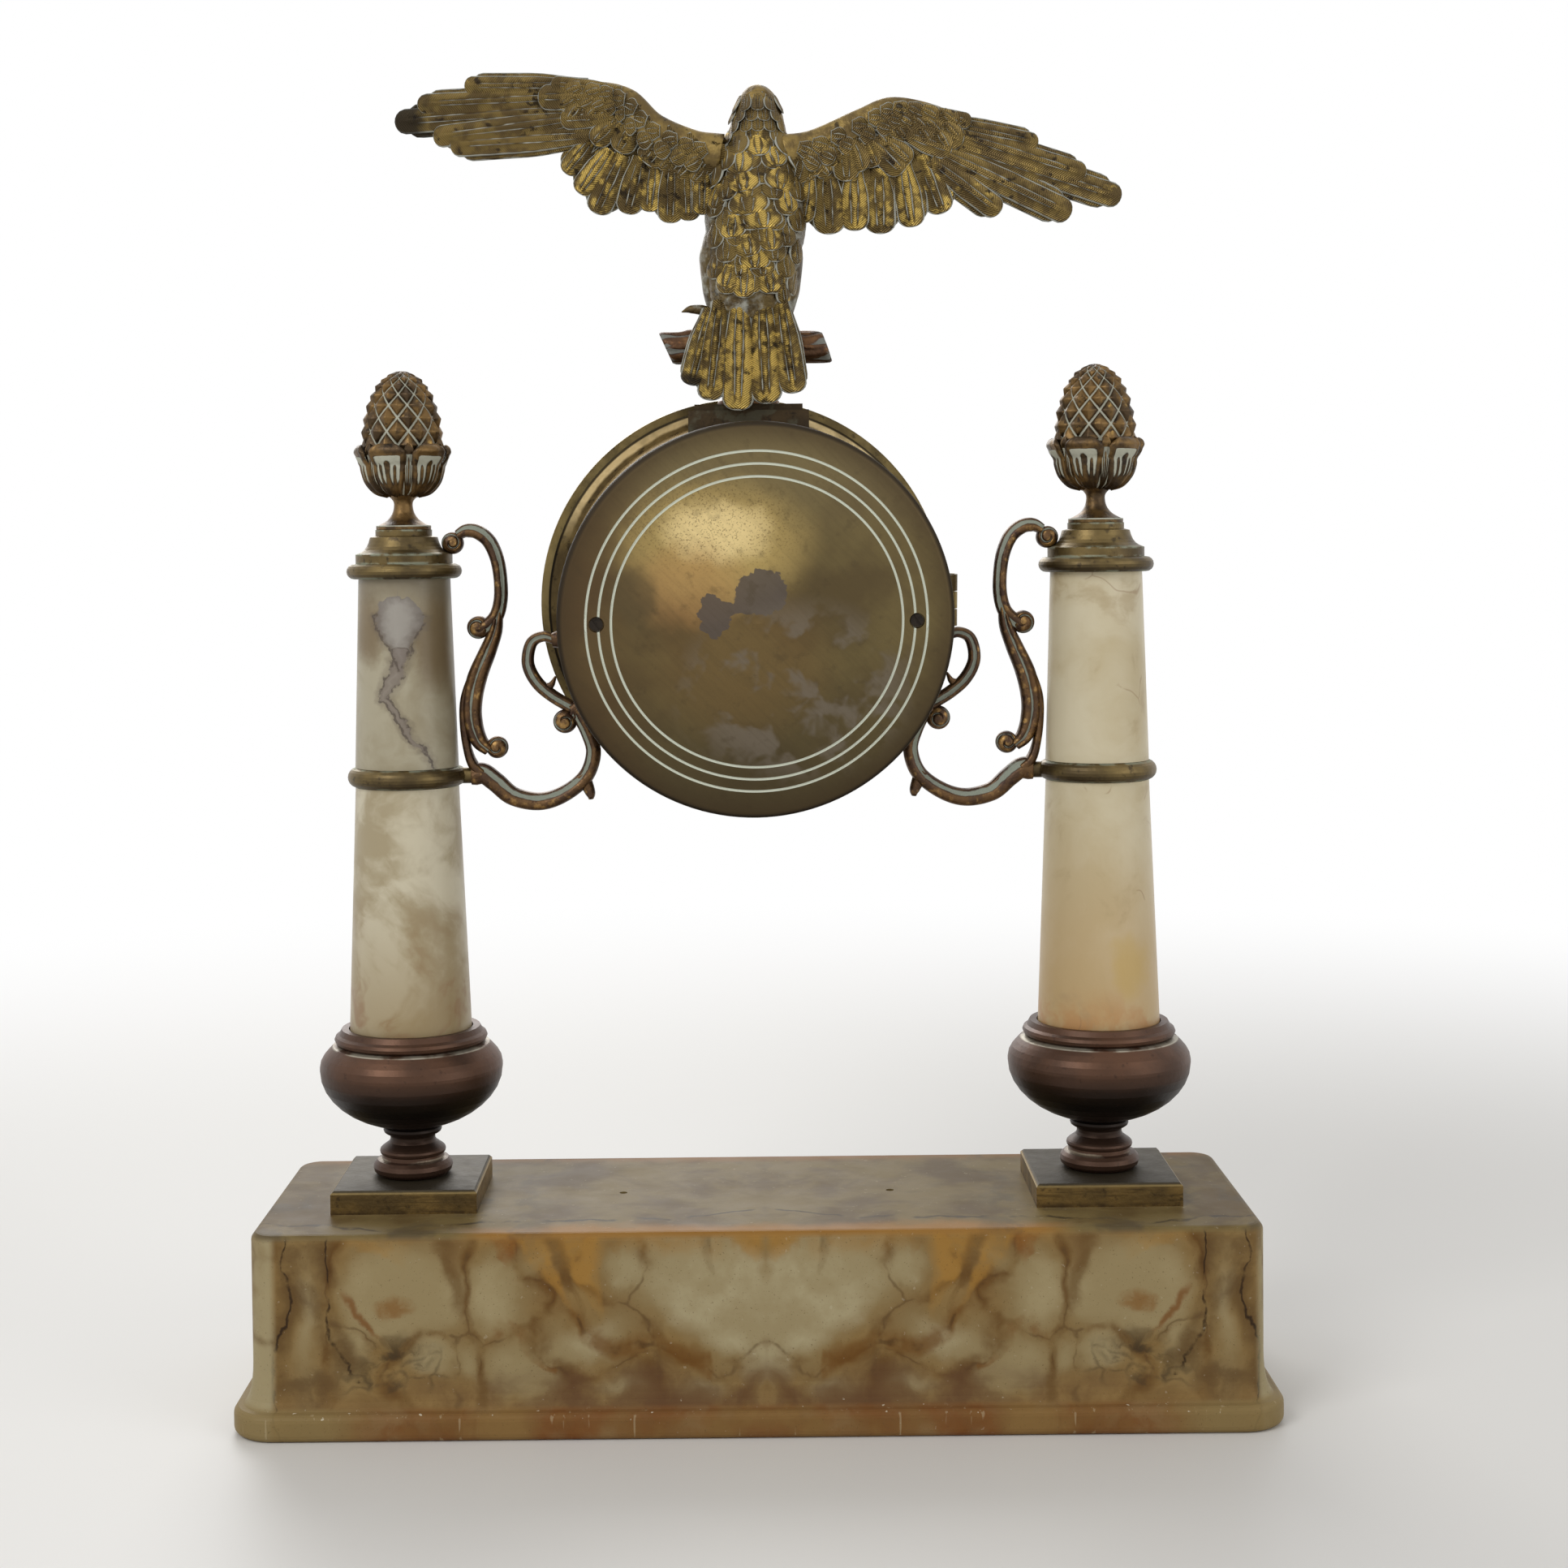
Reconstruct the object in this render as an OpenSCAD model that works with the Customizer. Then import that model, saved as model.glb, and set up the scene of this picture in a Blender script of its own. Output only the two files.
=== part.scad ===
// Column mantel clock: a drum clock held by scroll brackets between two alabaster columns,
// with a spread eagle on the drum. Millimetres, +Z up, the dial faces -Y, origin under the base.

/* [Base] */
// Width of the plinth across the clock's front
base_w = 330; // [320:1:350]
// Depth of the plinth from front to back
base_d = 108; // [98:1:130]
// Height of the alabaster block
base_h = 63; // [50:1:80]
// How far the plinth band stands out past the upper block
plinth_flare = 6.2; // [4:0.1:9]
// Height of the upright plinth band
plinth_band_h = 8.7; // [6:0.1:12]
// Height of the hollow moulding above the band
hollow_h = 13.3; // [8:0.1:18]
// Radius of the block's upright corners
base_corner_r = 8; // [5:0.5:12]
// Radius of the block's rounded edges
base_edge_r = 2.4; // [1:0.1:3]
// Distance of the ornament pin holes from the middle
pin_hole_x = 44; // [35:1:55]
// Diameter of the ornament pin holes
pin_hole_d = 2.6; // [1.5:0.1:4]
// Depth of the ornament pin holes
pin_hole_depth = 6; // [3:0.5:12]

/* [Columns] */
// Distance of each column's axis from the plinth's end
column_inset = 51.7; // [46:0.1:56]
// Side of the square brass plate
plate_w = 47; // [42:0.5:54]
// Height of the square brass plate
plate_h = 7.5; // [5:0.1:10]
// Chamfer on the plate's upper edges
plate_chamfer = 1; // [0.4:0.1:2]
// Radius of the urn's foot
urn_foot_r = 13; // [11:0.1:16]
// Height of the urn's foot bead
urn_foot_h = 5.5; // [4:0.1:8]
// Radius of the urn's neck
urn_neck_r = 7; // [6:0.1:9]
// Height from the foot bead to the underside of the bowl
urn_stem_h = 11; // [9:0.1:15]
// Radius of the urn's bowl
urn_bowl_r = 29.9; // [28:0.1:34]
// Height of the bowl up to its groove
urn_bowl_h = 26.6; // [22:0.1:32]
// Height of the rim above the groove
urn_rim_h = 5.6; // [4:0.1:8]
// Width of the rim around the column's foot
urn_rim_t = 2.6; // [1.6:0.1:4]
// Depth at which the column stands in the rim
urn_seat_depth = 2.2; // [1:0.1:3.5]
// Radius of the lower column drum at its foot
column_foot_r = 20; // [18:0.1:22]
// Radius of the column at its ring
column_waist_r = 16.85; // [15.5:0.05:18.5]
// Radius of the upper column drum at its top
column_top_r = 14.95; // [13.5:0.05:16.5]
// Height of the lower column drum
column_lower_h = 81.6; // [70:0.1:95]
// Height of the upper column drum
column_upper_h = 61.6; // [56:0.1:75]
// Height of the brass column ring
ring_h = 6.4; // [5:0.1:8]
// How far the ring's bead stands out past the column
ring_bead = 2.5; // [1.5:0.1:4]
// How far the ring's lug stands out past its bead
ring_lug_l = 2; // [1:0.1:4]
// Radius of the ring's lug
ring_lug_r = 2.6; // [2:0.1:3]
// Height of the cap's lower bead
cap_bead_h = 4.9; // [4:0.1:7]
// How far the cap's bead stands out past the column's top
cap_bead = 3.8; // [2:0.1:5]
// Height of the cap above its bead
cap_h = 11.1; // [9:0.1:14]
// Radius of the cap's flat top
cap_top_r = 9.2; // [8:0.1:11]
// Diameter of the tie rod through each column
rod_d = 5; // [4:0.1:6]
// Clearance of the tie rod in the pieces that it holds, on the radius
rod_clear = 0.3; // [0.1:0.05:0.6]
// Width of the tie rod's nut across its corners
nut_d = 11; // [9:0.5:14]
// Thickness of the tie rod's nut
nut_h = 4.5; // [3:0.1:7]
// Height of the nut's washer face above the table
nut_recess_h = 12; // [8:0.5:20]

/* [Finials] */
// Radius of the pinecone at its widest
cone_r = 12.2; // [11:0.1:13.5]
// Height of the pinecone above the leaves
cone_h = 26.5; // [22:0.1:32]
// Height of the leaf cup
cup_h = 15; // [12:0.1:18]
// Radius across the tips of the leaves
cup_r = 15.6; // [14:0.1:17]
// Height of the finial's stem with its foot
stem_h = 11.4; // [9:0.1:15]
// Radius of the stem
stem_r = 3.4; // [3:0.1:4]
// How far the tie rod enters the finial
rod_in_finial = 5; // [3:0.5:7]

/* [Drum] */
// Height of the drum's centre above the middle of the column rings
drum_h = 52.7; // [48:0.1:56]
// Outer radius of the drum's wall
drum_r = 61.5; // [59:0.1:63.5]
// Thickness of the drum's wall
drum_wall = 1.5; // [1:0.1:2.5]
// Depth of the drum behind its middle
drum_back = 25; // [23:0.5:30]
// Depth of the drum in front of its middle
drum_front = 25; // [23:0.5:30]
// How far the drum leans back in its brackets, in degrees
drum_lean = 5.5; // [0:0.5:7]
// How far the drum is turned in its brackets, in degrees
drum_turn = 4.5; // [0:0.5:6]
// How far the bezel stands out past the drum's wall
bezel_out = 7; // [5:0.1:9]
// Height of the bezel's moulding
bezel_h = 7.6; // [6:0.1:10]
// Width of the bezel's face outside the glass opening
bezel_face_w = 12.5; // [11:0.1:15]
// Gap between the closed bezel and its seat
bezel_gap = 0.3; // [0.2:0.05:0.6]
// Thickness of the bezel seat's flange
seat_t = 2; // [1.5:0.1:3]
// How far the bezel seat's web lies behind the flange
seat_depth = 7.5; // [6:0.1:9]
// Radius of the hinge knuckles
knuckle_r = 2; // [1.6:0.1:3]
// Radius of the hinge pin
hinge_pin_r = 1; // [0.7:0.05:1.2]
// Length of the hinge
hinge_l = 18; // [14:0.5:24]
// Thickness of the bezel's glass
glass_t = 2; // [1.5:0.1:3]
// Rise of the glass at its middle
glass_bow_h = 2.4; // [1:0.1:4]
// Thickness of the dial
dial_t = 1.2; // [0.8:0.1:2]
// How far the back cover stands out past the drum's wall
cover_out = 2; // [1.6:0.1:3]
// Depth of the cover's skirt over the drum's wall
cover_skirt = 4; // [3:0.1:7]
// Rise of the cover's dome
cover_dome = 4; // [2:0.1:6]
// Thickness of the cover's sheet
cover_t = 1.2; // [0.8:0.1:1.6]
// Radius of the middle engraved ring
cover_ring_r = 50.4; // [49:0.1:51.5]
// Distance between the engraved rings
cover_ring_step = 4; // [3:0.1:5]
// Width of an engraved ring
cover_ring_w = 0.9; // [0.5:0.1:1.4]
// Depth of an engraved ring
cover_ring_depth = 0.35; // [0.2:0.05:0.5]
// Radius of the recess around each cover screw
cover_recess_r = 2.5; // [2.2:0.1:3]
// Radius of the cover screws' heads
cover_head_r = 2.1; // [1.8:0.05:2.15]
// Radial thickness of the straps that the cover screws hold
strap_t = 5; // [4.6:0.1:6]
// Width of the straps
strap_w = 10; // [8:0.5:14]
// Clearance of parts that lie inside one another
fit_clear = 0.15; // [0.05:0.05:0.25]
// Radius of the machine screws' threads
screw_r = 1.5; // [1.2:0.05:1.6]
// Clearance of a thread in its hole, on the radius
thread_clear = 0.05; // [0.02:0.01:0.1]
// Clearance of pieces pressed together, on the radius
press_clear = 0.02; // [0.01:0.01:0.04]

/* [Hands] */
// Length of the minute hand
minute_l = 47; // [42:0.5:50]
// Length of the hour hand
hour_l = 31; // [26:0.5:38]
// Thickness of the hands
hand_t = 0.8; // [0.5:0.1:1]

/* [Brackets] */
// Thickness of the scroll brackets from front to back
bracket_t = 7; // [5:0.1:9]
// Width of the scroll's stroke
bracket_w = 5.4; // [4:0.1:6.5]
// Angle of the upper bracket pad below the drum's middle, in degrees
pad_upper_a = 7.5; // [5:0.5:10]
// Angle of the lower bracket pad below the drum's middle, in degrees
pad_lower_a = 28.5; // [26:0.5:31]
// Radius of the bracket's pads on the drum
pad_r = 3.4; // [2.8:0.1:4]
// Gap between a pad and the drum's wall
pad_gap = 0.1; // [0.05:0.05:0.25]
// Radius of the heads of the bracket screws
bracket_head_r = 2.6; // [2:0.1:3.2]

/* [Eagle] */
// Width of the saddle block on the drum
saddle_w = 39; // [34:0.5:46]
// Depth of the saddle block
saddle_d = 22; // [18:0.5:28]
// Height of the saddle above the drum's top
saddle_h = 6; // [4:0.1:9]
// Height of the boss that carries the perch
perch_boss_h = 14.5; // [12:0.1:18]
// Radius of the boss's foot on the saddle
perch_boss_r = 10; // [8:0.1:10.8]
// Radius of the perch log
perch_r = 5.4; // [4.5:0.1:6]
// Length of the perch log
perch_l = 55; // [48:0.5:64]
// Radius of the stud that holds the eagle
stud_r = 2; // [1.5:0.1:2.5]
// Gap between the talons and the perch
talon_gap = 0.15; // [0.1:0.05:0.3]
// Half the width of the eagle's trunk between its wings
trunk_half_w = 15; // [13:0.1:16]
// Height of the eagle above its perch
eagle_h = 80.5; // [74:0.5:88]

/* [Movement] */
// Radius of the movement's plates
frame_r = 47.5; // [46:0.1:48]
// Thickness of the movement's plates
frame_t = 2; // [1.5:0.1:2.5]
// Distance between the movement's plates
frame_gap = 18; // [18:0.1:19]
// How far the back plate's inner face lies behind the drum's middle
frame_back = 10; // [9:0.1:11]
// Radius of the pillars between the plates
pillar_r = 2.8; // [2.4:0.1:3.2]
// Distance of the pillars from the centre
pillar_pos_r = 43.8; // [43:0.1:44]
// Clearance of the pivots in their holes, on the radius
pivot_clear = 0.05; // [0.02:0.01:0.08]
// Gap between an arbor's shoulder and the plate
end_shake = 0.3; // [0.2:0.05:0.4]
// Radius of the wheels' arbors
arbor_r = 1; // [0.8:0.05:1.2]
// Radius of the arbors' pivots
pivot_r = 0.6; // [0.5:0.05:0.75]
// Thickness of the train's wheels
wheel_t = 1.2; // [1:0.1:1.4]
// Width of a wheel's rim under its teeth
wheel_rim = 1.6; // [1.2:0.1:2]
// Play between meshing teeth
gear_backlash = 0.1; // [0.08:0.01:0.14]
// Radius of the mainspring barrel
barrel_r = 17.5; // [16.5:0.1:18]
// Height of the mainspring barrel
barrel_h = 11; // [9:0.1:11.3]
// Wall of the mainspring barrel
barrel_wall = 1.2; // [1:0.1:1.6]
// Side of the winding square
winding_square = 3.4; // [3:0.1:3.6]
// Radius of the balance's rim
balance_r = 9; // [8:0.1:9.4]

/* [Hidden] */

// Heights of the column's pieces, each standing on the one below
urn_h = urn_foot_h + urn_stem_h + urn_bowl_h + urn_rim_h;
urn_z = base_h + plate_h;
column_z = urn_z + urn_h - urn_seat_depth;
ring_z = column_z + column_lower_h;
upper_z = ring_z + ring_h;
cap_z = upper_z + column_upper_h;
finial_z = cap_z + cap_bead_h + cap_h;
rod_hole_r = rod_d / 2 + rod_clear;
column_x = base_w / 2 - column_inset;
ring_r = column_waist_r + ring_bead;

// Places along the drum's own axis: 0 is its middle, the dial's side is positive
drum_z = ring_z + ring_h / 2 + drum_h;
drum_in_r = drum_r - drum_wall;
seat_z = drum_front;
web_z = seat_z + seat_t - seat_depth;
dial_z = web_z + seat_t;
bezel_z = seat_z + seat_t + bezel_gap;
bezel_r = drum_r + bezel_out;
glass_r = bezel_r - bezel_face_w + 3;
cover_r = drum_r + cover_out;
strap_r = cover_ring_r + 0.6;
frame_front = frame_gap - frame_back;
plate_front_z = frame_front + frame_t;
plate_back_z = -frame_back - frame_t;
hour_hand_z = dial_z + dial_t + 1.5;
minute_hand_z = hour_hand_z + hand_t + 1.2;

// Train: tooth counts, modules and the arbors' places seen from the dial
pressure_angle = 25;
barrel_teeth = 84;
barrel_module = 0.5;
centre_leaves = 12;
centre_teeth = 80;
centre_module = 0.45;
third_leaves = 10;
third_teeth = 75;
third_module = 0.4;
fourth_leaves = 10;
fourth_teeth = 64;
fourth_module = 0.35;
escape_leaves = 8;
escape_teeth = 15;
escape_r = 6.2;
cannon_teeth = 12;
minute_teeth = 36;
motion_module = 0.5;
minute_leaves = 10;
hour_teeth = 40;
hour_module = motion_module * (cannon_teeth + minute_teeth) / (minute_leaves + hour_teeth);

function polar(p, d, a) = [p[0] + d * cos(a), p[1] + d * sin(a)];
function centres(z1, z2, m) = (z1 + z2) * m / 2;
centre_p = [0, 0];
barrel_a = -90;
third_a = 50;
fourth_a = 150;
escape_a = 180;
minute_a = 120;
barrel_p = polar(centre_p, centres(barrel_teeth, centre_leaves, barrel_module), barrel_a);
third_p = polar(centre_p, centres(centre_teeth, third_leaves, centre_module), third_a);
fourth_p = polar(third_p, centres(third_teeth, fourth_leaves, third_module), fourth_a);
escape_p = polar(fourth_p, centres(fourth_teeth, escape_leaves, fourth_module), escape_a);
lever_d = 9.6;
lever_a = 215;
lever_p = polar(escape_p, lever_d, lever_a);
balance_d = 11;
balance_a = 200;
balance_p = polar(lever_p, balance_d, balance_a);
minute_p = polar(centre_p, centres(cannon_teeth, minute_teeth, motion_module), minute_a);

// Layers between the plates, as heights above the back plate's inner face
great_wheel_z = -frame_back + 1.5;
great_wheel_t = 2;
barrel_body_z = great_wheel_z + great_wheel_t;
centre_wheel_z = barrel_body_z + barrel_h + 0.5;
third_wheel_z = -frame_back + 9;
fourth_wheel_z = -frame_back + 4;
escape_wheel_z = -frame_back + 11;
balance_z = -frame_back + 7;
motion_z = plate_front_z + 0.9;
hour_wheel_z = motion_z + 3.4;
ratchet_z = plate_front_z + end_shake;
ratchet_t = 2;
ratchet_r = 8.5;
ratchet_teeth = 24;
click_d = 12.6;
click_a = 66;
click_p = polar(barrel_p, click_d, click_a);
cannon_r = 2.4;
hour_pipe_r = 3.2;
hour_seat_r = hour_pipe_r - 0.6;
post_r = 1.2;
centre_r = 1.5;
barrel_arbor_r = 3;
barrel_pivot_r = 2.5;
pillar_angles = [45, 135, 225, 315];

// Round stretches of an outline: an elliptical arc and a cubic curve, as lists of points
function arc(c, rx, ry, a0, a1, n = 6) =
    [for (i = [0:n]) let(a = a0 + (a1 - a0) * i / n) [c[0] + rx * cos(a), c[1] + ry * sin(a)]];
function cubic(a, b, c, d, t) =
    a * pow(1 - t, 3) + 3 * b * t * pow(1 - t, 2) + 3 * c * t * t * (1 - t) + d * pow(t, 3);
function curve(a, b, c, d, n = 6) = [for (i = [0:n]) cubic(a, b, c, d, i / n)];
function unit(v) = v / norm(v);
// A smooth line through points: n steps in each span, with the ends' own directions
function span_point(p0, p1, p2, p3, t) =
    0.5 * (2 * p1 + (p2 - p0) * t + (2 * p0 - 5 * p1 + 4 * p2 - p3) * t * t
        + (3 * p1 - p0 - 3 * p2 + p3) * t * t * t);
function through(p, n = 2) = let(m = len(p) - 1) concat(
    [for (i = [0:m - 1], k = [0:n - 1])
        span_point(p[max(i - 1, 0)], p[i], p[i + 1], p[min(i + 2, m)], k / n)],
    [p[m]]);

// The solid between neighbouring closed rings of points
module loft(rings) {
    for (i = [0:len(rings) - 2]) {
        pts = concat(rings[i], rings[i + 1]);
        hull() polyhedron(pts, [for (k = [0:len(pts) - 3]) [k, k + 1, k + 2]]);
    }
}

// Left is -X and right is +X, seen from the dial
module at_column(side) {
    translate([side * column_x, 0, 0]) children();
}

// The drum's own frame: local x to the right, y up and z towards the dial
module drum_frame() {
    translate([0, 0, drum_z]) rotate([90 - drum_lean, 0, drum_turn]) children();
}

// Base

module base_block() {
    rc = base_corner_r;
    e = base_edge_r;
    foot_x = rc + plinth_flare;
    hollow_z = plinth_band_h + hollow_h;
    outline = concat(
        [[0, 0]],
        arc([foot_x - e, e], e, e, -90, 0, 4),
        arc([foot_x - e, plinth_band_h - e], e, e, 0, 90, 4),
        arc([foot_x - e, hollow_z], plinth_flare - e, hollow_h, 260, 180, 6),
        arc([rc - e, base_h - e], e, e, 0, 90, 4),
        [[0, base_h]]);
    half = [base_w / 2 - foot_x, base_d / 2 - foot_x];
    color("burlywood") difference() {
        union() {
            translate([0, 0, base_h / 2]) cube([2 * half[0], 2 * half[1], base_h], center = true);
            for (k = [0:3]) {
                run = 2 * half[(k + 1) % 2];
                rotate([0, 0, 90 * k]) translate([half[k % 2], run / 2, 0])
                    rotate([90, 0, 0]) linear_extrude(run) polygon(outline);
                sx = (k == 0 || k == 3) ? 1 : -1;
                sy = k < 2 ? 1 : -1;
                translate([sx * half[0], sy * half[1], 0]) rotate([0, 0, 90 * k])
                    rotate_extrude(angle = 90, $fn = 48) polygon(outline);
            }
        }
        for (side = [-1, 1]) {
            at_column(side) translate([0, 0, -1]) cylinder(r = rod_hole_r, h = base_h + 2, $fn = 32);
            at_column(side) translate([0, 0, -1]) cylinder(d = nut_d + 7, h = nut_recess_h + 1, $fn = 48);
            translate([side * pin_hole_x, 0, base_h - pin_hole_depth])
                cylinder(d = pin_hole_d, h = pin_hole_depth + 1, $fn = 24);
        }
    }
}

// Columns

module column_plate(side) {
    w = plate_w / 2;
    c = plate_chamfer;
    outline = [[-w, 0], [w, 0], [w, plate_h - c], [w - c, plate_h], [c - w, plate_h], [-w, plate_h - c]];
    color("darkgoldenrod") at_column(side) translate([0, 0, base_h]) difference() {
        intersection_for (turn = [0, 90])
            rotate([90, 0, turn]) translate([0, 0, -w]) linear_extrude(plate_w) polygon(outline);
        translate([0, 0, -1]) cylinder(r = rod_hole_r, h = plate_h + 2, $fn = 32);
    }
}

module urn(side) {
    f = urn_foot_h / 2;
    bead_z = urn_foot_h + urn_stem_h * 0.22;
    neck_z = urn_foot_h + urn_stem_h * 0.62;
    bowl_z = urn_foot_h + urn_stem_h;
    groove_z = bowl_z + urn_bowl_h;
    wide_z = bowl_z + urn_bowl_h * 0.7;
    rim_r = column_foot_r + urn_rim_t;
    outline = concat(
        [[rod_hole_r, 0]],
        arc([urn_foot_r - f, f], f, f, -90, 90, 6),
        arc([urn_foot_r - 3.6, bead_z], 1.4, 1.4, -60, 60, 4),
        curve([urn_neck_r + 2, bead_z + 2], [urn_neck_r, bead_z + 3], [urn_neck_r, neck_z],
            [urn_neck_r + 0.8, neck_z + 1.2], 4),
        arc([urn_neck_r + 1.2, bowl_z - 1.6], 1.4, 1.4, -70, 60, 4),
        curve([urn_neck_r + 3, bowl_z], [urn_bowl_r - 10, bowl_z + 2], [urn_bowl_r, wide_z - 9.4],
            [urn_bowl_r, wide_z], 8),
        curve([urn_bowl_r, wide_z + 1], [urn_bowl_r, wide_z + 4], [rim_r + 5, groove_z - 2],
            [rim_r + 3, groove_z], 4),
        arc([rim_r - 0.6, groove_z + urn_rim_h * 0.4], 3, urn_rim_h * 0.35, -60, 60, 4),
        [[rim_r, urn_h], [rim_r - urn_rim_t + rod_clear, urn_h]],
        [[rim_r - urn_rim_t + rod_clear, urn_h - urn_seat_depth], [rod_hole_r, urn_h - urn_seat_depth]]);
    color("saddlebrown") at_column(side) translate([0, 0, urn_z])
        rotate_extrude($fn = 96) polygon(outline);
}

module column_drum(side, z, h, r0, r1) {
    color("antiquewhite") at_column(side) translate([0, 0, z]) difference() {
        cylinder(r1 = r0, r2 = r1, h = h, $fn = 96);
        translate([0, 0, -1]) cylinder(r = rod_hole_r, h = h + 2, $fn = 32);
    }
}

module column_lower(side) {
    column_drum(side, column_z, column_lower_h, column_foot_r, column_waist_r);
}

module column_upper(side) {
    column_drum(side, upper_z, column_upper_h, column_waist_r, column_top_r);
}

module column_ring(side) {
    h = ring_h / 2;
    outline = concat(
        [[rod_hole_r, 0], [column_waist_r - 0.6, 0]],
        arc([column_waist_r - 0.6, h], ring_bead + 0.6, h, -90, 90, 10),
        [[rod_hole_r, ring_h]]);
    color("darkgoldenrod") at_column(side) translate([0, 0, ring_z]) {
        rotate_extrude($fn = 96) polygon(outline);
        translate([0, 0, h]) rotate([0, -90 * side, 0]) translate([0, 0, column_waist_r - 2])
            cylinder(r = ring_lug_r, h = ring_bead + 2 + ring_lug_l, $fn = 32);
    }
}

// Radius of the cap where the bracket's top volute meets it
cap_step_r = column_top_r + 0.8;
function cap_at(r, share) = [r, cap_bead_h + cap_h * share];
function cap_cove(n) = curve(
    cap_at(cap_step_r, 0.28), cap_at(cap_step_r - 3.2, 0.36), cap_at(cap_top_r + 2.6, 0.5),
    cap_at(cap_top_r + 1.8, 0.78), n);

module column_cap(side) {
    f = cap_bead_h / 2;
    outline = concat(
        [[rod_hole_r, 0]],
        arc([column_top_r + cap_bead - f, f], f, f, -90, 90, 8),
        [[cap_step_r, cap_bead_h]],
        cap_cove(5),
        [cap_at(cap_top_r, 0.82), cap_at(cap_top_r, 1), cap_at(rod_hole_r, 1)]);
    color("darkgoldenrod") at_column(side) translate([0, 0, cap_z])
        rotate_extrude($fn = 96) polygon(outline);
}

module tie_rod(side) {
    low = nut_recess_h - nut_h - 3;
    color("dimgray") at_column(side) translate([0, 0, low])
        cylinder(d = rod_d, h = finial_z + rod_in_finial - low, $fn = 32);
}

module tie_rod_nuts() {
    washer_h = 1;
    low = nut_recess_h - nut_h - washer_h;
    color("dimgray") for (side = [-1, 1]) at_column(side) translate([0, 0, low]) difference() {
        union() {
            cylinder(d = nut_d, h = nut_h, $fn = 6);
            translate([0, 0, nut_h]) cylinder(d = nut_d + 4, h = washer_h, $fn = 32);
        }
        translate([0, 0, -1]) cylinder(d = rod_d + 2 * thread_clear, h = nut_h + washer_h + 2, $fn = 32);
    }
}

// Finials: a pinecone of lozenge scales over a cup of leaves

cone_cols = 12;
cone_rows = 11;
function cone_radius(t) = cone_r * pow(1 - pow(t, 2.4), 0.56);
function cone_node(j, i, swell) = let(t = j / cone_rows * 0.985, a = (i + (j % 2) / 2) * 360 / cone_cols,
    r = cone_radius(t) - 0.9 + swell) [r * cos(a), r * sin(a), t * cone_h];

module pinecone() {
    n = cone_cols;
    m = cone_rows;
    nodes = [for (j = [0:m], i = [0:n - 1]) cone_node(j, i, 0)];
    tops = [for (j = [1:m - 1], i = [0:n - 1])
        cone_node(j, i + ((j + 1) % 2 - j % 2) / 2, 1.5 * cone_radius(j / m) / cone_r)];
    function node_at(j, i) = j * n + (i + n) % n;
    function top_at(j, i) = (m + 1) * n + (j - 1) * n + i;
    function left_at(j, i) = node_at(j, i - 1 + (j + 1) % 2);
    scales = [for (j = [1:m - 1], i = [0:n - 1])
        let(b = node_at(j - 1, i), t = node_at(j + 1, i), l = left_at(j, i), r = left_at(j, i + 1),
            c = top_at(j, i))
        each [[b, l, c], [l, t, c], [t, r, c], [r, b, c]]];
    ends = [for (i = [0:n - 1]) each [
        [node_at(0, i), left_at(1, i + 1), node_at(0, i + 1)],
        [node_at(m, i), node_at(m, i + 1), node_at(m - 1, i + m % 2)]]];
    caps = [[for (i = [0:n - 1]) node_at(0, i)], [for (i = [n - 1:-1:0]) node_at(m, i)]];
    polyhedron(concat(nodes, tops), concat(scales, ends, caps));
}

module leaf_pad(r, z, size) {
    translate([r, 0, z]) scale(size) sphere(r = 1, $fn = 5);
}

module finial(side) {
    cup_z = stem_h;
    cone_z = stem_h + cup_h - 1;
    foot = concat(
        [[0, 0], [cap_top_r - 1, 0], [cap_top_r - 1.4, 1.2]],
        curve([stem_r + 2.4, 1.6], [stem_r, 3], [stem_r - 0.3, 5], [stem_r, stem_h - 3], 3),
        [[stem_r + 1.4, stem_h], [cup_r - 4.4, stem_h + 3.4], [cup_r - 3.4, stem_h + cup_h - 4]],
        [[cone_r - 3, stem_h + cup_h], [0, stem_h + cup_h]]);
    color("goldenrod") at_column(side) translate([0, 0, finial_z]) difference() {
        union() {
            rotate_extrude($fn = 16) polygon(foot);
            translate([0, 0, cone_z]) pinecone();
            for (k = [0:7]) rotate([0, 0, 45 * k + 22.5]) {
                hull() {
                    leaf_pad(stem_r + 2, cup_z + 1, [1.6, 2.2, 1.2]);
                    leaf_pad(cup_r - 3.2, cup_z + cup_h * 0.4, [1.8, 5.2, 3]);
                }
                hull() {
                    leaf_pad(cup_r - 3.2, cup_z + cup_h * 0.4, [1.8, 5.2, 3]);
                    leaf_pad(cup_r - 1.4, cup_z + cup_h - 3, [1.5, 3, 1.8]);
                }
            }
        }
        translate([0, 0, -1]) cylinder(d = rod_d + 2 * rod_clear, h = rod_in_finial + 1.3, $fn = 24);
    }
}

// Brackets: flat scrolls of rounded section, drawn for the right side and mirrored for the left

// The bracket's own scale: a runs from the drum's wall (0) to the ring's lug (1), b from ring to cap
lug_x = column_x - ring_r - ring_lug_l;
lug_z = ring_z + ring_h / 2;
top_volute_r = bracket_w * 2 / 3;
pad_lower_out = 1.24 * pad_r;
pad_upper_out = 0.88 * pad_r;
screw_in_pad = 1.06 * pad_r;
cap_meet = cap_cove(5)[3];
top_volute_p = [column_x - cap_meet[0] - 1.08 * top_volute_r, cap_z + cap_meet[1] + 0.28 * top_volute_r];
function scroll(a, b) = [drum_r + a * (lug_x - drum_r), lug_z + b * (top_volute_p[1] - lug_z)];
function on_drum(angle, r) = [r * cos(angle), drum_z - r * sin(angle)];
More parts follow.
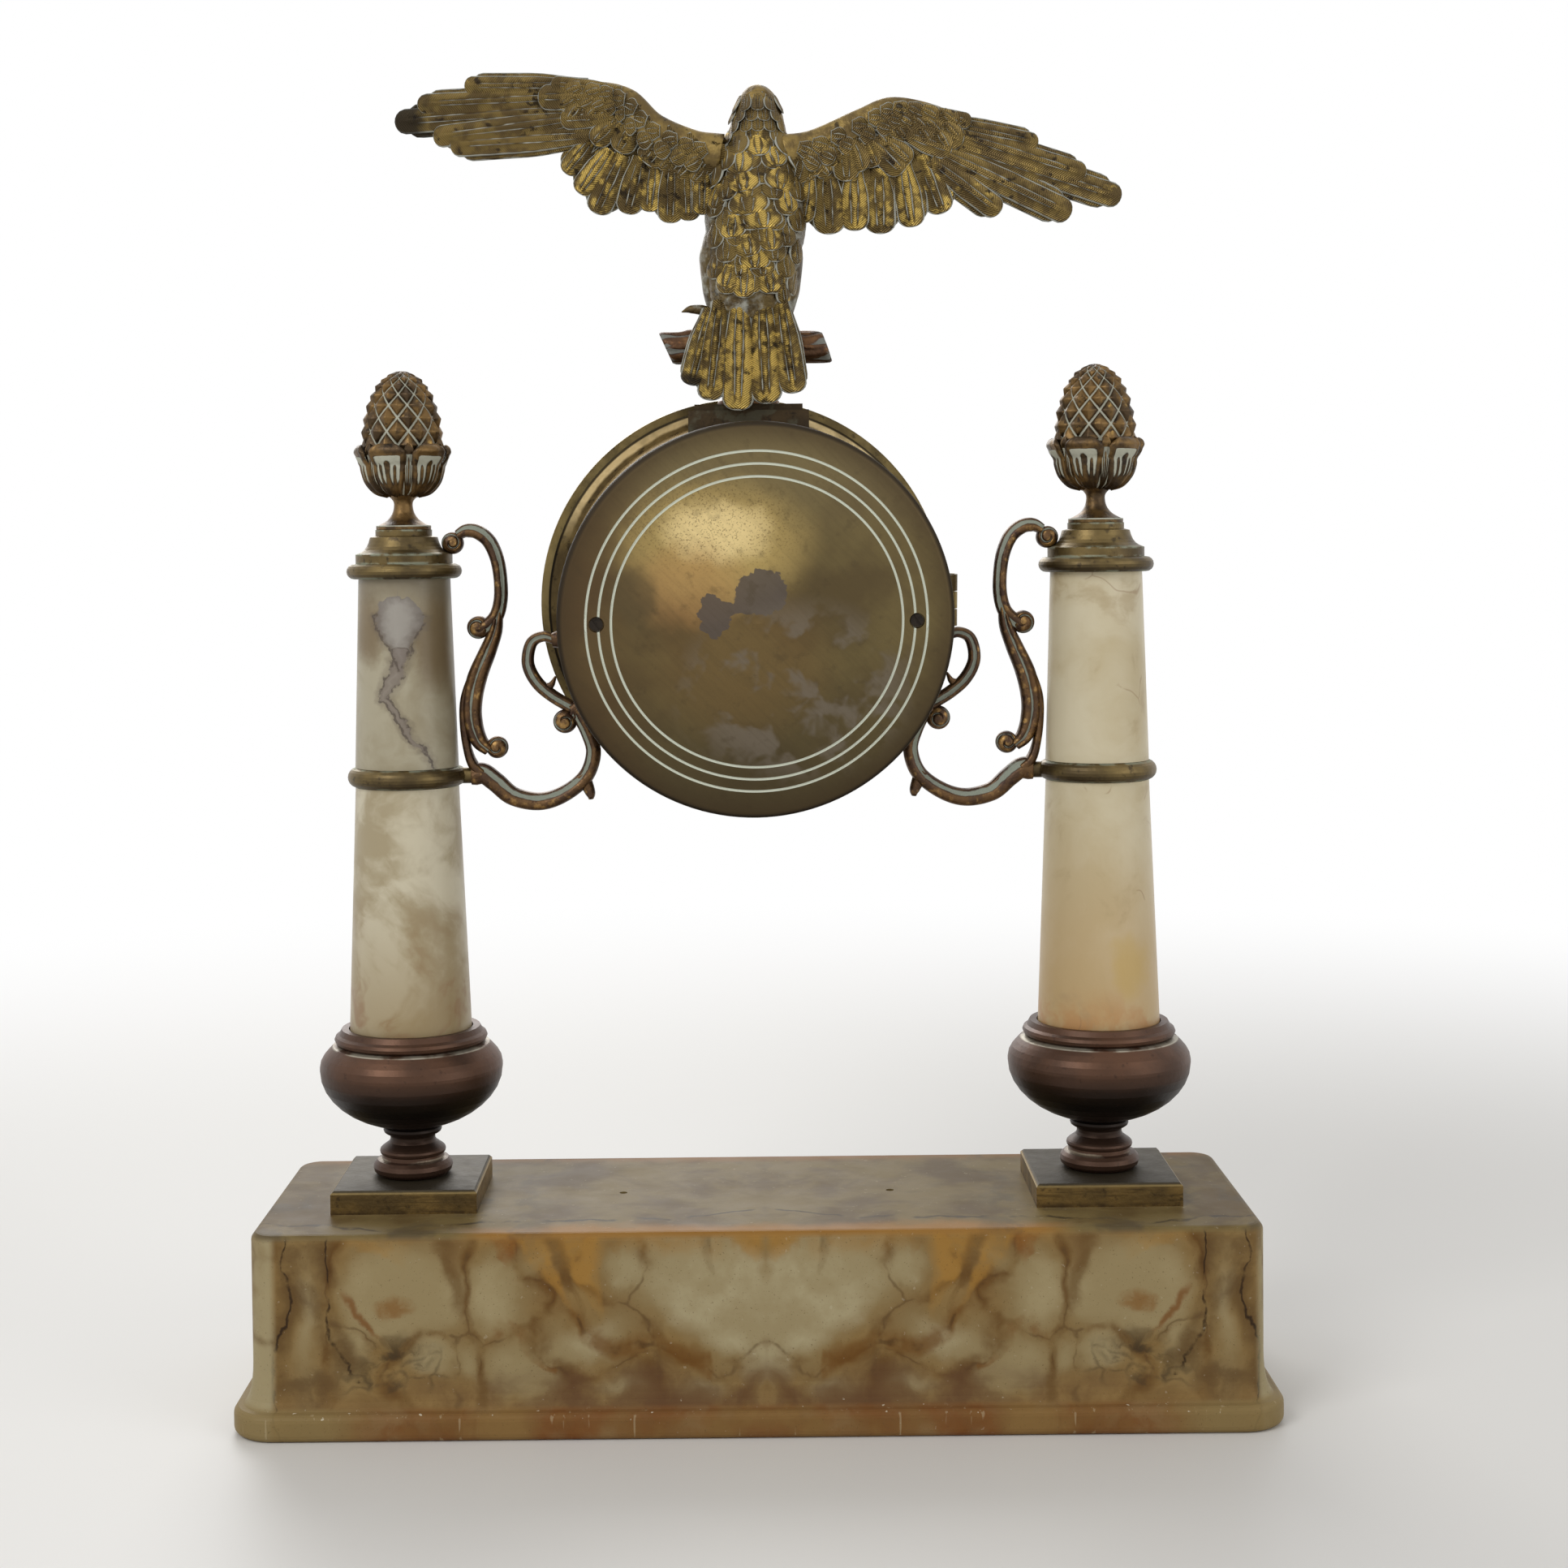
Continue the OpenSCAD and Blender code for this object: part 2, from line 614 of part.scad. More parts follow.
// f runs from lower pad (0) to upper (1), k is stroke widths out from the drum's wall
function off_drum(f, k) =
    on_drum(pad_lower_a + (pad_upper_a - pad_lower_a) * f, drum_r + k * bracket_w);
// Place along the drum's axis where a ray at this angle on its wall crosses the brackets' plane
function pad_shift(angle) =
    drum_r * (cos(angle) * tan(drum_turn) + sin(angle) * sin(drum_lean)) / cos(drum_lean);
pad_angles = [-pad_upper_a, -pad_lower_a, 180 + pad_upper_a, 180 + pad_lower_a];
module at_pad(angle) {
    drum_frame() translate([0, 0, pad_shift(angle)]) rotate([0, 90, angle]) children();
}

// Rounded to a fine grid, so that neighbouring rings share their corners exactly
function on_grid(v) = round(v * 256) / 256;
// One stroke: rings of a six-sided section along a path in the bracket's plane
function stroke_rings(path, w0, w1, t) = let(m = len(path) - 1) [for (i = [0:m])
    let(d = unit(path[min(i + 1, m)] - path[max(i - 1, 0)]), s = [-d[1], d[0]],
        w = (w0 + (w1 - w0) * i / m) / 2, h = t / 2)
    [for (q = [[-1, 0], [-0.6, -1], [0.6, -1], [1, 0], [0.6, 1], [-0.6, 1]])
        [on_grid(path[i][0] + s[0] * w * q[0]), h * q[1], on_grid(path[i][1] + s[1] * w * q[0])]]];

module volute(p, r) {
    translate([p[0], 0, p[1]]) rotate([90, 0, 0]) hull() {
        cylinder(r = r, h = bracket_t * 0.7, center = true, $fn = 14);
        cylinder(r = r * 0.5, h = bracket_t * 1.15, center = true, $fn = 14);
    }
}

module drum_pad(angle, out) {
    at_pad(angle) translate([0, 0, drum_r - 0.3 * pad_r]) hull() {
        cylinder(r = pad_r, h = out + 0.3 * pad_r, $fn = 16);
        cylinder(r = pad_r * 0.7, h = out + 0.65 * pad_r, $fn = 16);
    }
}

module in_plane(p) {
    translate([p[0], 0, p[1]]) rotate([90, 0, 0]) children();
}

module scroll_strokes() {
    w = bracket_w;
    low_pad = on_drum(pad_lower_a, drum_r + pad_lower_out);
    high_pad = on_drum(pad_upper_a, drum_r + pad_upper_out);
    arch_end = scroll(0.85, 0.107);
    arch = [
        top_volute_p + [-0.44, 0.72] * top_volute_r, top_volute_p + [-1.28, 1.1] * top_volute_r,
        scroll(0.9, 1.045), scroll(0.775, 1),
        scroll(0.69, 0.91), scroll(0.665, 0.785), scroll(0.72, 0.7), scroll(0.845, 0.54), scroll(0.96, 0.4),
        scroll(1.02, 0.29), scroll(0.98, 0.18), arch_end];
    belly = [
        [lug_x, lug_z], scroll(0.9, 0), scroll(0.76, -0.03), scroll(0.56, -0.1), scroll(0.28, -0.115),
        scroll(0.02, -0.085), scroll(-0.22, -0.01), scroll(-0.31, 0.09), low_pad - [0.71, 1.41] * w, low_pad];
    loop = [
        low_pad, off_drum(0.285, 1.73), off_drum(0.53, 2.32), off_drum(0.77, 2.52), off_drum(1.01, 2.08),
        off_drum(1.07, 1.31), high_pad];
    loft(stroke_rings(through(arch), w * 0.8, w * 0.9, bracket_t));
    loft(stroke_rings(through(belly), w, w * 0.8, bracket_t));
    loft(stroke_rings(through(loop), w * 0.75, w * 0.6, bracket_t * 0.8));
    hull() {
        in_plane([lug_x, lug_z] + [-0.55, 0.18] * w)
            cylinder(r = 0.37 * w, h = bracket_t * 0.8, center = true, $fn = 12);
        in_plane(scroll(1, 0.16)) cylinder(r = 0.3 * w, h = bracket_t * 0.8, center = true, $fn = 12);
    }
    hull() {
        in_plane(scroll(-0.28, -0.115)) cylinder(r = 0.11 * w, h = bracket_t * 0.3, center = true, $fn = 8);
        in_plane(scroll(-0.12, -0.05)) cylinder(r = 0.37 * w, h = bracket_t * 0.7, center = true, $fn = 10);
    }
    translate([lug_x, 0, lug_z]) rotate([0, -90, 0]) cylinder(r = ring_lug_r * 1.23, h = 0.74 * w, $fn = 20);
    volute(top_volute_p, top_volute_r);
    volute(scroll(0.775, 0.637) + [0.76, 0] * w, 0.69 * w);
    volute(arch_end + [-0.68, 0.17] * w, 0.67 * w);
    volute(low_pad + [0.64, -0.72] * w, 0.72 * w);
}

module scroll_bracket(side) {
    flat = side > 0 ? 0 : 180;
    color("peru") difference() {
        union() {
            mirror([side > 0 ? 0 : 1, 0, 0]) scroll_strokes();
            drum_pad(flat - side * pad_lower_a, pad_lower_out);
            drum_pad(flat - side * pad_upper_a, pad_upper_out);
        }
        drum_frame() cylinder(r = drum_r + pad_gap, h = drum_back + drum_front, center = true, $fn = 120);
        for (a = [pad_lower_a, pad_upper_a]) at_pad(flat - side * a)
            cylinder(r = screw_r + fit_clear, h = drum_r + screw_in_pad + 0.3, $fn = 16);
    }
}

module bracket_screws() {
    head = sqrt(pow(drum_in_r, 2) - pow(bracket_head_r, 2));
    head_h = 1.8;
    color("dimgray") for (a = pad_angles) at_pad(a) {
        translate([0, 0, head - head_h]) cylinder(r = bracket_head_r, h = head_h, $fn = 32);
        translate([0, 0, head - 1]) cylinder(r = screw_r, h = drum_r + screw_in_pad - head + 1, $fn = 32);
    }
}

// Drum: wall, bezel seat, hinged bezel with glass, dial, back cover

module drum_case() {
    color("gold") difference() {
        drum_frame() difference() {
            translate([0, 0, -drum_back]) cylinder(r = drum_r, h = drum_back + drum_front, $fn = 160);
            translate([0, 0, -drum_back - 1])
                cylinder(r = drum_in_r, h = drum_back + drum_front + 2, $fn = 160);
        }
        for (a = pad_angles) at_pad(a) translate([0, 0, drum_in_r - 3])
            cylinder(r = screw_r + fit_clear, h = drum_wall + 6, $fn = 32);
        translate([0, 0, drum_z]) cylinder(r = stud_r + fit_clear, h = drum_r + 5, $fn = 32);
    }
}

hinge_x = -(bezel_r + knuckle_r + 0.4);
hinge_z = bezel_z - bezel_gap / 2;
knuckle_step = hinge_l / 3;
knuckle_l = knuckle_step - 0.4;
seat_wall = 1.4;
lip_z = bezel_z + bezel_h - 2.4;

module bezel_seat() {
    tube_r = drum_in_r - fit_clear;
    web_r = pillar_pos_r - 3.5;
    flange_r = bezel_r - 2.5;
    outline = [
        [web_r, web_z], [tube_r, web_z], [tube_r, seat_z], [flange_r, seat_z], [flange_r, seat_z + seat_t],
        [tube_r - seat_wall, seat_z + seat_t], [tube_r - seat_wall, web_z + seat_t], [web_r, web_z + seat_t]];
    color("darkgoldenrod") drum_frame() difference() {
        union() {
            rotate_extrude($fn = 160) polygon(outline);
            for (s = [-1, 1]) translate([hinge_x, s * knuckle_step, 0]) {
                translate([0, -knuckle_l / 2, seat_z]) cube([bezel_out, knuckle_l, seat_t]);
                translate([0, 0, hinge_z]) rotate([90, 0, 0])
                    cylinder(r = knuckle_r, h = knuckle_l, center = true, $fn = 32);
            }
        }
        translate([hinge_x, 0, hinge_z]) rotate([90, 0, 0])
            cylinder(r = hinge_pin_r + pivot_clear, h = hinge_l + 4, center = true, $fn = 32);
        for (a = pillar_angles) rotate([0, 0, a]) translate([pillar_pos_r, 0, web_z - 1])
            cylinder(r = screw_r + fit_clear, h = seat_t + 2, $fn = 24);
    }
}

module bezel() {
    in_r = bezel_r - bezel_face_w;
    outline = concat(
        [[glass_r + fit_clear, bezel_z], [bezel_r, bezel_z], [bezel_r, bezel_z + 2.2]],
        arc([bezel_r - 3, bezel_z + 2.2], 2.4, 2.2, 0, 90, 4),
        arc([bezel_r - 6, bezel_z + bezel_h - 2.6], 2.4, 2.6, 10, 90, 5),
        [[in_r, bezel_z + bezel_h - 1], [in_r, lip_z], [glass_r + fit_clear, lip_z]]);
    color("darkgoldenrod") drum_frame() difference() {
        union() {
            rotate_extrude($fn = 160) polygon(outline);
            translate([hinge_x, -knuckle_l / 2, bezel_z]) cube([knuckle_r + 2, knuckle_l, 2]);
            translate([hinge_x, 0, hinge_z]) rotate([90, 0, 0])
                cylinder(r = knuckle_r, h = knuckle_l, center = true, $fn = 32);
        }
        translate([hinge_x, 0, hinge_z]) rotate([90, 0, 0])
            cylinder(r = hinge_pin_r + pivot_clear, h = hinge_l + 4, center = true, $fn = 32);
    }
}

module hinge_pin() {
    color("goldenrod") drum_frame() translate([hinge_x, 0, hinge_z]) rotate([90, 0, 0])
        cylinder(r = hinge_pin_r, h = hinge_l, center = true, $fn = 32);
}

module bezel_glass() {
    curve_r = (glass_r * glass_r + glass_bow_h * glass_bow_h) / (2 * glass_bow_h);
    low = lip_z - glass_t;
    rim_r = bezel_r - bezel_face_w - 0.6;
    function bow(r) = sqrt(curve_r * curve_r - r * r) - sqrt(curve_r * curve_r - rim_r * rim_r);
    steps = 8;
    front = [for (k = [steps:-1:0]) let(r = rim_r * k / steps) [r, lip_z + bow(r)]];
    back = [for (k = [0:steps]) let(r = rim_r * k / steps) [r, low + bow(r)]];
    color("lightblue", 0.4) drum_frame() rotate_extrude($fn = 120)
        polygon(concat([[glass_r, low], [glass_r, lip_z]], front, back));
}

module dial() {
    dial_r = drum_in_r - seat_wall - 2 * fit_clear;
    color("white") drum_frame() translate([0, 0, dial_z]) difference() {
        cylinder(r = dial_r, h = dial_t, $fn = 120);
        translate([0, 0, -1]) cylinder(r = hour_pipe_r + 0.5, h = dial_t + 2, $fn = 32);
        translate([barrel_p[0], barrel_p[1], -1]) cylinder(r = winding_square, h = dial_t + 2, $fn = 32);
    }
}

// A hand of spade shape: a round eye, a tapering blade and a leaf before its point
module hand(length, eye_r, hole_r, leaf_r) {
    leaf_y = length * 0.74;
    linear_extrude(hand_t) difference() {
        union() {
            circle(r = eye_r, $fn = 40);
            polygon([[-1.3, 0], [1.3, 0], [0.7, leaf_y], [0.45, length], [-0.45, length], [-0.7, leaf_y]]);
            polygon(concat(
                curve([0.6, leaf_y - 2 * leaf_r], [leaf_r, leaf_y - leaf_r], [leaf_r, leaf_y],
                    [0.45, length - 2], 6),
                curve([-0.45, length - 2], [-leaf_r, leaf_y], [-leaf_r, leaf_y - leaf_r],
                    [-0.6, leaf_y - 2 * leaf_r], 6)));
        }
        circle(r = hole_r, $fn = 40);
    }
}

shown_minutes = 9;
shown_hours = 10 + shown_minutes / 60;

module hour_hand() {
    color("midnightblue") drum_frame() translate([0, 0, hour_hand_z]) rotate([0, 0, -30 * shown_hours])
        hand(hour_l, hour_pipe_r + 2, hour_seat_r + press_clear, 4.2);
}

module minute_hand() {
    color("midnightblue") drum_frame() translate([0, 0, minute_hand_z]) rotate([0, 0, -6 * shown_minutes])
        hand(minute_l, cannon_r + 1.6, centre_r + press_clear, 3.2);
}

// The cover's outer face is a shallow dome that falls to its rim
cover_roll = 1.6;
cover_rim_z = -drum_back - cover_roll;
cover_recess_depth = 1.7;
cover_head_h = 1.3;
function cover_face(r) = cover_rim_z - cover_dome * (1 - pow(r / (cover_r - 2), 2));
strap_back_z = cover_face(strap_r) + cover_t + 1.4;

module back_cover() {
    groove = cover_ring_w / 2;
    rings = [cover_ring_r + cover_ring_step, cover_ring_r, cover_ring_r - cover_ring_step];
    inner_r = drum_r + fit_clear;
    outer = concat(
        [[cover_r, -drum_back + cover_skirt]],
        [for (a = [0:30:90]) [cover_r - 2 + 2 * cos(a), -drum_back - cover_roll * sin(a)]],
        [for (r = rings) each [
            [r + groove, cover_face(r + groove)], [r + groove / 2, cover_face(r) + cover_ring_depth],
            [r - groove / 2, cover_face(r) + cover_ring_depth], [r - groove, cover_face(r - groove)]]],
        [for (r = [40:-8:0]) [r, cover_face(r)]]);
    inner = concat(
        [for (r = [0:8:48]) [r, cover_face(r) + cover_t]],
        [[inner_r - 4, cover_face(inner_r - 4) + cover_t], [inner_r, -drum_back - 0.1],
            [inner_r, -drum_back + cover_skirt]]);
    color("darkkhaki") drum_frame() difference() {
        union() {
            rotate_extrude($fn = 160) polygon(concat(outer, inner));
            for (s = [-1, 1]) translate([s * strap_r, 0, cover_face(strap_r) + 0.5])
                cylinder(r = cover_recess_r + 1.6, h = strap_back_z - cover_face(strap_r) - 0.5, $fn = 32);
        }
        for (s = [-1, 1]) translate([s * strap_r, 0, cover_face(strap_r) - 3]) {
            cylinder(r = screw_r + fit_clear, h = 12, $fn = 32);
            cylinder(r = cover_recess_r, h = 3 + cover_recess_depth, $fn = 32);
        }
    }
}

module cover_screws() {
    head_z = cover_face(strap_r) + cover_recess_depth;
    shank_l = 7.5;
    color("dimgray") drum_frame() for (s = [-1, 1]) translate([s * strap_r, 0, 0]) difference() {
        union() {
            translate([0, 0, head_z - cover_head_h]) cylinder(r = cover_head_r, h = cover_head_h, $fn = 32);
            translate([0, 0, head_z - 0.5]) cylinder(r = screw_r, h = shank_l, $fn = 32);
        }
        translate([0, 0, head_z - cover_head_h]) rotate([0, 0, 55])
            cube([3 * cover_head_r, 0.7, 1.2], center = true);
    }
}

module case_straps() {
    color("goldenrod") drum_frame() for (s = [-1, 1]) translate([s * strap_r, 0, 0]) difference() {
        translate([-strap_t / 2, -strap_w / 2, strap_back_z]) cube([strap_t, strap_w, web_z - strap_back_z]);
        translate([0, 0, strap_back_z - 1]) cylinder(r = screw_r + thread_clear, h = 9, $fn = 32);
    }
}

// Eagle on its perch: the bird looks towards the dial's side, so its back and tail face +Y

saddle_top = drum_z + drum_r + saddle_h;
perch_z = saddle_top + perch_boss_h + perch_r - 1;
perch_top = perch_z + perch_r;
stud_top = perch_top + 9 * eagle_h / 80.5;

module eagle_saddle() {
    step = 2;
    skirt = 5;
    color("darkgoldenrod") difference() {
        union() {
            translate([-saddle_w / 2, -saddle_d / 2, saddle_top - saddle_h - skirt])
                cube([saddle_w, saddle_d, saddle_h + skirt - step]);
            translate([-saddle_w / 2 + step, -saddle_d / 2 + step, saddle_top - step - 0.5])
                cube([saddle_w - 2 * step, saddle_d - 2 * step, step + 0.5]);
        }
        drum_frame() cylinder(r = drum_r + fit_clear, h = 3 * saddle_d, center = true, $fn = 160);
        translate([0, 0, drum_z]) cylinder(r = stud_r + fit_clear, h = drum_r + 40, $fn = 32);
    }
}

module perch() {
    h = perch_boss_h;
    half = perch_l / 2;
    r = perch_boss_r;
    boss = concat(
        [[0, 0], [r, 0], [r, 0.1 * h]],
        curve([0.9 * r, 0.14 * h], [0.7 * r, 0.28 * h], [0.62 * r, 0.41 * h], [0.6 * r, 0.93 * h], 5),
        [[0.5 * r, h + perch_r * 0.6], [0, h + perch_r * 0.6]]);
    color("goldenrod") difference() {
        union() {
            translate([0, 0, saddle_top]) rotate_extrude($fn = 48) polygon(boss);
            translate([0, 0, perch_z]) rotate([0, 90, 0]) rotate_extrude($fn = 48) polygon([
                [0, -half], [0.8 * perch_r, -half], [0.93 * perch_r, -0.95 * half], [perch_r, 0],
                [0.96 * perch_r, 0.95 * half], [0.85 * perch_r, half], [0, half]]);
        }
        translate([0, 0, saddle_top - 1])
            cylinder(r = stud_r + fit_clear, h = stud_top - saddle_top, $fn = 32);
    }
}

module eagle_stud() {
    nut_top = drum_z + drum_in_r * cos(drum_lean) - 0.5;
    color("dimgray") {
        translate([0, 0, nut_top - 4]) cylinder(r = stud_r, h = stud_top - nut_top + 4, $fn = 32);
        translate([0, 0, nut_top - 3]) difference() {
            cylinder(r = stud_r + 2.2, h = 3, $fn = 6);
            translate([0, 0, -1]) cylinder(r = stud_r - 0.5, h = 5, $fn = 32);
        }
    }
}

// One feather: a lens-shaped blade from root to tip, widest near its rounded end
module feather(root, tip, width, thick) {
    d = tip - root;
    side = unit(cross(d, [0, 1, 0]));
    face = unit(cross(side, d));
    shape = [[0, 0.6, 1], [0.62, 1, 0.8], [0.9, 0.78, 0.5], [1, 0.24, 0.3]];
    pts = [for (f = shape) let(c = root + d * f[0]) each [
        c + side * width * f[1] / 2, c - side * width * f[1] / 2,
        c + face * thick * f[2] / 2, c - face * thick * f[2] / 2]];
    hull() polyhedron(pts, [for (k = [0:len(pts) - 3]) [k, k + 1, k + 2]]);
}

// The eagle is drawn 80.5 high above its perch's top, then scaled to the height asked for
eagle_scale = eagle_h / 80.5;
module eagle_frame() {
    translate([0, 0, perch_top]) scale(eagle_scale) children();
}
// The body's middle, with the wings' flat joints on either side of it
trunk_mid = -3;
module between_wings(mid) {
    w = trunk_half_w / eagle_scale;
    translate([mid - w, -3 * w, -4 * w]) cube([2 * w, 6 * w, 12 * w]);
}
function oval(c, rx, ry, n = 10) =
    [for (k = [0:n - 1]) let(a = 360 * k / n) [c[0] + rx * cos(a), c[1] + ry * sin(a), c[2]]];

module trunk() {
    loft([
        oval([0, 10, 6], 9, 4), oval([-0.5, 7, 14], 12.5, 9), oval([-1.5, 3, 24], 15.5, 12.5),
        oval([-2.5, 0, 35], 17, 14), oval([-3, -1, 46], 16.5, 13.5), oval([-3, -1, 56], 13, 11),
        oval([-3.5, -1, 64], 9.6, 8.5), oval([-4, -2.5, 70], 8, 8.6), oval([-4, -3, 75], 6.8, 7.4),
        oval([-4, -3.2, 78.6], 4.6, 5.4), oval([-4, -3.4, 80.5], 1.4, 1.8)]);
}

// Skull, beak and the beak's hook, each between two balls
module head_and_beak() {
    balls = [[[-4, -6, 72], 6], [[-4, -13, 70], 3], [[-4, -17.5, 68], 1.4], [[-4, -18.2, 64.6], 0.6]];
    for (k = [0:2]) hull() for (b = [balls[k], balls[k + 1]]) translate(b[0]) sphere(r = b[1], $fn = 8);
}

module tail() {
    for (k = [-2:2]) {
        u = k / 2;
        feather([0.6 + 11 * u, 10, 9], [1.8 + 16.4 * u, 20.6 - 0.6 * abs(u), -26.8 + 6.4 * u * u], 10, 3.6);
    }
    for (u = [-1:1]) feather([5 * u - 1, 10.5, 18], [7.5 * u - 0.5, 15, 5], 8.4, 3);
}

module back_scales() {
    for (row = [0:3], k = [0:3 + row % 2]) {
        u = (k - (3 + row % 2) / 2) / 2;
        z = 24 + 9 * row;
        y = 11 + [3.6, 3, 1, -2.4][row] - 5 * u * u;
        feather([trunk_mid + 10 * u, y - 1.5, z + 7], [trunk_mid + 11 * u, y + 2, z - 5], 9, 2.6);
    }
}

module leg(x) {
    hull() {
        translate([x * 0.9, 0, 15]) scale([1, 1.1, 1.3]) sphere(r = 7, $fn = 10);
        translate([x, 0, 5.5]) sphere(r = 3.4, $fn = 8);
    }
    hull() {
        translate([x, 0, 5.5]) sphere(r = 3.2, $fn = 8);
        translate([x, 0, 2.4]) sphere(r = 2.2, $fn = 8);
    }
}

// Three toes in front of the log and one behind it, closed round it with a small gap
module talons(x) {
    toe_r = 1.45 * eagle_scale;
    reach = perch_r + talon_gap + toe_r;
    for (toe = [[-3.4, 1, 105], [0, 1, 115], [3.4, 1, 105], [0.6, -1, 100]])
        translate([x + toe[0] * eagle_scale, 0, perch_z]) rotate([90, 0, toe[1] > 0 ? -90 : 90])
            rotate([0, 0, 85]) rotate_extrude(angle = -toe[2], $fn = 16)
                translate([reach, 0]) circle(r = toe_r, $fn = 5);
    translate([x, 0, perch_top + talon_gap]) scale(eagle_scale) translate([-4.4, -2, 0]) cube([8.8, 4, 2.6]);
}

module eagle_body() {
    leg_at = [9, -11];
    socket = stud_top - perch_top + 5;
    color("goldenrod") difference() {
        union() {
            eagle_frame() {
                intersection() {
                    union() {
                        trunk();
                        back_scales();
                    }
                    between_wings(trunk_mid);
                }
                head_and_beak();
                tail();
                for (x = leg_at) leg(x);
            }
            for (x = leg_at) talons(x * eagle_scale);
            translate([0, 0, perch_top + talon_gap]) cylinder(r = 2 * stud_r, h = socket, $fn = 16);
        }
        translate([0, 0, perch_top - 5]) cylinder(r = stud_r + 0.3, h = socket + 0.3, $fn = 16);
    }
}

// A wing lies in the clock's width and height (u outwards, z up) and bends back and forth in y
function wing_y(u) = 4 - 9 * pow(u / 115, 2);
function wing_at(p, lift) = [p[0], wing_y(p[0]) + lift, p[1]];

module arm_joint(p, r, flat) {
    translate(wing_at(p, 0)) scale([1, flat, 1]) sphere(r = r, $fn = 12);
}

// shoulder, wrist and hand are points of the arm; each tip line is a cubic curve of four points
module wing(side, shoulder, wrist, hand_p, primary_root, primary_tips, second_tips) {
    primaries = 7;
    secondaries = 8;
    pt = curve(primary_tips[0], primary_tips[1], primary_tips[2], primary_tips[3], primaries - 1);
    st = curve(second_tips[0], second_tips[1], second_tips[2], second_tips[3], secondaries - 1);
    inner_root = shoulder + [-6, -9];
    color("goldenrod") mirror([side > 0 ? 0 : 1, 0, 0]) eagle_frame() difference() {
        union() {
            for (k = [0:primaries - 1]) {
                root = primary_root[0] + (primary_root[1] - primary_root[0]) * k / (primaries - 1);
                feather(wing_at(root, 0.3 * k - 1), wing_at(pt[k], 0.25 * k - 0.6), 10.5, 3.2);
            }
            for (k = [0:secondaries - 1]) {
                root = primary_root[1] + (inner_root - primary_root[1]) * k / (secondaries - 1);
                feather(wing_at(root, 0.2 * k), wing_at(st[k], 0.25 * (k % 2) + 0.8), 9.6, 3.4);
            }
            // two rows of coverts lie over the roots of the long feathers
            for (row = [0, 1], k = [0:6]) {
                f = (k + 0.5 * row) / 6.5;
                g = max(0, 2 * f - 1);
                start = f < 0.5 ? shoulder + (wrist - shoulder) * 2 * f : wrist + (hand_p - wrist) * g;
                end = start + unit([3 + 8 * g, 0.75 * g - 1]) * (row == 0 ? 17 : 10);
                feather(wing_at(start - [0, 1], 2.2 + row), wing_at(end, 2.8 + 0.7 * row), 9, 3);
            }
            hull() {
                arm_joint(shoulder, 6.5, 0.85);
                arm_joint(wrist, 4.6, 0.8);
            }
            hull() {
                arm_joint(wrist, 4.6, 0.8);
                arm_joint(hand_p, 2, 0.7);
            }
            hull() {
                arm_joint(shoulder + [-8, -4], 8, 0.9);
                arm_joint(shoulder, 6.5, 0.85);
            }
        }
        between_wings(side * trunk_mid);
    }
}

module eagle_wing_right() {
    wing(1, [17, 53], [48, 76], [84, 80], [[62, 79], [46, 58]],
        [[90, 81], [135, 71], [105, 55], [62, 51]], [[58, 50], [50, 35], [34, 37], [13, 34]]);
}

module eagle_wing_left() {
    wing(-1, [22, 54], [50, 66], [88, 58], [[68, 63], [48, 50]],
        [[95, 58], [140, 41], [110, 27], [64, 39]], [[63, 37], [50, 25], [36, 31], [18, 31]]);
}

// Movement. Gears have involute teeth; an unturned gear's first tooth lies along its own x axis

function involute(a) = tan(a) * 180 / PI - a;
function half_tooth(z, m, r) = let(pitch = z * m / 2, base = pitch * cos(pressure_angle),
    a = r > base ? acos(base / r) : 0)
    90 / z - gear_backlash / 2 / pitch * 180 / PI + involute(pressure_angle) - involute(a);
function gear_outline(z, m) = let(pitch = z * m / 2, base = pitch * cos(pressure_angle),
    root = pitch - 1.15 * m, tip = pitch + 0.8 * m, start = max(root, base),
    rise = concat(root < base ? [root] : [], [for (i = [0:3]) start + (tip - start) * i / 3]),
    last = len(rise) - 1)
    [for (k = [0:z - 1]) each concat(
        [for (i = [0:last]) polar([0, 0], rise[i], 360 * k / z - half_tooth(z, m, rise[i]))],
        [for (i = [last:-1:0]) polar([0, 0], rise[i], 360 * k / z + half_tooth(z, m, rise[i]))])];

// Turn of a gear of z2 teeth that lies in direction a from a gear of z1 teeth turned by turn1
function meshed(a, z1, z2, turn1) = a + 180 + 180 / z2 - (turn1 - a) * z1 / z2;

module pinion(z, m, h, turn) {
    rotate([0, 0, turn]) linear_extrude(h) polygon(gear_outline(z, m));
}

// A wheel with crossings: five windows between hub and rim
module crossed_wheel(z, m, h, turn, hub_r) {
    rim_in = z * m / 2 - 1.15 * m - wheel_rim;
    rotate([0, 0, turn]) linear_extrude(h) difference() {
        polygon(gear_outline(z, m));
        for (k = [0:4]) polygon(concat(
            arc([0, 0], rim_in, rim_in, 72 * k + 8, 72 * k + 64, 8),
            arc([0, 0], hub_r, hub_r, 72 * k + 54, 72 * k + 18, 4)));
    }
}

// A round arbor between the plates with a pivot at each end
module arbor(r) {
    translate([0, 0, -frame_back + end_shake]) cylinder(r = r, h = frame_gap - 2 * end_shake, $fn = 24);
    translate([0, 0, plate_back_z]) cylinder(r = pivot_r, h = frame_gap + 2 * frame_t, $fn = 24);
}

module at_arbor(p) {
    drum_frame() translate([p[0], p[1], 0]) children();
}

train_pivots = [third_p, fourth_p, escape_p, lever_p];

module at_pillars(z) {
    drum_frame() for (a = pillar_angles) rotate([0, 0, a]) translate([pillar_pos_r, 0, z]) children();
}

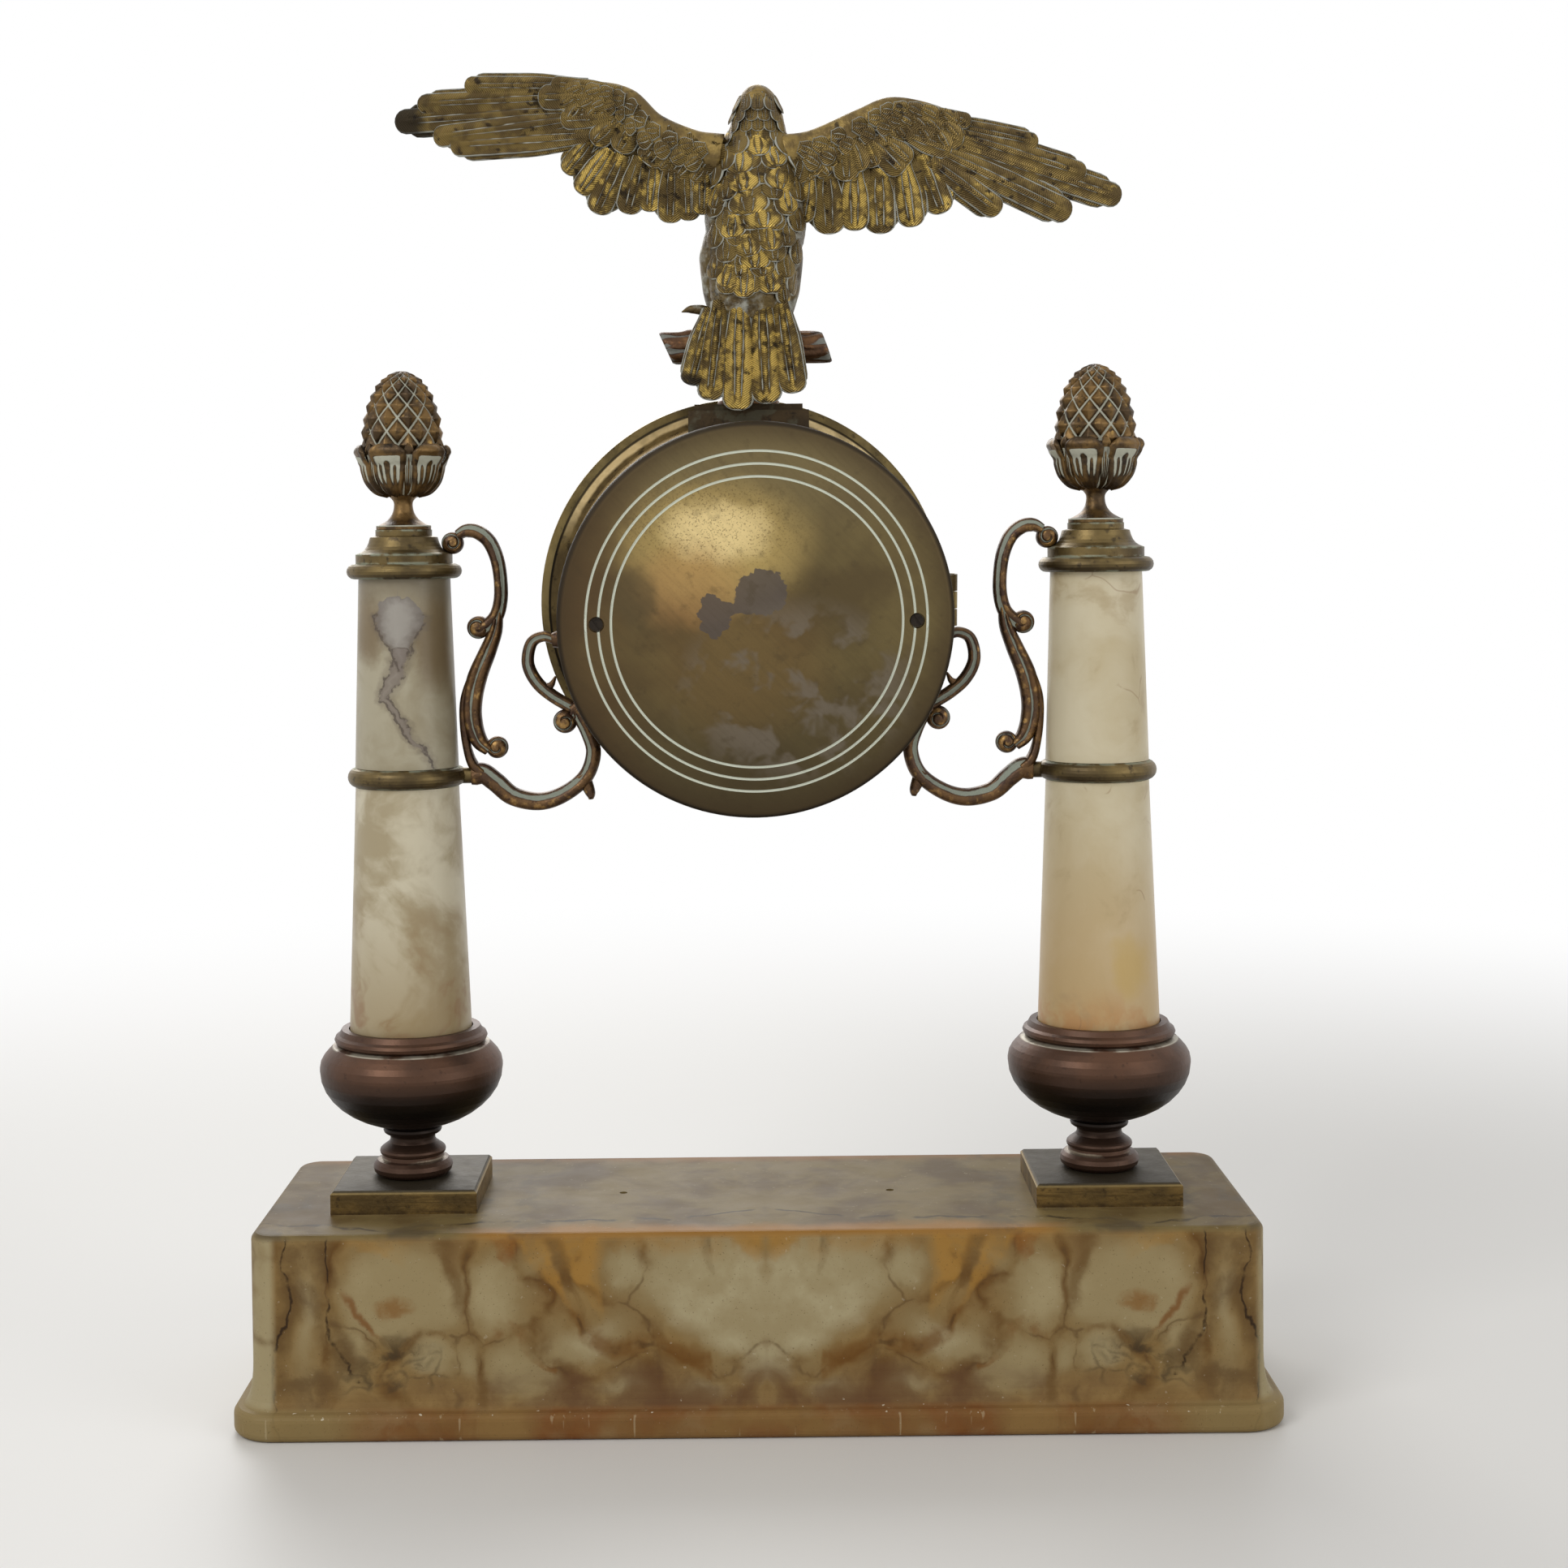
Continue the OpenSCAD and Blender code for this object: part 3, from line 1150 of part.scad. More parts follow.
module plate_blank(z) {
    difference() {
        translate([0, 0, z]) cylinder(r = frame_r, h = frame_t, $fn = 120);
        for (p = train_pivots) translate([p[0], p[1], z - 1])
            cylinder(r = pivot_r + pivot_clear, h = frame_t + 2, $fn = 24);
        for (a = pillar_angles) rotate([0, 0, a]) translate([pillar_pos_r, 0, z - 1])
            cylinder(r = screw_r + fit_clear, h = frame_t + 2, $fn = 24);
    }
}

module front_plate() {
    color("goldenrod") drum_frame() {
        difference() {
            plate_blank(frame_front);
            translate([0, 0, frame_front - 1])
                cylinder(r = centre_r + pivot_clear, h = frame_t + 2, $fn = 32);
            translate([barrel_p[0], barrel_p[1], frame_front - 1])
                cylinder(r = barrel_pivot_r + pivot_clear, h = frame_t + 2, $fn = 32);
        }
        translate([minute_p[0], minute_p[1], plate_front_z - 0.5])
            cylinder(r = post_r, h = hour_wheel_z - plate_front_z + 3.2, $fn = 24);
        translate([click_p[0], click_p[1], plate_front_z - 0.5])
            cylinder(r = post_r, h = ratchet_t + 1.4, $fn = 24);
    }
}

module back_plate() {
    color("goldenrod") drum_frame() difference() {
        plate_blank(plate_back_z);
        translate([0, 0, plate_back_z - 1]) cylinder(r = pivot_r + pivot_clear, h = frame_t + 2, $fn = 24);
        translate([balance_p[0], balance_p[1], plate_back_z - 1])
            cylinder(r = pivot_r + pivot_clear, h = frame_t + 2, $fn = 24);
        translate([barrel_p[0], barrel_p[1], plate_back_z - 1])
            cylinder(r = barrel_pivot_r + pivot_clear, h = frame_t + 2, $fn = 32);
    }
}

module pillars() {
    waist_r = pillar_r - 0.7;
    thread_l = 5;
    color("goldenrod") at_pillars(-frame_back) difference() {
        rotate_extrude($fn = 32) polygon([
            [0, 0], [pillar_r, 0], [pillar_r, 2], [waist_r, 3], [waist_r, frame_gap - 3],
            [pillar_r, frame_gap - 2], [pillar_r, frame_gap], [0, frame_gap]]);
        for (z = [-1, frame_gap - thread_l]) translate([0, 0, z])
            cylinder(r = screw_r + thread_clear, h = thread_l + 1, $fn = 24);
    }
}

module pillar_screws() {
    head_h = 1.6;
    color("dimgray") at_pillars(plate_back_z) {
        translate([0, 0, -head_h]) difference() {
            cylinder(r = 2.5, h = head_h, $fn = 32);
            translate([0, 0, 0.2]) cube([6, 0.6, 1], center = true);
        }
        translate([0, 0, -0.5]) cylinder(r = screw_r, h = frame_t + 4.5, $fn = 24);
    }
}

module movement_feet() {
    foot_h = web_z - plate_front_z;
    thread_l = frame_t + 4;
    color("goldenrod") at_pillars(plate_front_z) {
        cylinder(r = 2.4, h = foot_h, $fn = 32);
        translate([0, 0, -thread_l]) cylinder(r = screw_r, h = thread_l + foot_h + seat_t - 0.1, $fn = 24);
    }
}

module barrel() {
    lid_z = barrel_body_z + barrel_h;
    hole = barrel_arbor_r + pivot_clear;
    wall = barrel_wall;
    color("gold") at_arbor(barrel_p) {
        difference() {
            translate([0, 0, great_wheel_z]) pinion(barrel_teeth, barrel_module, great_wheel_t, 0);
            translate([0, 0, great_wheel_z - 1]) cylinder(r = hole, h = great_wheel_t + 2, $fn = 32);
        }
        rotate_extrude($fn = 80) polygon([
            [barrel_r - wall, barrel_body_z - 0.5], [barrel_r, barrel_body_z - 0.5], [barrel_r, lid_z],
            [hole, lid_z], [hole, lid_z - wall], [barrel_r - wall, lid_z - wall]]);
    }
}

// The spring lies in flat coils from the arbor's hook to the barrel's wall
module coil(r0, r1, turns, thick, h) {
    steps = turns * 24;
    function at(i, o) = let(r = r0 + (r1 - r0) * i / steps + o, a = 15 * i) [r * cos(a), r * sin(a)];
    linear_extrude(h) polygon(concat(
        [for (i = [0:steps]) at(i, thick / 2)], [for (i = [steps:-1:0]) at(i, -thick / 2)]));
}

module mainspring() {
    room = barrel_h - barrel_wall;
    color("slategray") at_arbor(barrel_p) translate([0, 0, barrel_body_z + 0.3])
        coil(barrel_arbor_r + 1, barrel_r - barrel_wall - 0.5, 7, 0.6, room - 0.6);
}

module barrel_arbor() {
    low = great_wheel_z - 0.6;
    color("silver") at_arbor(barrel_p) {
        translate([0, 0, plate_back_z])
            cylinder(r = barrel_pivot_r, h = plate_front_z - plate_back_z, $fn = 32);
        translate([0, 0, low]) cylinder(r = barrel_arbor_r, h = frame_front - end_shake - low, $fn = 32);
        translate([-winding_square / 2, -winding_square / 2, plate_front_z - 1])
            cube([winding_square, winding_square, dial_z + dial_t + 0.6 - plate_front_z + 1]);
    }
}

module ratchet_wheel() {
    pitch = 360 / ratchet_teeth;
    root = ratchet_r - 1.3;
    hole = winding_square + 0.1;
    color("silver") at_arbor(barrel_p) translate([0, 0, ratchet_z]) difference() {
        rotate([0, 0, click_nose_a + 0.35 * pitch]) linear_extrude(ratchet_t) polygon([
            for (k = [0:ratchet_teeth - 1]) each [
                polar([0, 0], ratchet_r, pitch * k), polar([0, 0], root, pitch * k - 0.5)]]);
        translate([-hole / 2, -hole / 2, -1]) cube([hole, hole, ratchet_t + 2]);
    }
}

// The click is drawn lifted clear of the teeth, as when a tooth's tip passes under it
click_nose_a = 20;
click_lift = 0.3;
click_nose = polar(barrel_p, ratchet_r + click_lift, click_nose_a);

module click() {
    back = unit(click_p - click_nose);
    side = [-back[1], back[0]];
    color("silver") drum_frame() translate([0, 0, ratchet_z]) difference() {
        union() {
            translate([click_p[0], click_p[1], 0]) cylinder(r = 2.3, h = ratchet_t, $fn = 32);
            linear_extrude(ratchet_t) polygon([click_nose, click_p + side * 1.4, click_p - side * 1.4,
                click_nose - side * 1.2 + back * 0.6]);
        }
        translate([click_p[0], click_p[1], -1])
            cylinder(r = post_r + pivot_clear, h = ratchet_t + 2, $fn = 24);
    }
}

module click_spring() {
    back = unit(click_p - click_nose);
    side = [-back[1], back[0]];
    free_end = click_p - side * 2.9 - back * 3.2;
    fixed_end = free_end - side * 2.2 + back * 13;
    out = unit([-(fixed_end - free_end)[1], (fixed_end - free_end)[0]]) * 0.35;
    color("silver") drum_frame() translate([0, 0, plate_front_z]) {
        translate([fixed_end[0], fixed_end[1], 0]) cylinder(r = 1.8, h = ratchet_t + 0.4, $fn = 24);
        translate([0, 0, 0.4]) linear_extrude(ratchet_t - 0.6)
            polygon([free_end - out, free_end + out, fixed_end + out, fixed_end - out]);
    }
}

// Each wheel's turn at rest follows from the one that drives it
centre_turn = meshed(barrel_a + 180, barrel_teeth, centre_leaves, 0);
third_turn = meshed(third_a, centre_teeth, third_leaves, 0);
fourth_turn = meshed(fourth_a, third_teeth, fourth_leaves, 0);
escape_turn = meshed(escape_a, fourth_teeth, escape_leaves, 0);
minute_turn = meshed(minute_a, cannon_teeth, minute_teeth, 0);
hour_turn = meshed(minute_a + 180, minute_leaves, hour_teeth, 0);

module centre_arbor() {
    low = -frame_back + end_shake;
    color("gold") at_arbor(centre_p) {
        translate([0, 0, plate_back_z]) cylinder(r = pivot_r, h = 5, $fn = 24);
        translate([0, 0, low]) cylinder(r = centre_r, h = minute_hand_z + hand_t + 1.2 - low, $fn = 32);
        translate([0, 0, great_wheel_z - 0.5])
            pinion(centre_leaves, barrel_module, great_wheel_t + 1, centre_turn);
        translate([0, 0, centre_wheel_z]) crossed_wheel(centre_teeth, centre_module, wheel_t, 0, 4);
    }
}

module cannon_pinion() {
    low = motion_z - 0.5;
    color("gold") at_arbor(centre_p) translate([0, 0, low]) difference() {
        union() {
            pinion(cannon_teeth, motion_module, 3, 0);
            cylinder(r = cannon_r, h = minute_hand_z - low, $fn = 32);
        }
        translate([0, 0, -1]) cylinder(r = centre_r + press_clear, h = minute_hand_z - low + 2, $fn = 32);
    }
}

module minute_wheel() {
    color("gold") at_arbor(minute_p) difference() {
        union() {
            translate([0, 0, motion_z]) crossed_wheel(minute_teeth, motion_module, wheel_t, minute_turn, 3.4);
            translate([0, 0, motion_z])
                pinion(minute_leaves, hour_module, hour_wheel_z - motion_z + wheel_t + 0.8, 0);
        }
        translate([0, 0, motion_z - 1]) cylinder(r = post_r + pivot_clear, h = 12, $fn = 24);
    }
}

module hour_wheel() {
    pipe_h = hour_hand_z - hour_wheel_z;
    color("gold") at_arbor(centre_p) translate([0, 0, hour_wheel_z]) difference() {
        union() {
            crossed_wheel(hour_teeth, hour_module, wheel_t, hour_turn, 4.6);
            cylinder(r = hour_pipe_r, h = pipe_h, $fn = 32);
            cylinder(r = hour_seat_r, h = pipe_h + hand_t, $fn = 32);
        }
        translate([0, 0, -1]) cylinder(r = cannon_r + pivot_clear, h = pipe_h + hand_t + 2, $fn = 32);
    }
}

module third_wheel() {
    color("gold") at_arbor(third_p) {
        arbor(arbor_r);
        translate([0, 0, centre_wheel_z - 0.6]) pinion(third_leaves, centre_module, wheel_t + 1, third_turn);
        translate([0, 0, third_wheel_z]) crossed_wheel(third_teeth, third_module, wheel_t, 0, 3);
    }
}

module fourth_wheel() {
    color("gold") at_arbor(fourth_p) {
        arbor(arbor_r);
        translate([0, 0, third_wheel_z - 0.6])
            pinion(fourth_leaves, third_module, wheel_t + 1.2, fourth_turn);
        translate([0, 0, fourth_wheel_z]) crossed_wheel(fourth_teeth, fourth_module, wheel_t, 0, 3);
    }
}

module escape_wheel() {
    pitch = 360 / escape_teeth;
    root = escape_r - 1.9;
    color("gold") at_arbor(escape_p) {
        arbor(arbor_r * 0.8);
        translate([0, 0, fourth_wheel_z - 0.6])
            pinion(escape_leaves, fourth_module, wheel_t + 1.2, escape_turn);
        translate([0, 0, escape_wheel_z]) linear_extrude(wheel_t) polygon([
            for (k = [0:escape_teeth - 1]) let(a = pitch * k) each [
                polar([0, 0], escape_r, a), polar([0, 0], escape_r, a + 4),
                polar([0, 0], root, a + 9), polar([0, 0], root, a + pitch - 5)]]);
    }
}

// The lever's two pallets stand just outside the escape wheel's tips
module lever() {
    pallet_gap = 0.6;
    color("silver") {
        at_arbor(lever_p) arbor(arbor_r * 0.8);
        drum_frame() translate([0, 0, escape_wheel_z]) linear_extrude(wheel_t) {
            translate(lever_p) circle(r = 1.7, $fn = 32);
            for (s = [-1, 1]) {
                tip = polar(escape_p, escape_r + pallet_gap, lever_a + 30 * s);
                heel = polar(escape_p, escape_r + pallet_gap + 1.6, lever_a + 34 * s);
                polygon([tip, polar(escape_p, escape_r + pallet_gap + 0.3, lever_a + 38 * s), heel,
                    lever_p + [1.2 * cos(lever_a + 90 * s), 1.2 * sin(lever_a + 90 * s)], lever_p]);
            }
            polygon([
                polar(lever_p, 1, balance_a + 90), polar(lever_p, 1, balance_a - 90),
                polar(lever_p, 6.5, balance_a - 6), polar(lever_p, 8, balance_a - 10),
                polar(lever_p, 7, balance_a),
                polar(lever_p, 8, balance_a + 10), polar(lever_p, 6.5, balance_a + 6)]);
        }
    }
}

cock_z = frame_front - 2.8;
cock_t = 2.2;
stud_pin_r = 6.6;

module balance() {
    rim = 1.4;
    staff_r = 0.9;
    color("gold") at_arbor(balance_p) {
        translate([0, 0, -frame_back + end_shake])
            cylinder(r = staff_r, h = cock_z + frame_back - 2 * end_shake, $fn = 24);
        translate([0, 0, plate_back_z]) cylinder(r = pivot_r, h = cock_z + cock_t - plate_back_z, $fn = 24);
        translate([0, 0, balance_z]) difference() {
            cylinder(r = balance_r, h = 1.6, $fn = 64);
            translate([0, 0, -1]) cylinder(r = balance_r - rim, h = 4, $fn = 64);
        }
        translate([-balance_r + 0.5, -0.8, balance_z + 0.2]) cube([2 * balance_r - 1, 1.6, 1]);
        translate([0, 0, balance_z - 0.4]) cylinder(r = 2, h = 2.4, $fn = 32);
    }
}

module hairspring() {
    color("slategray") at_arbor(balance_p) translate([0, 0, cock_z - 2.2])
        rotate([0, 0, balance_a + 90]) coil(1.5, stud_pin_r - 0.75, 5, 0.3, 0.8);
}

module balance_cock() {
    reach = balance_r + 3.5;
    color("gold") at_arbor(balance_p) rotate([0, 0, balance_a]) difference() {
        union() {
            translate([reach, 0, -frame_back]) cylinder(r = 2.1, h = cock_z + cock_t + frame_back, $fn = 32);
            translate([0, -1.8, cock_z]) cube([reach, 3.6, cock_t]);
            translate([0, 0, cock_z]) cylinder(r = 2.6, h = cock_t, $fn = 32);
            rotate([0, 0, 90]) translate([0, -0.8, cock_z]) cube([stud_pin_r + 0.8, 1.6, cock_t]);
            rotate([0, 0, 90]) translate([stud_pin_r, 0, cock_z - 2.4]) cylinder(r = 0.6, h = 3, $fn = 16);
        }
        translate([0, 0, cock_z - 1]) cylinder(r = pivot_r + pivot_clear, h = cock_t + 2, $fn = 24);
    }
}

base_block();
column_plate(-1);  // column_plate_left
column_plate(1);  // column_plate_right
urn(-1);  // urn_left
urn(1);  // urn_right
column_lower(-1);  // column_lower_left
column_lower(1);  // column_lower_right
column_ring(-1);  // column_ring_left
column_ring(1);  // column_ring_right
column_upper(-1);  // column_upper_left
column_upper(1);  // column_upper_right
column_cap(-1);  // column_cap_left
column_cap(1);  // column_cap_right
finial(-1);  // finial_left
finial(1);  // finial_right
tie_rod(-1);  // tie_rod_left
tie_rod(1);  // tie_rod_right
tie_rod_nuts();
scroll_bracket(-1);  // scroll_bracket_left
scroll_bracket(1);  // scroll_bracket_right
bracket_screws();
drum_case();
bezel_seat();
bezel();
bezel_glass();
hinge_pin();
dial();
hour_hand();
minute_hand();
back_cover();
cover_screws();
case_straps();
eagle_saddle();
perch();
eagle_stud();
eagle_body();
eagle_wing_left();
eagle_wing_right();
front_plate();
back_plate();
pillars();
pillar_screws();
movement_feet();
barrel();
mainspring();
barrel_arbor();
ratchet_wheel();
click();
click_spring();
centre_arbor();
cannon_pinion();
minute_wheel();
hour_wheel();
third_wheel();
fourth_wheel();
escape_wheel();
lever();
balance();
hairspring();
balance_cock();
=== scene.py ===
import math
import bmesh
import bpy
import numpy as np
from mathutils import Matrix, Vector


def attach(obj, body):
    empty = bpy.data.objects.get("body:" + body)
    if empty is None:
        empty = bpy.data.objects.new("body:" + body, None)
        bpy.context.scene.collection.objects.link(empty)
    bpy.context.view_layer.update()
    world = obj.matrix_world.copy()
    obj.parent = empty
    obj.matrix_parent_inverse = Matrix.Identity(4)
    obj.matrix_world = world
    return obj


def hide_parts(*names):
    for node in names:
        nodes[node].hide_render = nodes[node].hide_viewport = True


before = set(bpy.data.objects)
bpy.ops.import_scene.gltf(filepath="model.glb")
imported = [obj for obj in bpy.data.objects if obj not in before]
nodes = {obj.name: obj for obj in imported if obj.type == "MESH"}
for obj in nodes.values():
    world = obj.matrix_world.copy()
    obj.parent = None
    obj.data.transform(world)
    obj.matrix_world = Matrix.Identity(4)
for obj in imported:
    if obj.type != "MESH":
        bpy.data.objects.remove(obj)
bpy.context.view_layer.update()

# The studio: the clock stands on a plain pale floor in soft light from the upper left of the picture.
# The camera looks at the clock's back, a little above the drum's middle, as in the picture.

EYE = (0.0, 0.797, 0.2758)
EYE_DOWN = 1.9
EYE_ROLL = -0.6
scene = bpy.context.scene
scene.view_settings.view_transform = "Standard"
lens = bpy.data.cameras.new("camera")
lens.lens = 55.83
lens.sensor_width = 36
lens.shift_x = 0.0212
lens.shift_y = -0.0997
camera = bpy.data.objects.new("camera", lens)
camera.matrix_world = (Matrix.Translation(EYE) @ Matrix.Rotation(math.pi, 4, "Z")
                       @ Matrix.Rotation(math.radians(90 - EYE_DOWN), 4, "X")
                       @ Matrix.Rotation(math.radians(EYE_ROLL), 4, "Z"))
scene.collection.objects.link(camera)
scene.camera = camera


class Tone:
    """One output of a material's nodes, written like a number: each operator adds a Math node."""

    def __init__(self, tree, socket=None):
        self.tree = tree
        self.socket = socket

    def add(self, kind, settings=None, inputs=None, out=0):
        """Add a node of any type: its settings first, then the values or links of its inputs."""
        node = self.tree.nodes.new("ShaderNode" + kind)
        for name, value in (settings or {}).items():
            if name == "stops":
                while len(node.color_ramp.elements) < len(value):
                    node.color_ramp.elements.new(0.5)
                for stop, (place, colour) in zip(node.color_ramp.elements, value):
                    stop.position = place
                    stop.color = colour
            else:
                setattr(node, name, value)
        for name, value in (inputs or {}).items():
            self.put(value, node.inputs[name])
        return Tone(self.tree, node.outputs[out])

    def put(self, value, socket):
        """Link a tone to a socket, or write a plain value on it."""
        if isinstance(value, Tone):
            self.tree.links.new(value.socket, socket)
        else:
            socket.default_value = value

    def maths(self, operation, a, b=0.0):
        """One Math node on two values."""
        return self.add("Math", {"operation": operation}, {0: a, 1: b})

    def __add__(self, other):
        return self.maths("ADD", self, other)

    def __radd__(self, other):
        return self.maths("ADD", other, self)

    def __sub__(self, other):
        return self.maths("SUBTRACT", self, other)

    def __rsub__(self, other):
        return self.maths("SUBTRACT", other, self)

    def __mul__(self, other):
        return self.maths("MULTIPLY", self, other)

    def __rmul__(self, other):
        return self.maths("MULTIPLY", other, self)

    def __truediv__(self, other):
        return self.maths("DIVIDE", self, other)

    def __abs__(self):
        return self.maths("ABSOLUTE", self)


def eye_rays(t):
    """1 for the rays that the eye follows: straight from the camera, mirrored, or through glass."""
    seen = t.maths("MAXIMUM", t.add("LightPath", out="Is Camera Ray"),
                   t.add("LightPath", out="Is Glossy Ray"))
    return t.maths("MAXIMUM", seen, t.add("LightPath", out="Is Transmission Ray"))


sky = bpy.data.worlds.new("studio")
sky.use_nodes = True
scene.world = sky
air = Tone(sky.node_tree)
sky_light = 0.42
backdrop = sky.node_tree.nodes["Background"]
backdrop.inputs["Color"].default_value = (1, 1, 1, 1)
air.put(sky_light + (1 - sky_light) * eye_rays(air), backdrop.inputs["Strength"])


def tint(red, green, blue):
    """A colour as a screen shows it, each part 0 to 255, turned into the share of light that it returns."""
    part = np.array([red, green, blue]) / 255
    light = np.where(part < 0.04045, part / 12.92, ((part + 0.055) / 1.055) ** 2.4)
    return (*light.tolist(), 1.0)


def veil(t, value, low, high):
    """0 where value is below low, 1 where it is above high, and smooth between."""
    return t.add("MapRange", {"interpolation_type": "SMOOTHSTEP"},
                 {"Value": value, "From Min": low, "From Max": high})


def blend(t, share, under, over):
    """A colour between two: under where share is 0, over where it is 1."""
    return t.add("Mix", {"data_type": "RGBA"}, {0: share, 6: under, 7: over}, out=2)


# Near the clock the floor keeps its shadow. Further out it is white to the eye, so that no line shows where
# it ends.
floor_mesh = bpy.data.meshes.new("floor")
floor_mesh.from_pydata([(-6, -6, 0), (6, -6, 0), (6, 6, 0), (-6, 6, 0)], [], [(0, 1, 2, 3)])
floor = bpy.data.objects.new("floor", floor_mesh)
scene.collection.objects.link(floor)
floor_paint = bpy.data.materials.new("pale_floor")
floor_paint.use_nodes = True
floor_nodes = floor_paint.node_tree.nodes
floor_shader = floor_nodes["Principled BSDF"]
floor_shader.inputs["Base Color"].default_value = tint(226, 224, 220)
floor_shader.inputs["Roughness"].default_value = 0.5
t = Tone(floor_paint.node_tree)
from_clock = t.add("VectorMath", {"operation": "LENGTH"}, {0: t.add("TexCoord", out="Object")}, out="Value")
far_white = t.add("Emission", None, {"Color": (1, 1, 1, 1), "Strength": 1.0})
near_far = t.add("MixShader", None, {0: veil(t, from_clock, 0.35, 1.1) * eye_rays(t),
                                     1: Tone(floor_paint.node_tree, floor_shader.outputs[0]), 2: far_white})
t.put(near_far, floor_nodes["Material Output"].inputs["Surface"])
floor_mesh.materials.append(floor_paint)


def lamp(name, place, aim, size, power):
    """A square soft box at place that faces aim, both in metres."""
    light = bpy.data.lights.new(name, "AREA")
    light.size = size
    light.energy = power
    box = bpy.data.objects.new(name, light)
    turn = (Vector(aim) - Vector(place)).to_track_quat("-Z", "Y")
    box.matrix_world = Matrix.Translation(place) @ turn.to_matrix().to_4x4()
    scene.collection.objects.link(box)


lamp("soft_box_left", (0.8, 0.95, 1.1), (0, 0, 0.22), 0.7, 9)
lamp("soft_box_right", (-1.1, 0.7, 0.6), (0, 0, 0.2), 0.9, 4)
lamp("soft_box_dial", (0.3, -1.2, 0.9), (0, 0, 0.22), 0.9, 8)

# Base: one block of polished alabaster with a hollow moulding above its plinth band, standing on the table.
# Its pattern is matched about the middle: brown-edged pale lobes, orange clouds, dark veins by the ends.


def finish(name, metallic=0.0, gloss=0.5):
    """A new material with metallic and gloss set, its shader, and the tone to write the rest with."""
    paint = bpy.data.materials.new(name)
    paint.use_nodes = True
    shader = paint.node_tree.nodes["Principled BSDF"]
    shader.inputs["Metallic"].default_value = metallic
    shader.inputs["Specular IOR Level"].default_value = gloss
    return paint, shader, Tone(paint.node_tree)


def dress(paint, *names):
    """Give the named pieces of the part this material in all their slots."""
    for name in names:
        mesh = nodes[name].data
        if not mesh.materials:
            mesh.materials.append(paint)
        for k in range(len(mesh.materials)):
            mesh.materials[k] = paint


def in_mm(t):
    """A point's place in the clock's own frame, in millimetres."""
    return t.add("VectorMath", {"operation": "SCALE"}, {0: t.add("TexCoord", out="Object"), "Scale": 1000.0})


def axes(t, place):
    """The three numbers of a place."""
    return [t.add("SeparateXYZ", None, {0: place}, out=k) for k in range(3)]


def clouds(t, place, waves, detail=4.0, rough=0.55):
    """Soft noise around 0.5, with waves counted per millimetre."""
    return t.add("TexNoise", None, {"Vector": place, "Scale": waves, "Detail": detail, "Roughness": rough})


def stirred(t, place, waves, reach):
    """The place pushed about by noise, by up to half of reach or so, so that patterns run in swirls."""
    push = t.add("TexNoise", None, {"Vector": place, "Scale": waves, "Detail": 3.0}, out="Color")
    push = t.add("VectorMath", {"operation": "SUBTRACT"}, {0: push, 1: (0.5, 0.5, 0.5)})
    push = t.add("VectorMath", {"operation": "SCALE"}, {0: push, "Scale": reach})
    return t.add("VectorMath", {"operation": "ADD"}, {0: place, 1: push})


def cells(t, place, waves):
    """How far a place lies from the edge between the cells of a cracked pattern, in cell widths."""
    return t.add("TexVoronoi", {"feature": "DISTANCE_TO_EDGE"}, {"Vector": place, "Scale": waves})


def oval(t, across, up, centre, reach, soft=0.5):
    """1 inside an oval of this centre and half sizes, 0 outside, with a soft edge."""
    a = (across - centre[0]) / reach[0]
    b = (up - centre[1]) / reach[1]
    return 1 - veil(t, a * a + b * b, 1 - soft, 1 + soft)


def line_at(t, value, low, high, stops):
    """A number that follows value along a bent line of (value, number) stops, from low to high."""
    ends = (stops[0][0], stops[-1][0])
    span = ends[1] - ends[0]
    reach = [((v - ends[0]) / span, ((n - low) / (high - low),) * 3 + (1.0,)) for v, n in stops]
    share = t.add("ValToRGB", {"stops": reach}, {0: (value - ends[0]) / span})
    return low + (high - low) * share


def coat(t, shader, colour, roughness, height, strength):
    """Give a shader its colour, its roughness, and relief of up to a millimetre that follows height."""
    t.put(colour, shader.inputs["Base Color"])
    t.put(roughness, shader.inputs["Roughness"])
    relief = t.add("Bump", None, {"Strength": strength, "Distance": 0.001, "Height": height})
    t.put(relief, shader.inputs["Normal"])


BASE_TOP = 63
MATCH_LINE = -2.6


def lobe(t, across, up, centre, reach, lean=0.0):
    """How deep a place lies inside a leaning oval, in millimetres near its edge; less than 0 outside."""
    c, s = math.cos(math.radians(lean)), math.sin(math.radians(lean))
    a = ((across - centre[0]) * c + (up - centre[1]) * s) / reach[0]
    b = ((up - centre[1]) * c - (across - centre[0]) * s) / reach[1]
    return (1 - t.maths("SQRT", a * a + b * b)) * min(reach)


def wedge(t, across, up, top, foot, deep, wide):
    """A stain run down from the top edge: its middle goes from top to foot, its width shrinks to nothing."""
    along = (BASE_TOP - up) / deep
    off = abs(across - top - (foot - top) * along) / (wide * (1.1 - t.maths("MINIMUM", along, 1.0)))
    return (1 - veil(t, off, 0.35, 1.1)) * (1 - veil(t, along, 0.7, 1.05))


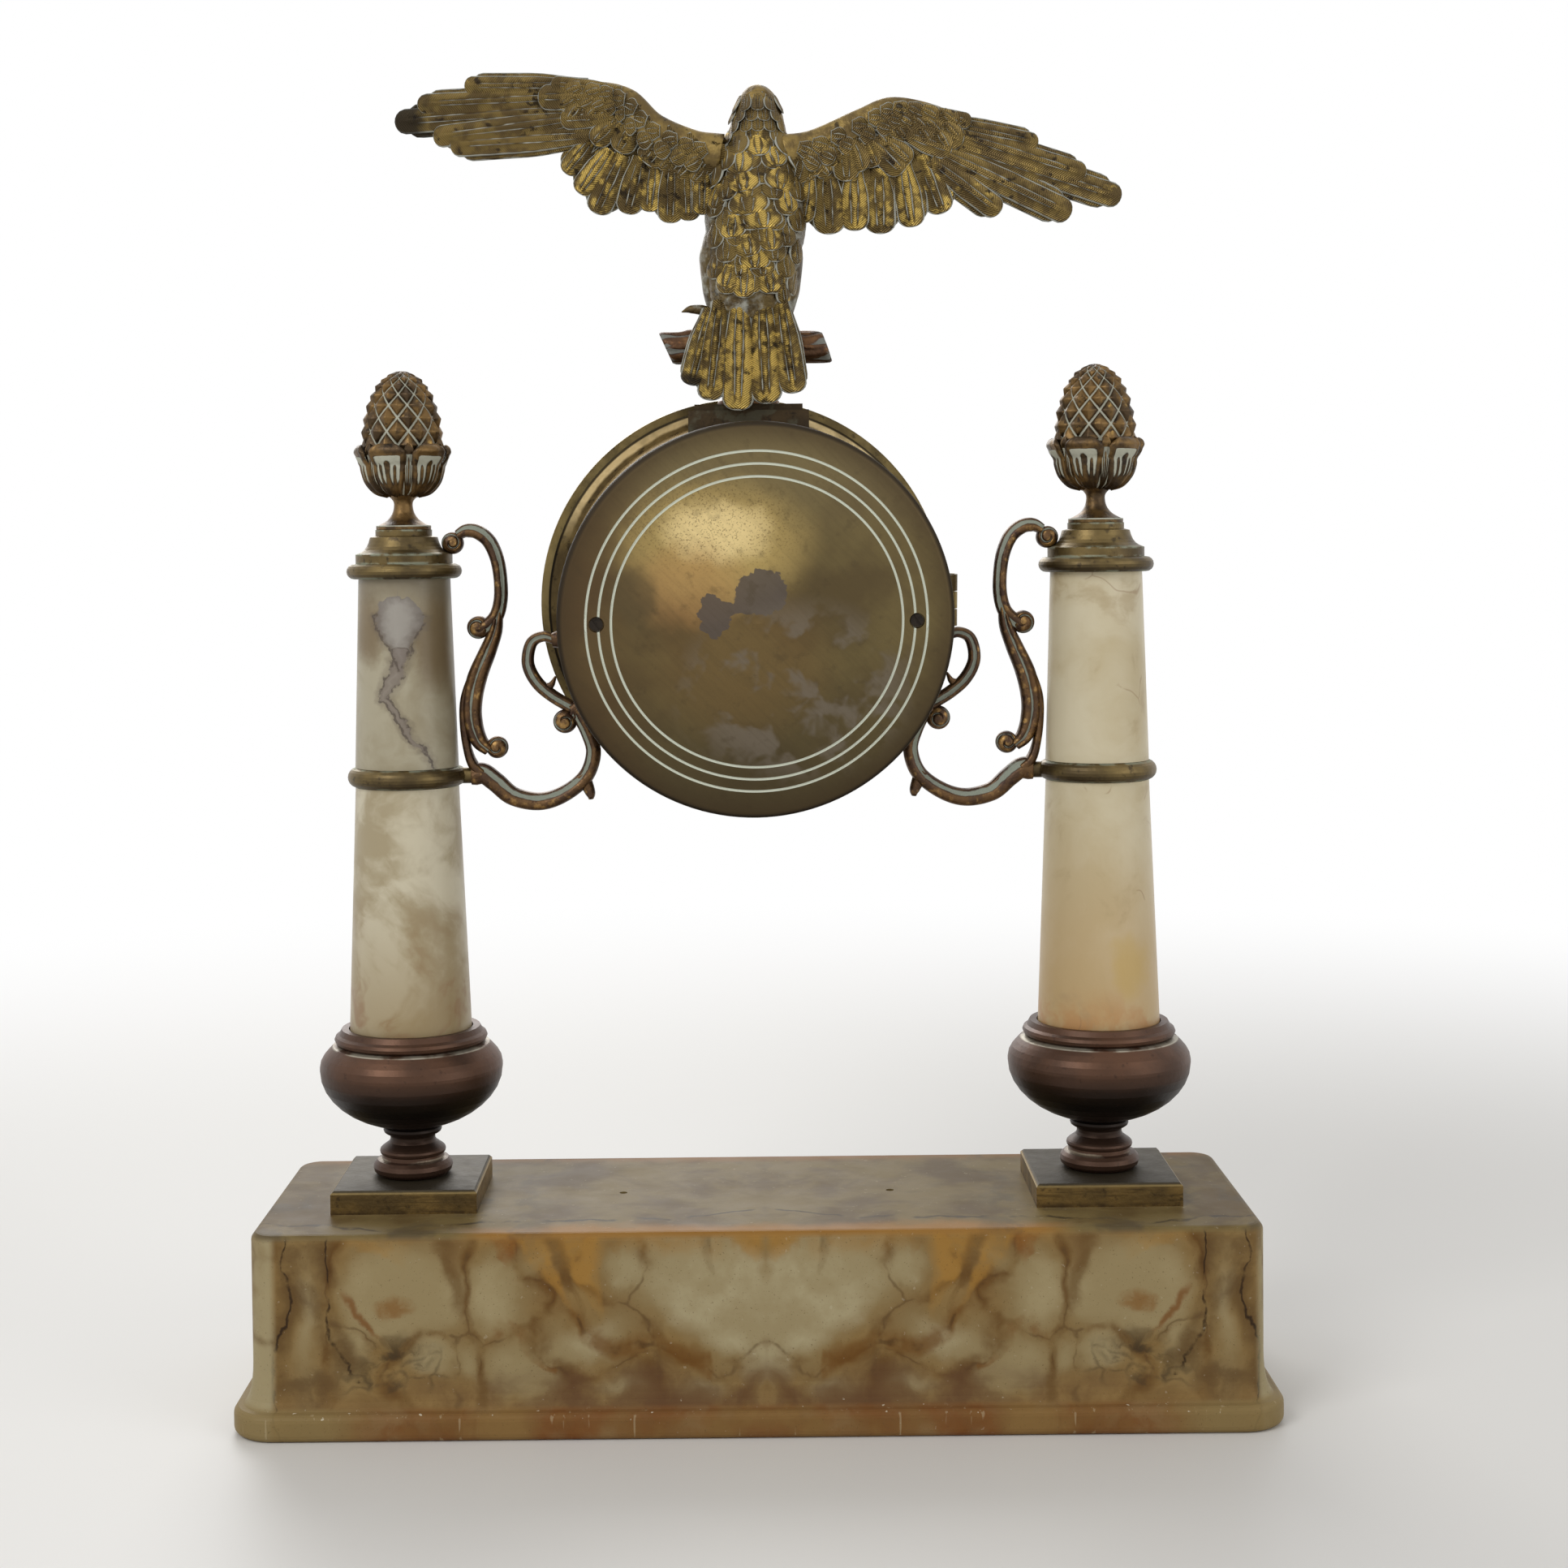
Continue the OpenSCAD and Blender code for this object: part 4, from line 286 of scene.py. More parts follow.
paint, shader, t = finish("base_alabaster", gloss=0.06)
place = in_mm(t)
x, y, z = axes(t, place)
half = abs(x - MATCH_LINE)
block = t.add("CombineXYZ", None, {0: half, 1: y, 2: z})
swirl = stirred(t, block, 0.022, 30)
fine = stirred(t, stirred(t, block, 0.035, 18), 0.16, 5)
fu, fv, fw = axes(t, fine)
PALE, CREAM, TAN = tint(176, 164, 130), tint(146, 128, 90), tint(136, 107, 64)
ORANGE, RUST, BROWN, DARK = tint(166, 124, 60), tint(126, 76, 34), tint(98, 68, 34), tint(46, 34, 24)
mottle = veil(t, clouds(t, fine, 0.05, 5), 0.34, 0.66)
stone = blend(t, mottle, tint(146, 119, 74), tint(122, 95, 57))
# Each pale lobe: its centre out from the middle and up, its half sizes and its lean in degrees.
LOBES = [((84, 43), (13, 14), 0), ((57, 30), (20, 9), -20), ((75, 21.5), (14, 11), 20),
         ((112, 44), (22, 18), 10), ((105, 24), (11, 10), 30), ((126.5, 31), (6.5, 14), -8),
         ((142, 40), (6.5, 25), 0), ((46, 15.5), (11, 5), 0), ((20, 16), (12, 5), 0),
         ((70, 55), (8, 4), -40), ((93, 24), (7, 8), 0), ((40, 52), (10, 9), 0), ((4, 24), (9, 12), 0)]
depth, second = lobe(t, fu, fw, (13, 43), (31, 20), 40), -60
for centre, reach, lean in LOBES:
    value = lobe(t, fu, fw, centre, reach, lean)
    second = t.maths("MAXIMUM", second, t.maths("MINIMUM", depth, value))
    depth = t.maths("MAXIMUM", depth, value)
inside = veil(t, depth, -5.5, 5.5)
pale = blend(t, 0.7 * veil(t, half, 42, 74), PALE, tint(158, 140, 101))
core = veil(t, depth + 7 * (clouds(t, fine, 0.08) - 0.5), 0.5, 9)
pale = blend(t, core, tint(132, 108, 68), pale)
stone = blend(t, inside, stone, blend(t, 0.65 * veil(t, clouds(t, block, 0.05, 5), 0.36, 0.62), pale, CREAM))
seam = (1 - veil(t, depth - second, 0.2, 5.0)) * veil(t, clouds(t, swirl, 0.06, 5), 0.38, 0.6)
stone = blend(t, 0.75 * seam, stone, BROWN)
seam = (1 - veil(t, depth - second, 0.0, 1.2)) * veil(t, clouds(t, block, 0.1, 5), 0.46, 0.6)
stone = blend(t, 0.5 * seam, stone, tint(84, 62, 40))
upper = veil(t, z, 60.5, 62.8)
low_band = oval(t, fu, fw, (44, 13.5), (62, 8), 0.8) * (1 - 0.35 * inside)
low_band = low_band * veil(t, clouds(t, fine, 0.06), 0.3, 0.6)
stone = blend(t, 0.9 * low_band, stone, tint(96, 68, 46))
ragged = 0.35 + 0.65 * veil(t, clouds(t, fine, 0.1, 5), 0.36, 0.6)
# Each stain under the top edge: where it starts and ends, its depth and width, its tone and strength.
STAINS = [(82, 79, 13, 8, RUST, 0.8), (72, 60, 24, 6.5, ORANGE, 0.9), (57, 51, 25, 11, ORANGE, 0.95),
          (65, 55, 30, 4, BROWN, 0.6), (45, 42, 10, 7, TAN, 0.9), (19, 17, 12, 4, tint(112, 92, 60), 0.8),
          (5, 3, 9, 9, ORANGE, 0.75), (101, 96, 16, 6, tint(112, 84, 50), 0.8),
          (120, 112, 10, 14, ORANGE, 0.45), (133, 133, 18, 7, BROWN, 0.6)]
for top, foot, deep, wide, tone, amount in STAINS:
    stone = blend(t, 0.8 * amount * ragged * wedge(t, fu, fw, top, foot, deep, wide), stone, tone)
edge_glow = veil(t, fw, 54, 61) * (1 - veil(t, half, 80, 96)) * veil(t, clouds(t, fine, 0.06), 0.4, 0.6)
stone = blend(t, 0.4 * edge_glow * (1 - upper), stone, tint(160, 116, 54))
broken = veil(t, clouds(t, block, 0.07), 0.34, 0.58)
slant = abs(fw - line_at(t, fu, 0, 60, [(10, 19), (17, 21.7), (32, 27), (47, 29), (56, 34.4), (64, 43),
                                        (74, 54)]))
slant = slant + 40 * (veil(t, half, 70, 80) + 1 - veil(t, half, 10, 18))
stone = blend(t, 0.75 * (1 - veil(t, slant, 0.8, 5.0)) * broken, stone, tint(110, 74, 34))
stone = blend(t, 0.6 * (1 - veil(t, slant, 0.2, 1.6)) * veil(t, clouds(t, block, 0.09), 0.48, 0.62), stone,
              tint(66, 46, 28))
arch = abs(fw - line_at(t, fu, 0, 60, [(60, 17), (66, 22), (72, 28), (79, 36), (86, 30), (90, 25)]))
arch = arch + 40 * (veil(t, half, 87, 93) + 1 - veil(t, half, 60, 66))
stone = blend(t, 0.7 * (1 - veil(t, arch, 0.5, 3.4)) * broken, stone, tint(116, 76, 36))
drop = abs(fu - line_at(t, fw, 80, 110, [(12, 87), (27, 87), (31, 92), (40, 96), (56, 100), (63, 103)]))
stone = blend(t, 0.65 * (1 - veil(t, drop, 0.5, 3.2)) * broken * (1 - upper), stone, tint(104, 78, 44))
spot = oval(t, fu, fw, (113.5, 41.5), (4.6, 3.4), 0.98)
spot = spot * (0.4 + 0.6 * veil(t, clouds(t, fine, 0.2), 0.4, 0.6))
stone = blend(t, 0.7 * spot, stone, tint(128, 86, 38))
hook = abs(fu - line_at(t, fw, 100, 130, [(28, 117), (33, 120), (43, 126), (48, 128)]))
hook = (1 - veil(t, hook, 0.2, 1.8)) * veil(t, z, 29, 34) * (1 - veil(t, z, 42, 47))
stone = blend(t, 0.75 * hook, stone, tint(116, 70, 28))
smudge = oval(t, fu, fw, (116, 23), (9, 8), 0.95) * veil(t, clouds(t, fine, 0.12), 0.4, 0.6)
stone = blend(t, 0.85 * smudge, stone, tint(68, 56, 40))
web = 1 - veil(t, cells(t, fine, 0.12), 0.0, 0.14)
web = web * oval(t, fu, fw, (114, 19), (15, 8), 0.9) * veil(t, clouds(t, block, 0.11), 0.36, 0.52)
stone = blend(t, 0.5 * web, stone, tint(66, 54, 40))
crack_a = abs(fu - line_at(t, z, 140, 160, [(0, 151.4), (22, 152.4), (31, 151.2), (43, 148.7), (53, 149.8),
                                            (63, 149.3)]))
crack_b = abs(fu - line_at(t, z, 115, 140, [(12, 119), (17, 123.6), (27, 132), (37, 135.4), (46, 133.2),
                                            (55, 136.4), (63, 135.4)]))
crack = t.maths("MINIMUM", crack_a, crack_b + 40 * (1 - veil(t, z, 13, 17)))
stone = blend(t, 0.7 * (1 - veil(t, crack, 0.6, 6.5)) * broken, stone, tint(84, 60, 34))
stone = blend(t, 0.9 * (1 - veil(t, crack, 0.1, 0.7)) * veil(t, clouds(t, block, 0.14), 0.36, 0.54), stone,
              DARK)
stain = oval(t, fu, fw, (143, 52), (7, 12), 0.8) + oval(t, fu, fw, (140, 16), (10, 7), 0.8)
stone = blend(t, 0.6 * stain * veil(t, clouds(t, fine, 0.09), 0.34, 0.6), stone, tint(88, 66, 42))
ends = blend(t, veil(t, clouds(t, swirl, 0.03, 5), 0.38, 0.62), tint(166, 153, 118), tint(128, 106, 70))
rift = 1 - veil(t, cells(t, stirred(t, place, 0.04, 26), 0.022), 0.0, 0.06)
rift = rift * veil(t, clouds(t, place, 0.06), 0.4, 0.6)
ends = blend(t, 0.6 * rift, ends, tint(98, 74, 46))
stone = blend(t, 0.85 * veil(t, half, 152, 155), stone, ends)
band = 1 - veil(t, z, 8.4, 10.4)
belt = blend(t, veil(t, clouds(t, fine, 0.035, 5), 0.36, 0.6), tint(132, 102, 60), tint(114, 78, 44))
belt = blend(t, 0.75 * veil(t, clouds(t, swirl, 0.035, 5), 0.40, 0.66), belt, tint(116, 64, 30))
belt = blend(t, 0.5 * veil(t, clouds(t, fine, 0.07, 5), 0.42, 0.70), belt, tint(146, 124, 86))
belt = blend(t, veil(t, half, 120, 140), belt, tint(136, 116, 76))
stone = blend(t, 0.85 * band, stone, belt)
runs = veil(t, clouds(t, t.add("CombineXYZ", None, {0: half, 1: y, 2: z * 0.08}), 0.5, 2), 0.66, 0.72)
stone = blend(t, 0.35 * runs * (1 - veil(t, z, 8, 10)), stone, tint(186, 170, 136))
top_tone = blend(t, veil(t, clouds(t, swirl, 0.03), 0.4, 0.6), tint(122, 105, 68), tint(96, 78, 48))
top_tone = blend(t, 0.8 * (1 - veil(t, fv, -48, -36)), top_tone, tint(140, 98, 52))
top_tone = blend(t, 0.8 * veil(t, fv, 36, 45) * (1 - veil(t, half, 84, 100)), top_tone, tint(160, 114, 54))
streak = abs(fv - line_at(t, half, 0, 60, [(0, 20), (14, 24), (30, 33), (60, 36), (90, 33), (120, 40),
                                           (165, 30)]))
streak = (1 - veil(t, streak, 0.2, 1.5)) * veil(t, clouds(t, block, 0.06), 0.4, 0.54)
top_tone = blend(t, 0.85 * streak, top_tone, tint(58, 50, 38))
smoke = veil(t, clouds(t, swirl, 0.05, 6), 0.52, 0.66) * veil(t, half, 50, 90)
top_tone = blend(t, 0.65 * smoke, top_tone, tint(84, 74, 58))
stone = blend(t, upper, stone, top_tone)
pits = veil(t, clouds(t, place, 0.5, 2), 0.70, 0.74)
pits = pits * (0.25 + 0.75 * (1 - veil(t, abs(z - 8), 0.5, 4)))
stone = blend(t, 0.8 * pits, stone, tint(204, 194, 170))
stone = blend(t, 0.5 * veil(t, clouds(t, place, 1.6, 2), 0.66, 0.72), stone, tint(92, 72, 46))
coat(t, shader, stone, 0.3 + 0.22 * clouds(t, place, 0.09) + 0.2 * pits,
     clouds(t, place, 0.25, 3) * 0.5 + pits * 0.5, 0.12)
dress(paint, "base_block")

# Plates and urns: each column stands on a square cast brass plate and a turned urn of brown patinated bronze.
# They are threaded on the column's tie rod; the plate's edges are rubbed to gold and its top face is darker.


def old_brass(t, place, gold, dull, dark, waves=0.07):
    """Brass that has dulled unevenly: gold where it is rubbed, dull in clouds and dark in small spots."""
    metal = blend(t, veil(t, clouds(t, place, waves, 5), 0.36, 0.64), gold, dull)
    return blend(t, 0.75 * veil(t, clouds(t, place, 0.33, 4), 0.57, 0.70), metal, dark)


paint, shader, t = finish("plate_brass", metallic=0.8)
place = in_mm(t)
x, y, z = axes(t, place)
metal = old_brass(t, place, tint(126, 101, 56), tint(92, 74, 43), tint(58, 46, 29))
grain = t.add("CombineXYZ", None, {0: x * 0.12, 1: y * 0.12, 2: z * 3})
metal = blend(t, 0.6 * veil(t, clouds(t, grain, 0.5), 0.5, 0.68), metal, tint(70, 55, 32))
top = veil(t, z, 69.2, 70.4)
metal = blend(t, top, metal, blend(t, clouds(t, place, 0.08), tint(52, 46, 36), tint(74, 66, 50)))
metal = blend(t, 0.6 * (1 - veil(t, abs(z - 69.6), 0.1, 0.5)), metal, tint(140, 120, 76))
metal = blend(t, 0.7 * (1 - veil(t, z, 63.2, 65)) * veil(t, clouds(t, place, 0.2), 0.4, 0.6), metal,
              tint(56, 40, 26))
coat(t, shader, metal, 0.36 + 0.2 * clouds(t, place, 0.2) + 0.1 * top, clouds(t, place, 0.6, 3), 0.12)
dress(paint, "column_plate_left", "column_plate_right")

paint, shader, t = finish("urn_bronze", metallic=0.6, gloss=0.3)
place = in_mm(t)
z = axes(t, place)[2]
REDDISH, UMBER, DARK_PATINA_AND_REFLECTION = tint(94, 66, 49), tint(68, 49, 38), tint(22, 18, 15)
# Painted shade and highlight: near black low on the bowl, partly patina; lighter and reddish on the belly.
shade_and_highlight_by_height = [(70.5, 0.5), (77, 0.7), (82, 0.3), (87, 0.08), (95, 0.02), (101, 0.22), (106, 0.7), (112, 0.85),
          (119.2, 0.7)]
height = line_at(t, z + 3 * (clouds(t, place, 0.06) - 0.5), 0, 1, shade_and_highlight_by_height)
bronze = blend(t, veil(t, height, 0.0, 0.55), DARK_PATINA_AND_REFLECTION, UMBER)
bronze = blend(t, veil(t, height, 0.45, 0.95) * veil(t, clouds(t, place, 0.05, 5), 0.3, 0.6), bronze, REDDISH)
bronze = blend(t, 0.5 * veil(t, clouds(t, place, 0.4, 4), 0.60, 0.72), bronze, tint(46, 34, 28))
groove = 1 - veil(t, abs(z - 113.7), 0.15, 0.55)
bronze = blend(t, 0.75 * groove * veil(t, clouds(t, place, 0.07), 0.38, 0.55), bronze, tint(190, 184, 166))
# Painted highlight: a pale line along the foot's bead.
bead = 1 - veil(t, abs(z - 76.1), 0.2, 0.6)
bronze = blend(t, 0.5 * bead * veil(t, clouds(t, place, 0.1), 0.45, 0.6), bronze, tint(170, 160, 140))
coat(t, shader, bronze, 0.34 + 0.16 * clouds(t, place, 0.15), clouds(t, place, 0.5, 3), 0.08)
dress(paint, "urn_left", "urn_right")

# Columns: each is two turned drums of alabaster with a brass ring between and a moulded brass cap on top.
# A tie rod runs through all of them. The column on the picture's left is greyer, with a dark jagged vein.

COLUMN_X = 113.3
paint, shader, t = finish("grey_alabaster", gloss=0.3)
place = in_mm(t)
x, y, z = axes(t, place)
swirl = stirred(t, place, 0.035, 26)
fine = stirred(t, stirred(t, place, 0.1, 6), 0.45, 3.4)
fx, _, fz = axes(t, fine)
stone = blend(t, veil(t, clouds(t, swirl, 0.04, 5), 0.40, 0.60), tint(204, 195, 170), tint(168, 154, 124))
slanting = t.add("CombineXYZ", None, {0: (x + z) * 0.5, 1: y * 0.5, 2: (z - x) * 1.4})
stone = blend(t, 0.45 * veil(t, clouds(t, stirred(t, slanting, 0.05, 16), 0.05, 5), 0.48, 0.68), stone,
              tint(150, 132, 96))
foot = 1 - veil(t, z, 118, 170)
stone = blend(t, 0.7 * foot, stone, tint(148, 126, 86))
stone = blend(t, 0.6 * foot * veil(t, clouds(t, swirl, 0.08), 0.5, 0.64), stone, tint(140, 104, 72))
high = veil(t, z, 198, 206)
stone = blend(t, 0.6 * high, stone, tint(146, 138, 116))
near = veil(t, y, 2, 8)
brown = oval(t, fx, fz, (COLUMN_X - 12, 247), (7, 15), 0.9)
brown = brown + oval(t, fx, fz, (COLUMN_X + 11, 251), (6, 11), 0.9)
stone = blend(t, 0.75 * near * brown, stone, tint(110, 90, 60))
stone = blend(t, 0.5 * high * veil(t, z, 256, 264), stone, tint(112, 102, 86))
side = abs(fx - COLUMN_X)
shield = line_at(t, fz, 0, 10, [(236, 0.3), (242, 2.0), (246, 4.8), (250, 6.8), (254, 7.6), (258, 6.8),
                                (260.5, 3.6), (261.5, 0)])
shield = shield - side - 20 * (1 - veil(t, z, 233, 237))
stone = blend(t, 0.85 * near * veil(t, shield, -0.3, 0.5), stone,
              blend(t, veil(t, shield, 0, 6), tint(122, 115, 110), tint(158, 153, 147)))
path = line_at(t, fz, 95, 125, [(203.4, 101), (210.5, 105), (215, 109), (220.7, 112.2), (227.8, 117.6),
                                (237, 114.4), (242, 113.6)])
wide = line_at(t, fz, 0, 3, [(203.4, 0.1), (210, 0.3), (215, 1.2), (220, 1.5), (228, 1.8), (237, 2.5),
                             (242, 2.3)])
vein = wide - abs(fx - path) + 20 * (veil(t, z, 199, 204) - 1 - veil(t, z, 244, 247))
stone = blend(t, 0.8 * near * veil(t, vein, -0.4, 0.4), stone, tint(134, 124, 116))
rim = t.maths("MINIMUM", abs(shield + 0.2) + 8 * veil(t, fz, 255, 260), abs(vein))
jagged = veil(t, clouds(t, place, 0.35, 4), 0.36, 0.5)
stone = blend(t, 0.85 * near * jagged * (1 - veil(t, rim, 0.15, 0.75)), stone, tint(66, 56, 52))
stone = blend(t, 0.4 * near * (1 - veil(t, rim, 0.5, 3)), stone, tint(104, 92, 78))
coat(t, shader, stone, 0.26 + 0.2 * clouds(t, place, 0.1), clouds(t, place, 0.3, 3), 0.06)
dress(paint, "column_lower_right", "column_upper_right")

paint, shader, t = finish("cream_alabaster", gloss=0.3)
place = in_mm(t)
z = axes(t, place)[2]
swirl = stirred(t, place, 0.03, 30)
fine = stirred(t, place, 0.12, 8)
fx, _, fz = axes(t, fine)
stone = blend(t, veil(t, clouds(t, swirl, 0.03, 5), 0.36, 0.64), tint(208, 197, 168), tint(194, 179, 144))
warm = 1 - veil(t, z, 122, 200)
stone = blend(t, 0.8 * warm, stone, tint(186, 156, 108))
glow = (1 - veil(t, z, 116, 136)) * veil(t, clouds(t, fine, 0.06), 0.42, 0.6)
stone = blend(t, 0.7 * glow, stone, tint(178, 120, 62))
stone = blend(t, 0.55 * oval(t, fx, fz, (-COLUMN_X - 8, 139), (6, 9), 0.95), stone, tint(190, 158, 84))
stone = blend(t, 0.4 * veil(t, clouds(t, swirl, 0.06, 6), 0.54, 0.68), stone, tint(162, 140, 104))
crack = (1 - veil(t, cells(t, swirl, 0.03), 0.0, 0.015)) * veil(t, clouds(t, place, 0.06), 0.54, 0.62)
stone = blend(t, 0.45 * crack, stone, tint(146, 112, 82))
coat(t, shader, stone, 0.26 + 0.2 * clouds(t, place, 0.1), clouds(t, place, 0.3, 3), 0.06)
dress(paint, "column_lower_left", "column_upper_left")

paint, shader, t = finish("column_brass", metallic=0.75)
place = in_mm(t)
z = axes(t, place)[2]
metal = old_brass(t, place, tint(108, 91, 55), tint(76, 63, 39), tint(44, 35, 23))
up = axes(t, t.add("NewGeometry", out="Normal"))[2]
# Painted shade and light by facing: faces turned down are painted dark, faces turned up lighter in patches.
metal = blend(t, 0.55 * (1 - veil(t, up, -0.9, 0.1)), metal, tint(40, 32, 23))
metal = blend(t, 0.5 * veil(t, up, 0.2, 0.8) * veil(t, clouds(t, place, 0.15), 0.45, 0.6), metal,
              tint(126, 106, 64))
joints = [198.7, 204.9, 266.7, 271.6, 274.6, 282.5]
joint = abs(z - joints[0])
for level in joints[1:]:
    joint = t.maths("MINIMUM", joint, abs(z - level))
crust = (1 - veil(t, joint, 0.1, 0.75)) * veil(t, clouds(t, place, 0.2, 4), 0.42, 0.58)
metal = blend(t, 0.7 * crust, metal, tint(150, 156, 138))
coat(t, shader, metal, 0.3 + 0.24 * clouds(t, place, 0.2) + 0.2 * crust,
     clouds(t, place, 0.6, 3) + crust, 0.1)
dress(paint, "column_ring_left", "column_ring_right", "column_cap_left", "column_cap_right")

rod_steel, shader, t = finish("rod_steel", metallic=0.9)
place = in_mm(t)
coat(t, shader, old_brass(t, place, tint(120, 116, 110), tint(92, 88, 82), tint(84, 60, 42)), 0.45,
     clouds(t, place, 0.8, 3), 0.1)
dress(rod_steel, "tie_rod_left", "tie_rod_right", "tie_rod_nuts")

# Finials: a cast pinecone in a cup of six broad leaves on a turned stem, gilt bronze, screwed on each tie
# rod's end. The scales are lozenges with grooves between; pale verdigris lies in the grooves and between the
# leaves, which are darkened as painted shade and dirt, and one side of each lozenge is painted brighter.


def build(name, parts, paint, body, slot, *replaced):
    """One piece from grids of points in millimetres. Each part is a batch of grids [batch, rows, columns, 3]
    whose columns close to a ring, with flat ends, and a dictionary of numbers per point."""
    points, faces, tags, count = [], [], {}, 0
    keys = sorted({key for _, marks in parts for key in marks})
    for grid, marks in parts:
        batch, rows, cols = grid.shape[:3]
        number = np.arange(batch * rows * cols).reshape(batch, rows, cols) + count
        turned = np.roll(number, -1, 2)
        quads = np.stack([number[:, :-1], turned[:, :-1], turned[:, 1:], number[:, 1:]], -1)
        faces += quads.reshape(-1, 4).tolist() + number[:, 0, ::-1].tolist() + number[:, -1].tolist()
        points.append(grid.reshape(-1, 3))
        for key in keys:
            value = np.broadcast_to(marks.get(key, 0.0), (batch, rows, cols))
            tags.setdefault(key, []).append(value.reshape(-1))
        count += batch * rows * cols
    mesh = bpy.data.meshes.new(name)
    mesh.from_pydata((np.concatenate(points) / 1000).tolist(), [], faces)
    for key in keys:
        tag = mesh.attributes.new(key, "FLOAT", "POINT")
        tag.data.foreach_set("value", np.concatenate(tags[key]).astype(np.float32))
    shell = bmesh.new()
    shell.from_mesh(mesh)
    bmesh.ops.recalc_face_normals(shell, faces=shell.faces)
    shell.to_mesh(mesh)
    shell.free()
    mesh.polygons.foreach_set("use_smooth", np.ones(len(mesh.polygons), bool))
    mesh.materials.append(paint)
    piece = bpy.data.objects.new(name, mesh)
    scene.collection.objects.link(piece)
    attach(piece, body)
    if replaced:
        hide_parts(*replaced)
    return piece


def ring_of(count):
    """Angles once round a ring, without the last that would meet the first."""
    return np.arange(count) / count * 2 * np.pi


def smooth(value, low, high):
    """0 below low, 1 above high, with the even curve of three squares less two cubes between."""
    share = np.clip((value - low) / (high - low), 0, 1)
    return share * share * (3 - 2 * share)


def spline(points, steps):
    """Points along a smooth line through the given ones: in each span a cubic that leaves every point
    in the direction from its neighbour before to its neighbour after."""
    p = np.asarray(points, float)
    p = np.vstack([2 * p[0] - p[1], p, 2 * p[-1] - p[-2]])
    at = np.linspace(0, len(p) - 3 - 1e-9, steps)
    k = at.astype(int)
    f = (at - k)[:, None]
    a, b, c, d = p[k], p[k + 1], p[k + 2], p[k + 3]
    straight = 2 * b + (c - a) * f
    return 0.5 * (straight + (2 * a - 5 * b + 4 * c - d) * f ** 2 + (3 * b - a - 3 * c + d) * f ** 3)


def turned_on(profile, columns):
    """A profile of (radius, height) pairs carried round the upright axis."""
    angle = ring_of(columns)
    r, h = np.asarray(profile, float).T
    r, h = r[:, None], h[:, None]
    return np.stack([r * np.cos(angle), r * np.sin(angle), h + 0 * angle], -1)[None]


def gilt(name, gold, dull, dark, crust, hatch=0.0, glow=None):
    """Worn gilding on cast bronze. The point tag hollow says where recesses are darkened, as painted shade
    and grime, and where pale crust collects; high where it is rubbed bright and given painted glints, and
    along and across, in millimetres, carry the fine hatching of a feather's barbs."""
    paint, shader, t = finish(name, metallic=0.72)
    place = in_mm(t)
    hollow = t.add("Attribute", {"attribute_name": "hollow"}, out="Fac")
    high = t.add("Attribute", {"attribute_name": "high"}, out="Fac")
    metal = blend(t, veil(t, clouds(t, place, 0.14, 6), 0.42, 0.58), gold, dull)
    # Painted highlight, partly rubbed gilding: glints where the tag high and noise are strong.
    bright = veil(t, high + 1.5 * (clouds(t, place, 0.3, 5) - 0.5), 0.40, 0.72)
    metal = blend(t, bright, metal, glow or tint(186, 164, 108))
    spots = veil(t, clouds(t, place, 0.26, 4), 0.60, 0.68)
    metal = blend(t, 0.85 * spots, metal, dark)
    # Painted shade, with grime: recesses that the tag hollow marks are darkened.
    edge = veil(t, hollow, 0.25, 0.7)
    metal = blend(t, 0.8 * edge, metal, dark)
    lime = veil(t, hollow + 0.8 * (clouds(t, place, 0.2, 4) - 0.5), 0.52, 0.76)
    metal = blend(t, 0.85 * lime, metal, crust)
    soot = t.add("Attribute", {"attribute_name": "soot"}, out="Fac")
    metal = blend(t, 0.9 * veil(t, soot + 0.7 * (clouds(t, place, 0.2, 4) - 0.5), 0.35, 0.75), metal,
                  tint(34, 28, 20))
    if hatch:
        along = t.add("Attribute", {"attribute_name": "along"}, out="Fac")
        across = t.add("Attribute", {"attribute_name": "across"}, out="Fac")
        barb = t.maths("SINE", (along + 0.8 * abs(across)) * (2 * math.pi / hatch))
        barb = barb * (1 - edge)
        metal = blend(t, 0.45 * veil(t, barb, 0.1, 0.9), metal, dark)
        height, strength = clouds(t, place, 0.5, 5) * 0.9 + 0.45 * barb + 0.6 * lime, 0.6
    else:
        height, strength = clouds(t, place, 0.5, 4) + 0.8 * lime, 0.3
    coat(t, shader, metal, 0.32 + 0.2 * clouds(t, place, 0.25) + 0.3 * lime, height, strength)
    t.put(0.72 - 0.62 * lime, shader.inputs["Metallic"])
    return paint


FINIAL_Z = 282.6
STEM_H, CUP_H, CONE_R, CONE_H = 11.4, 15.0, 12.2, 26.5
CONE_ROUND = 10


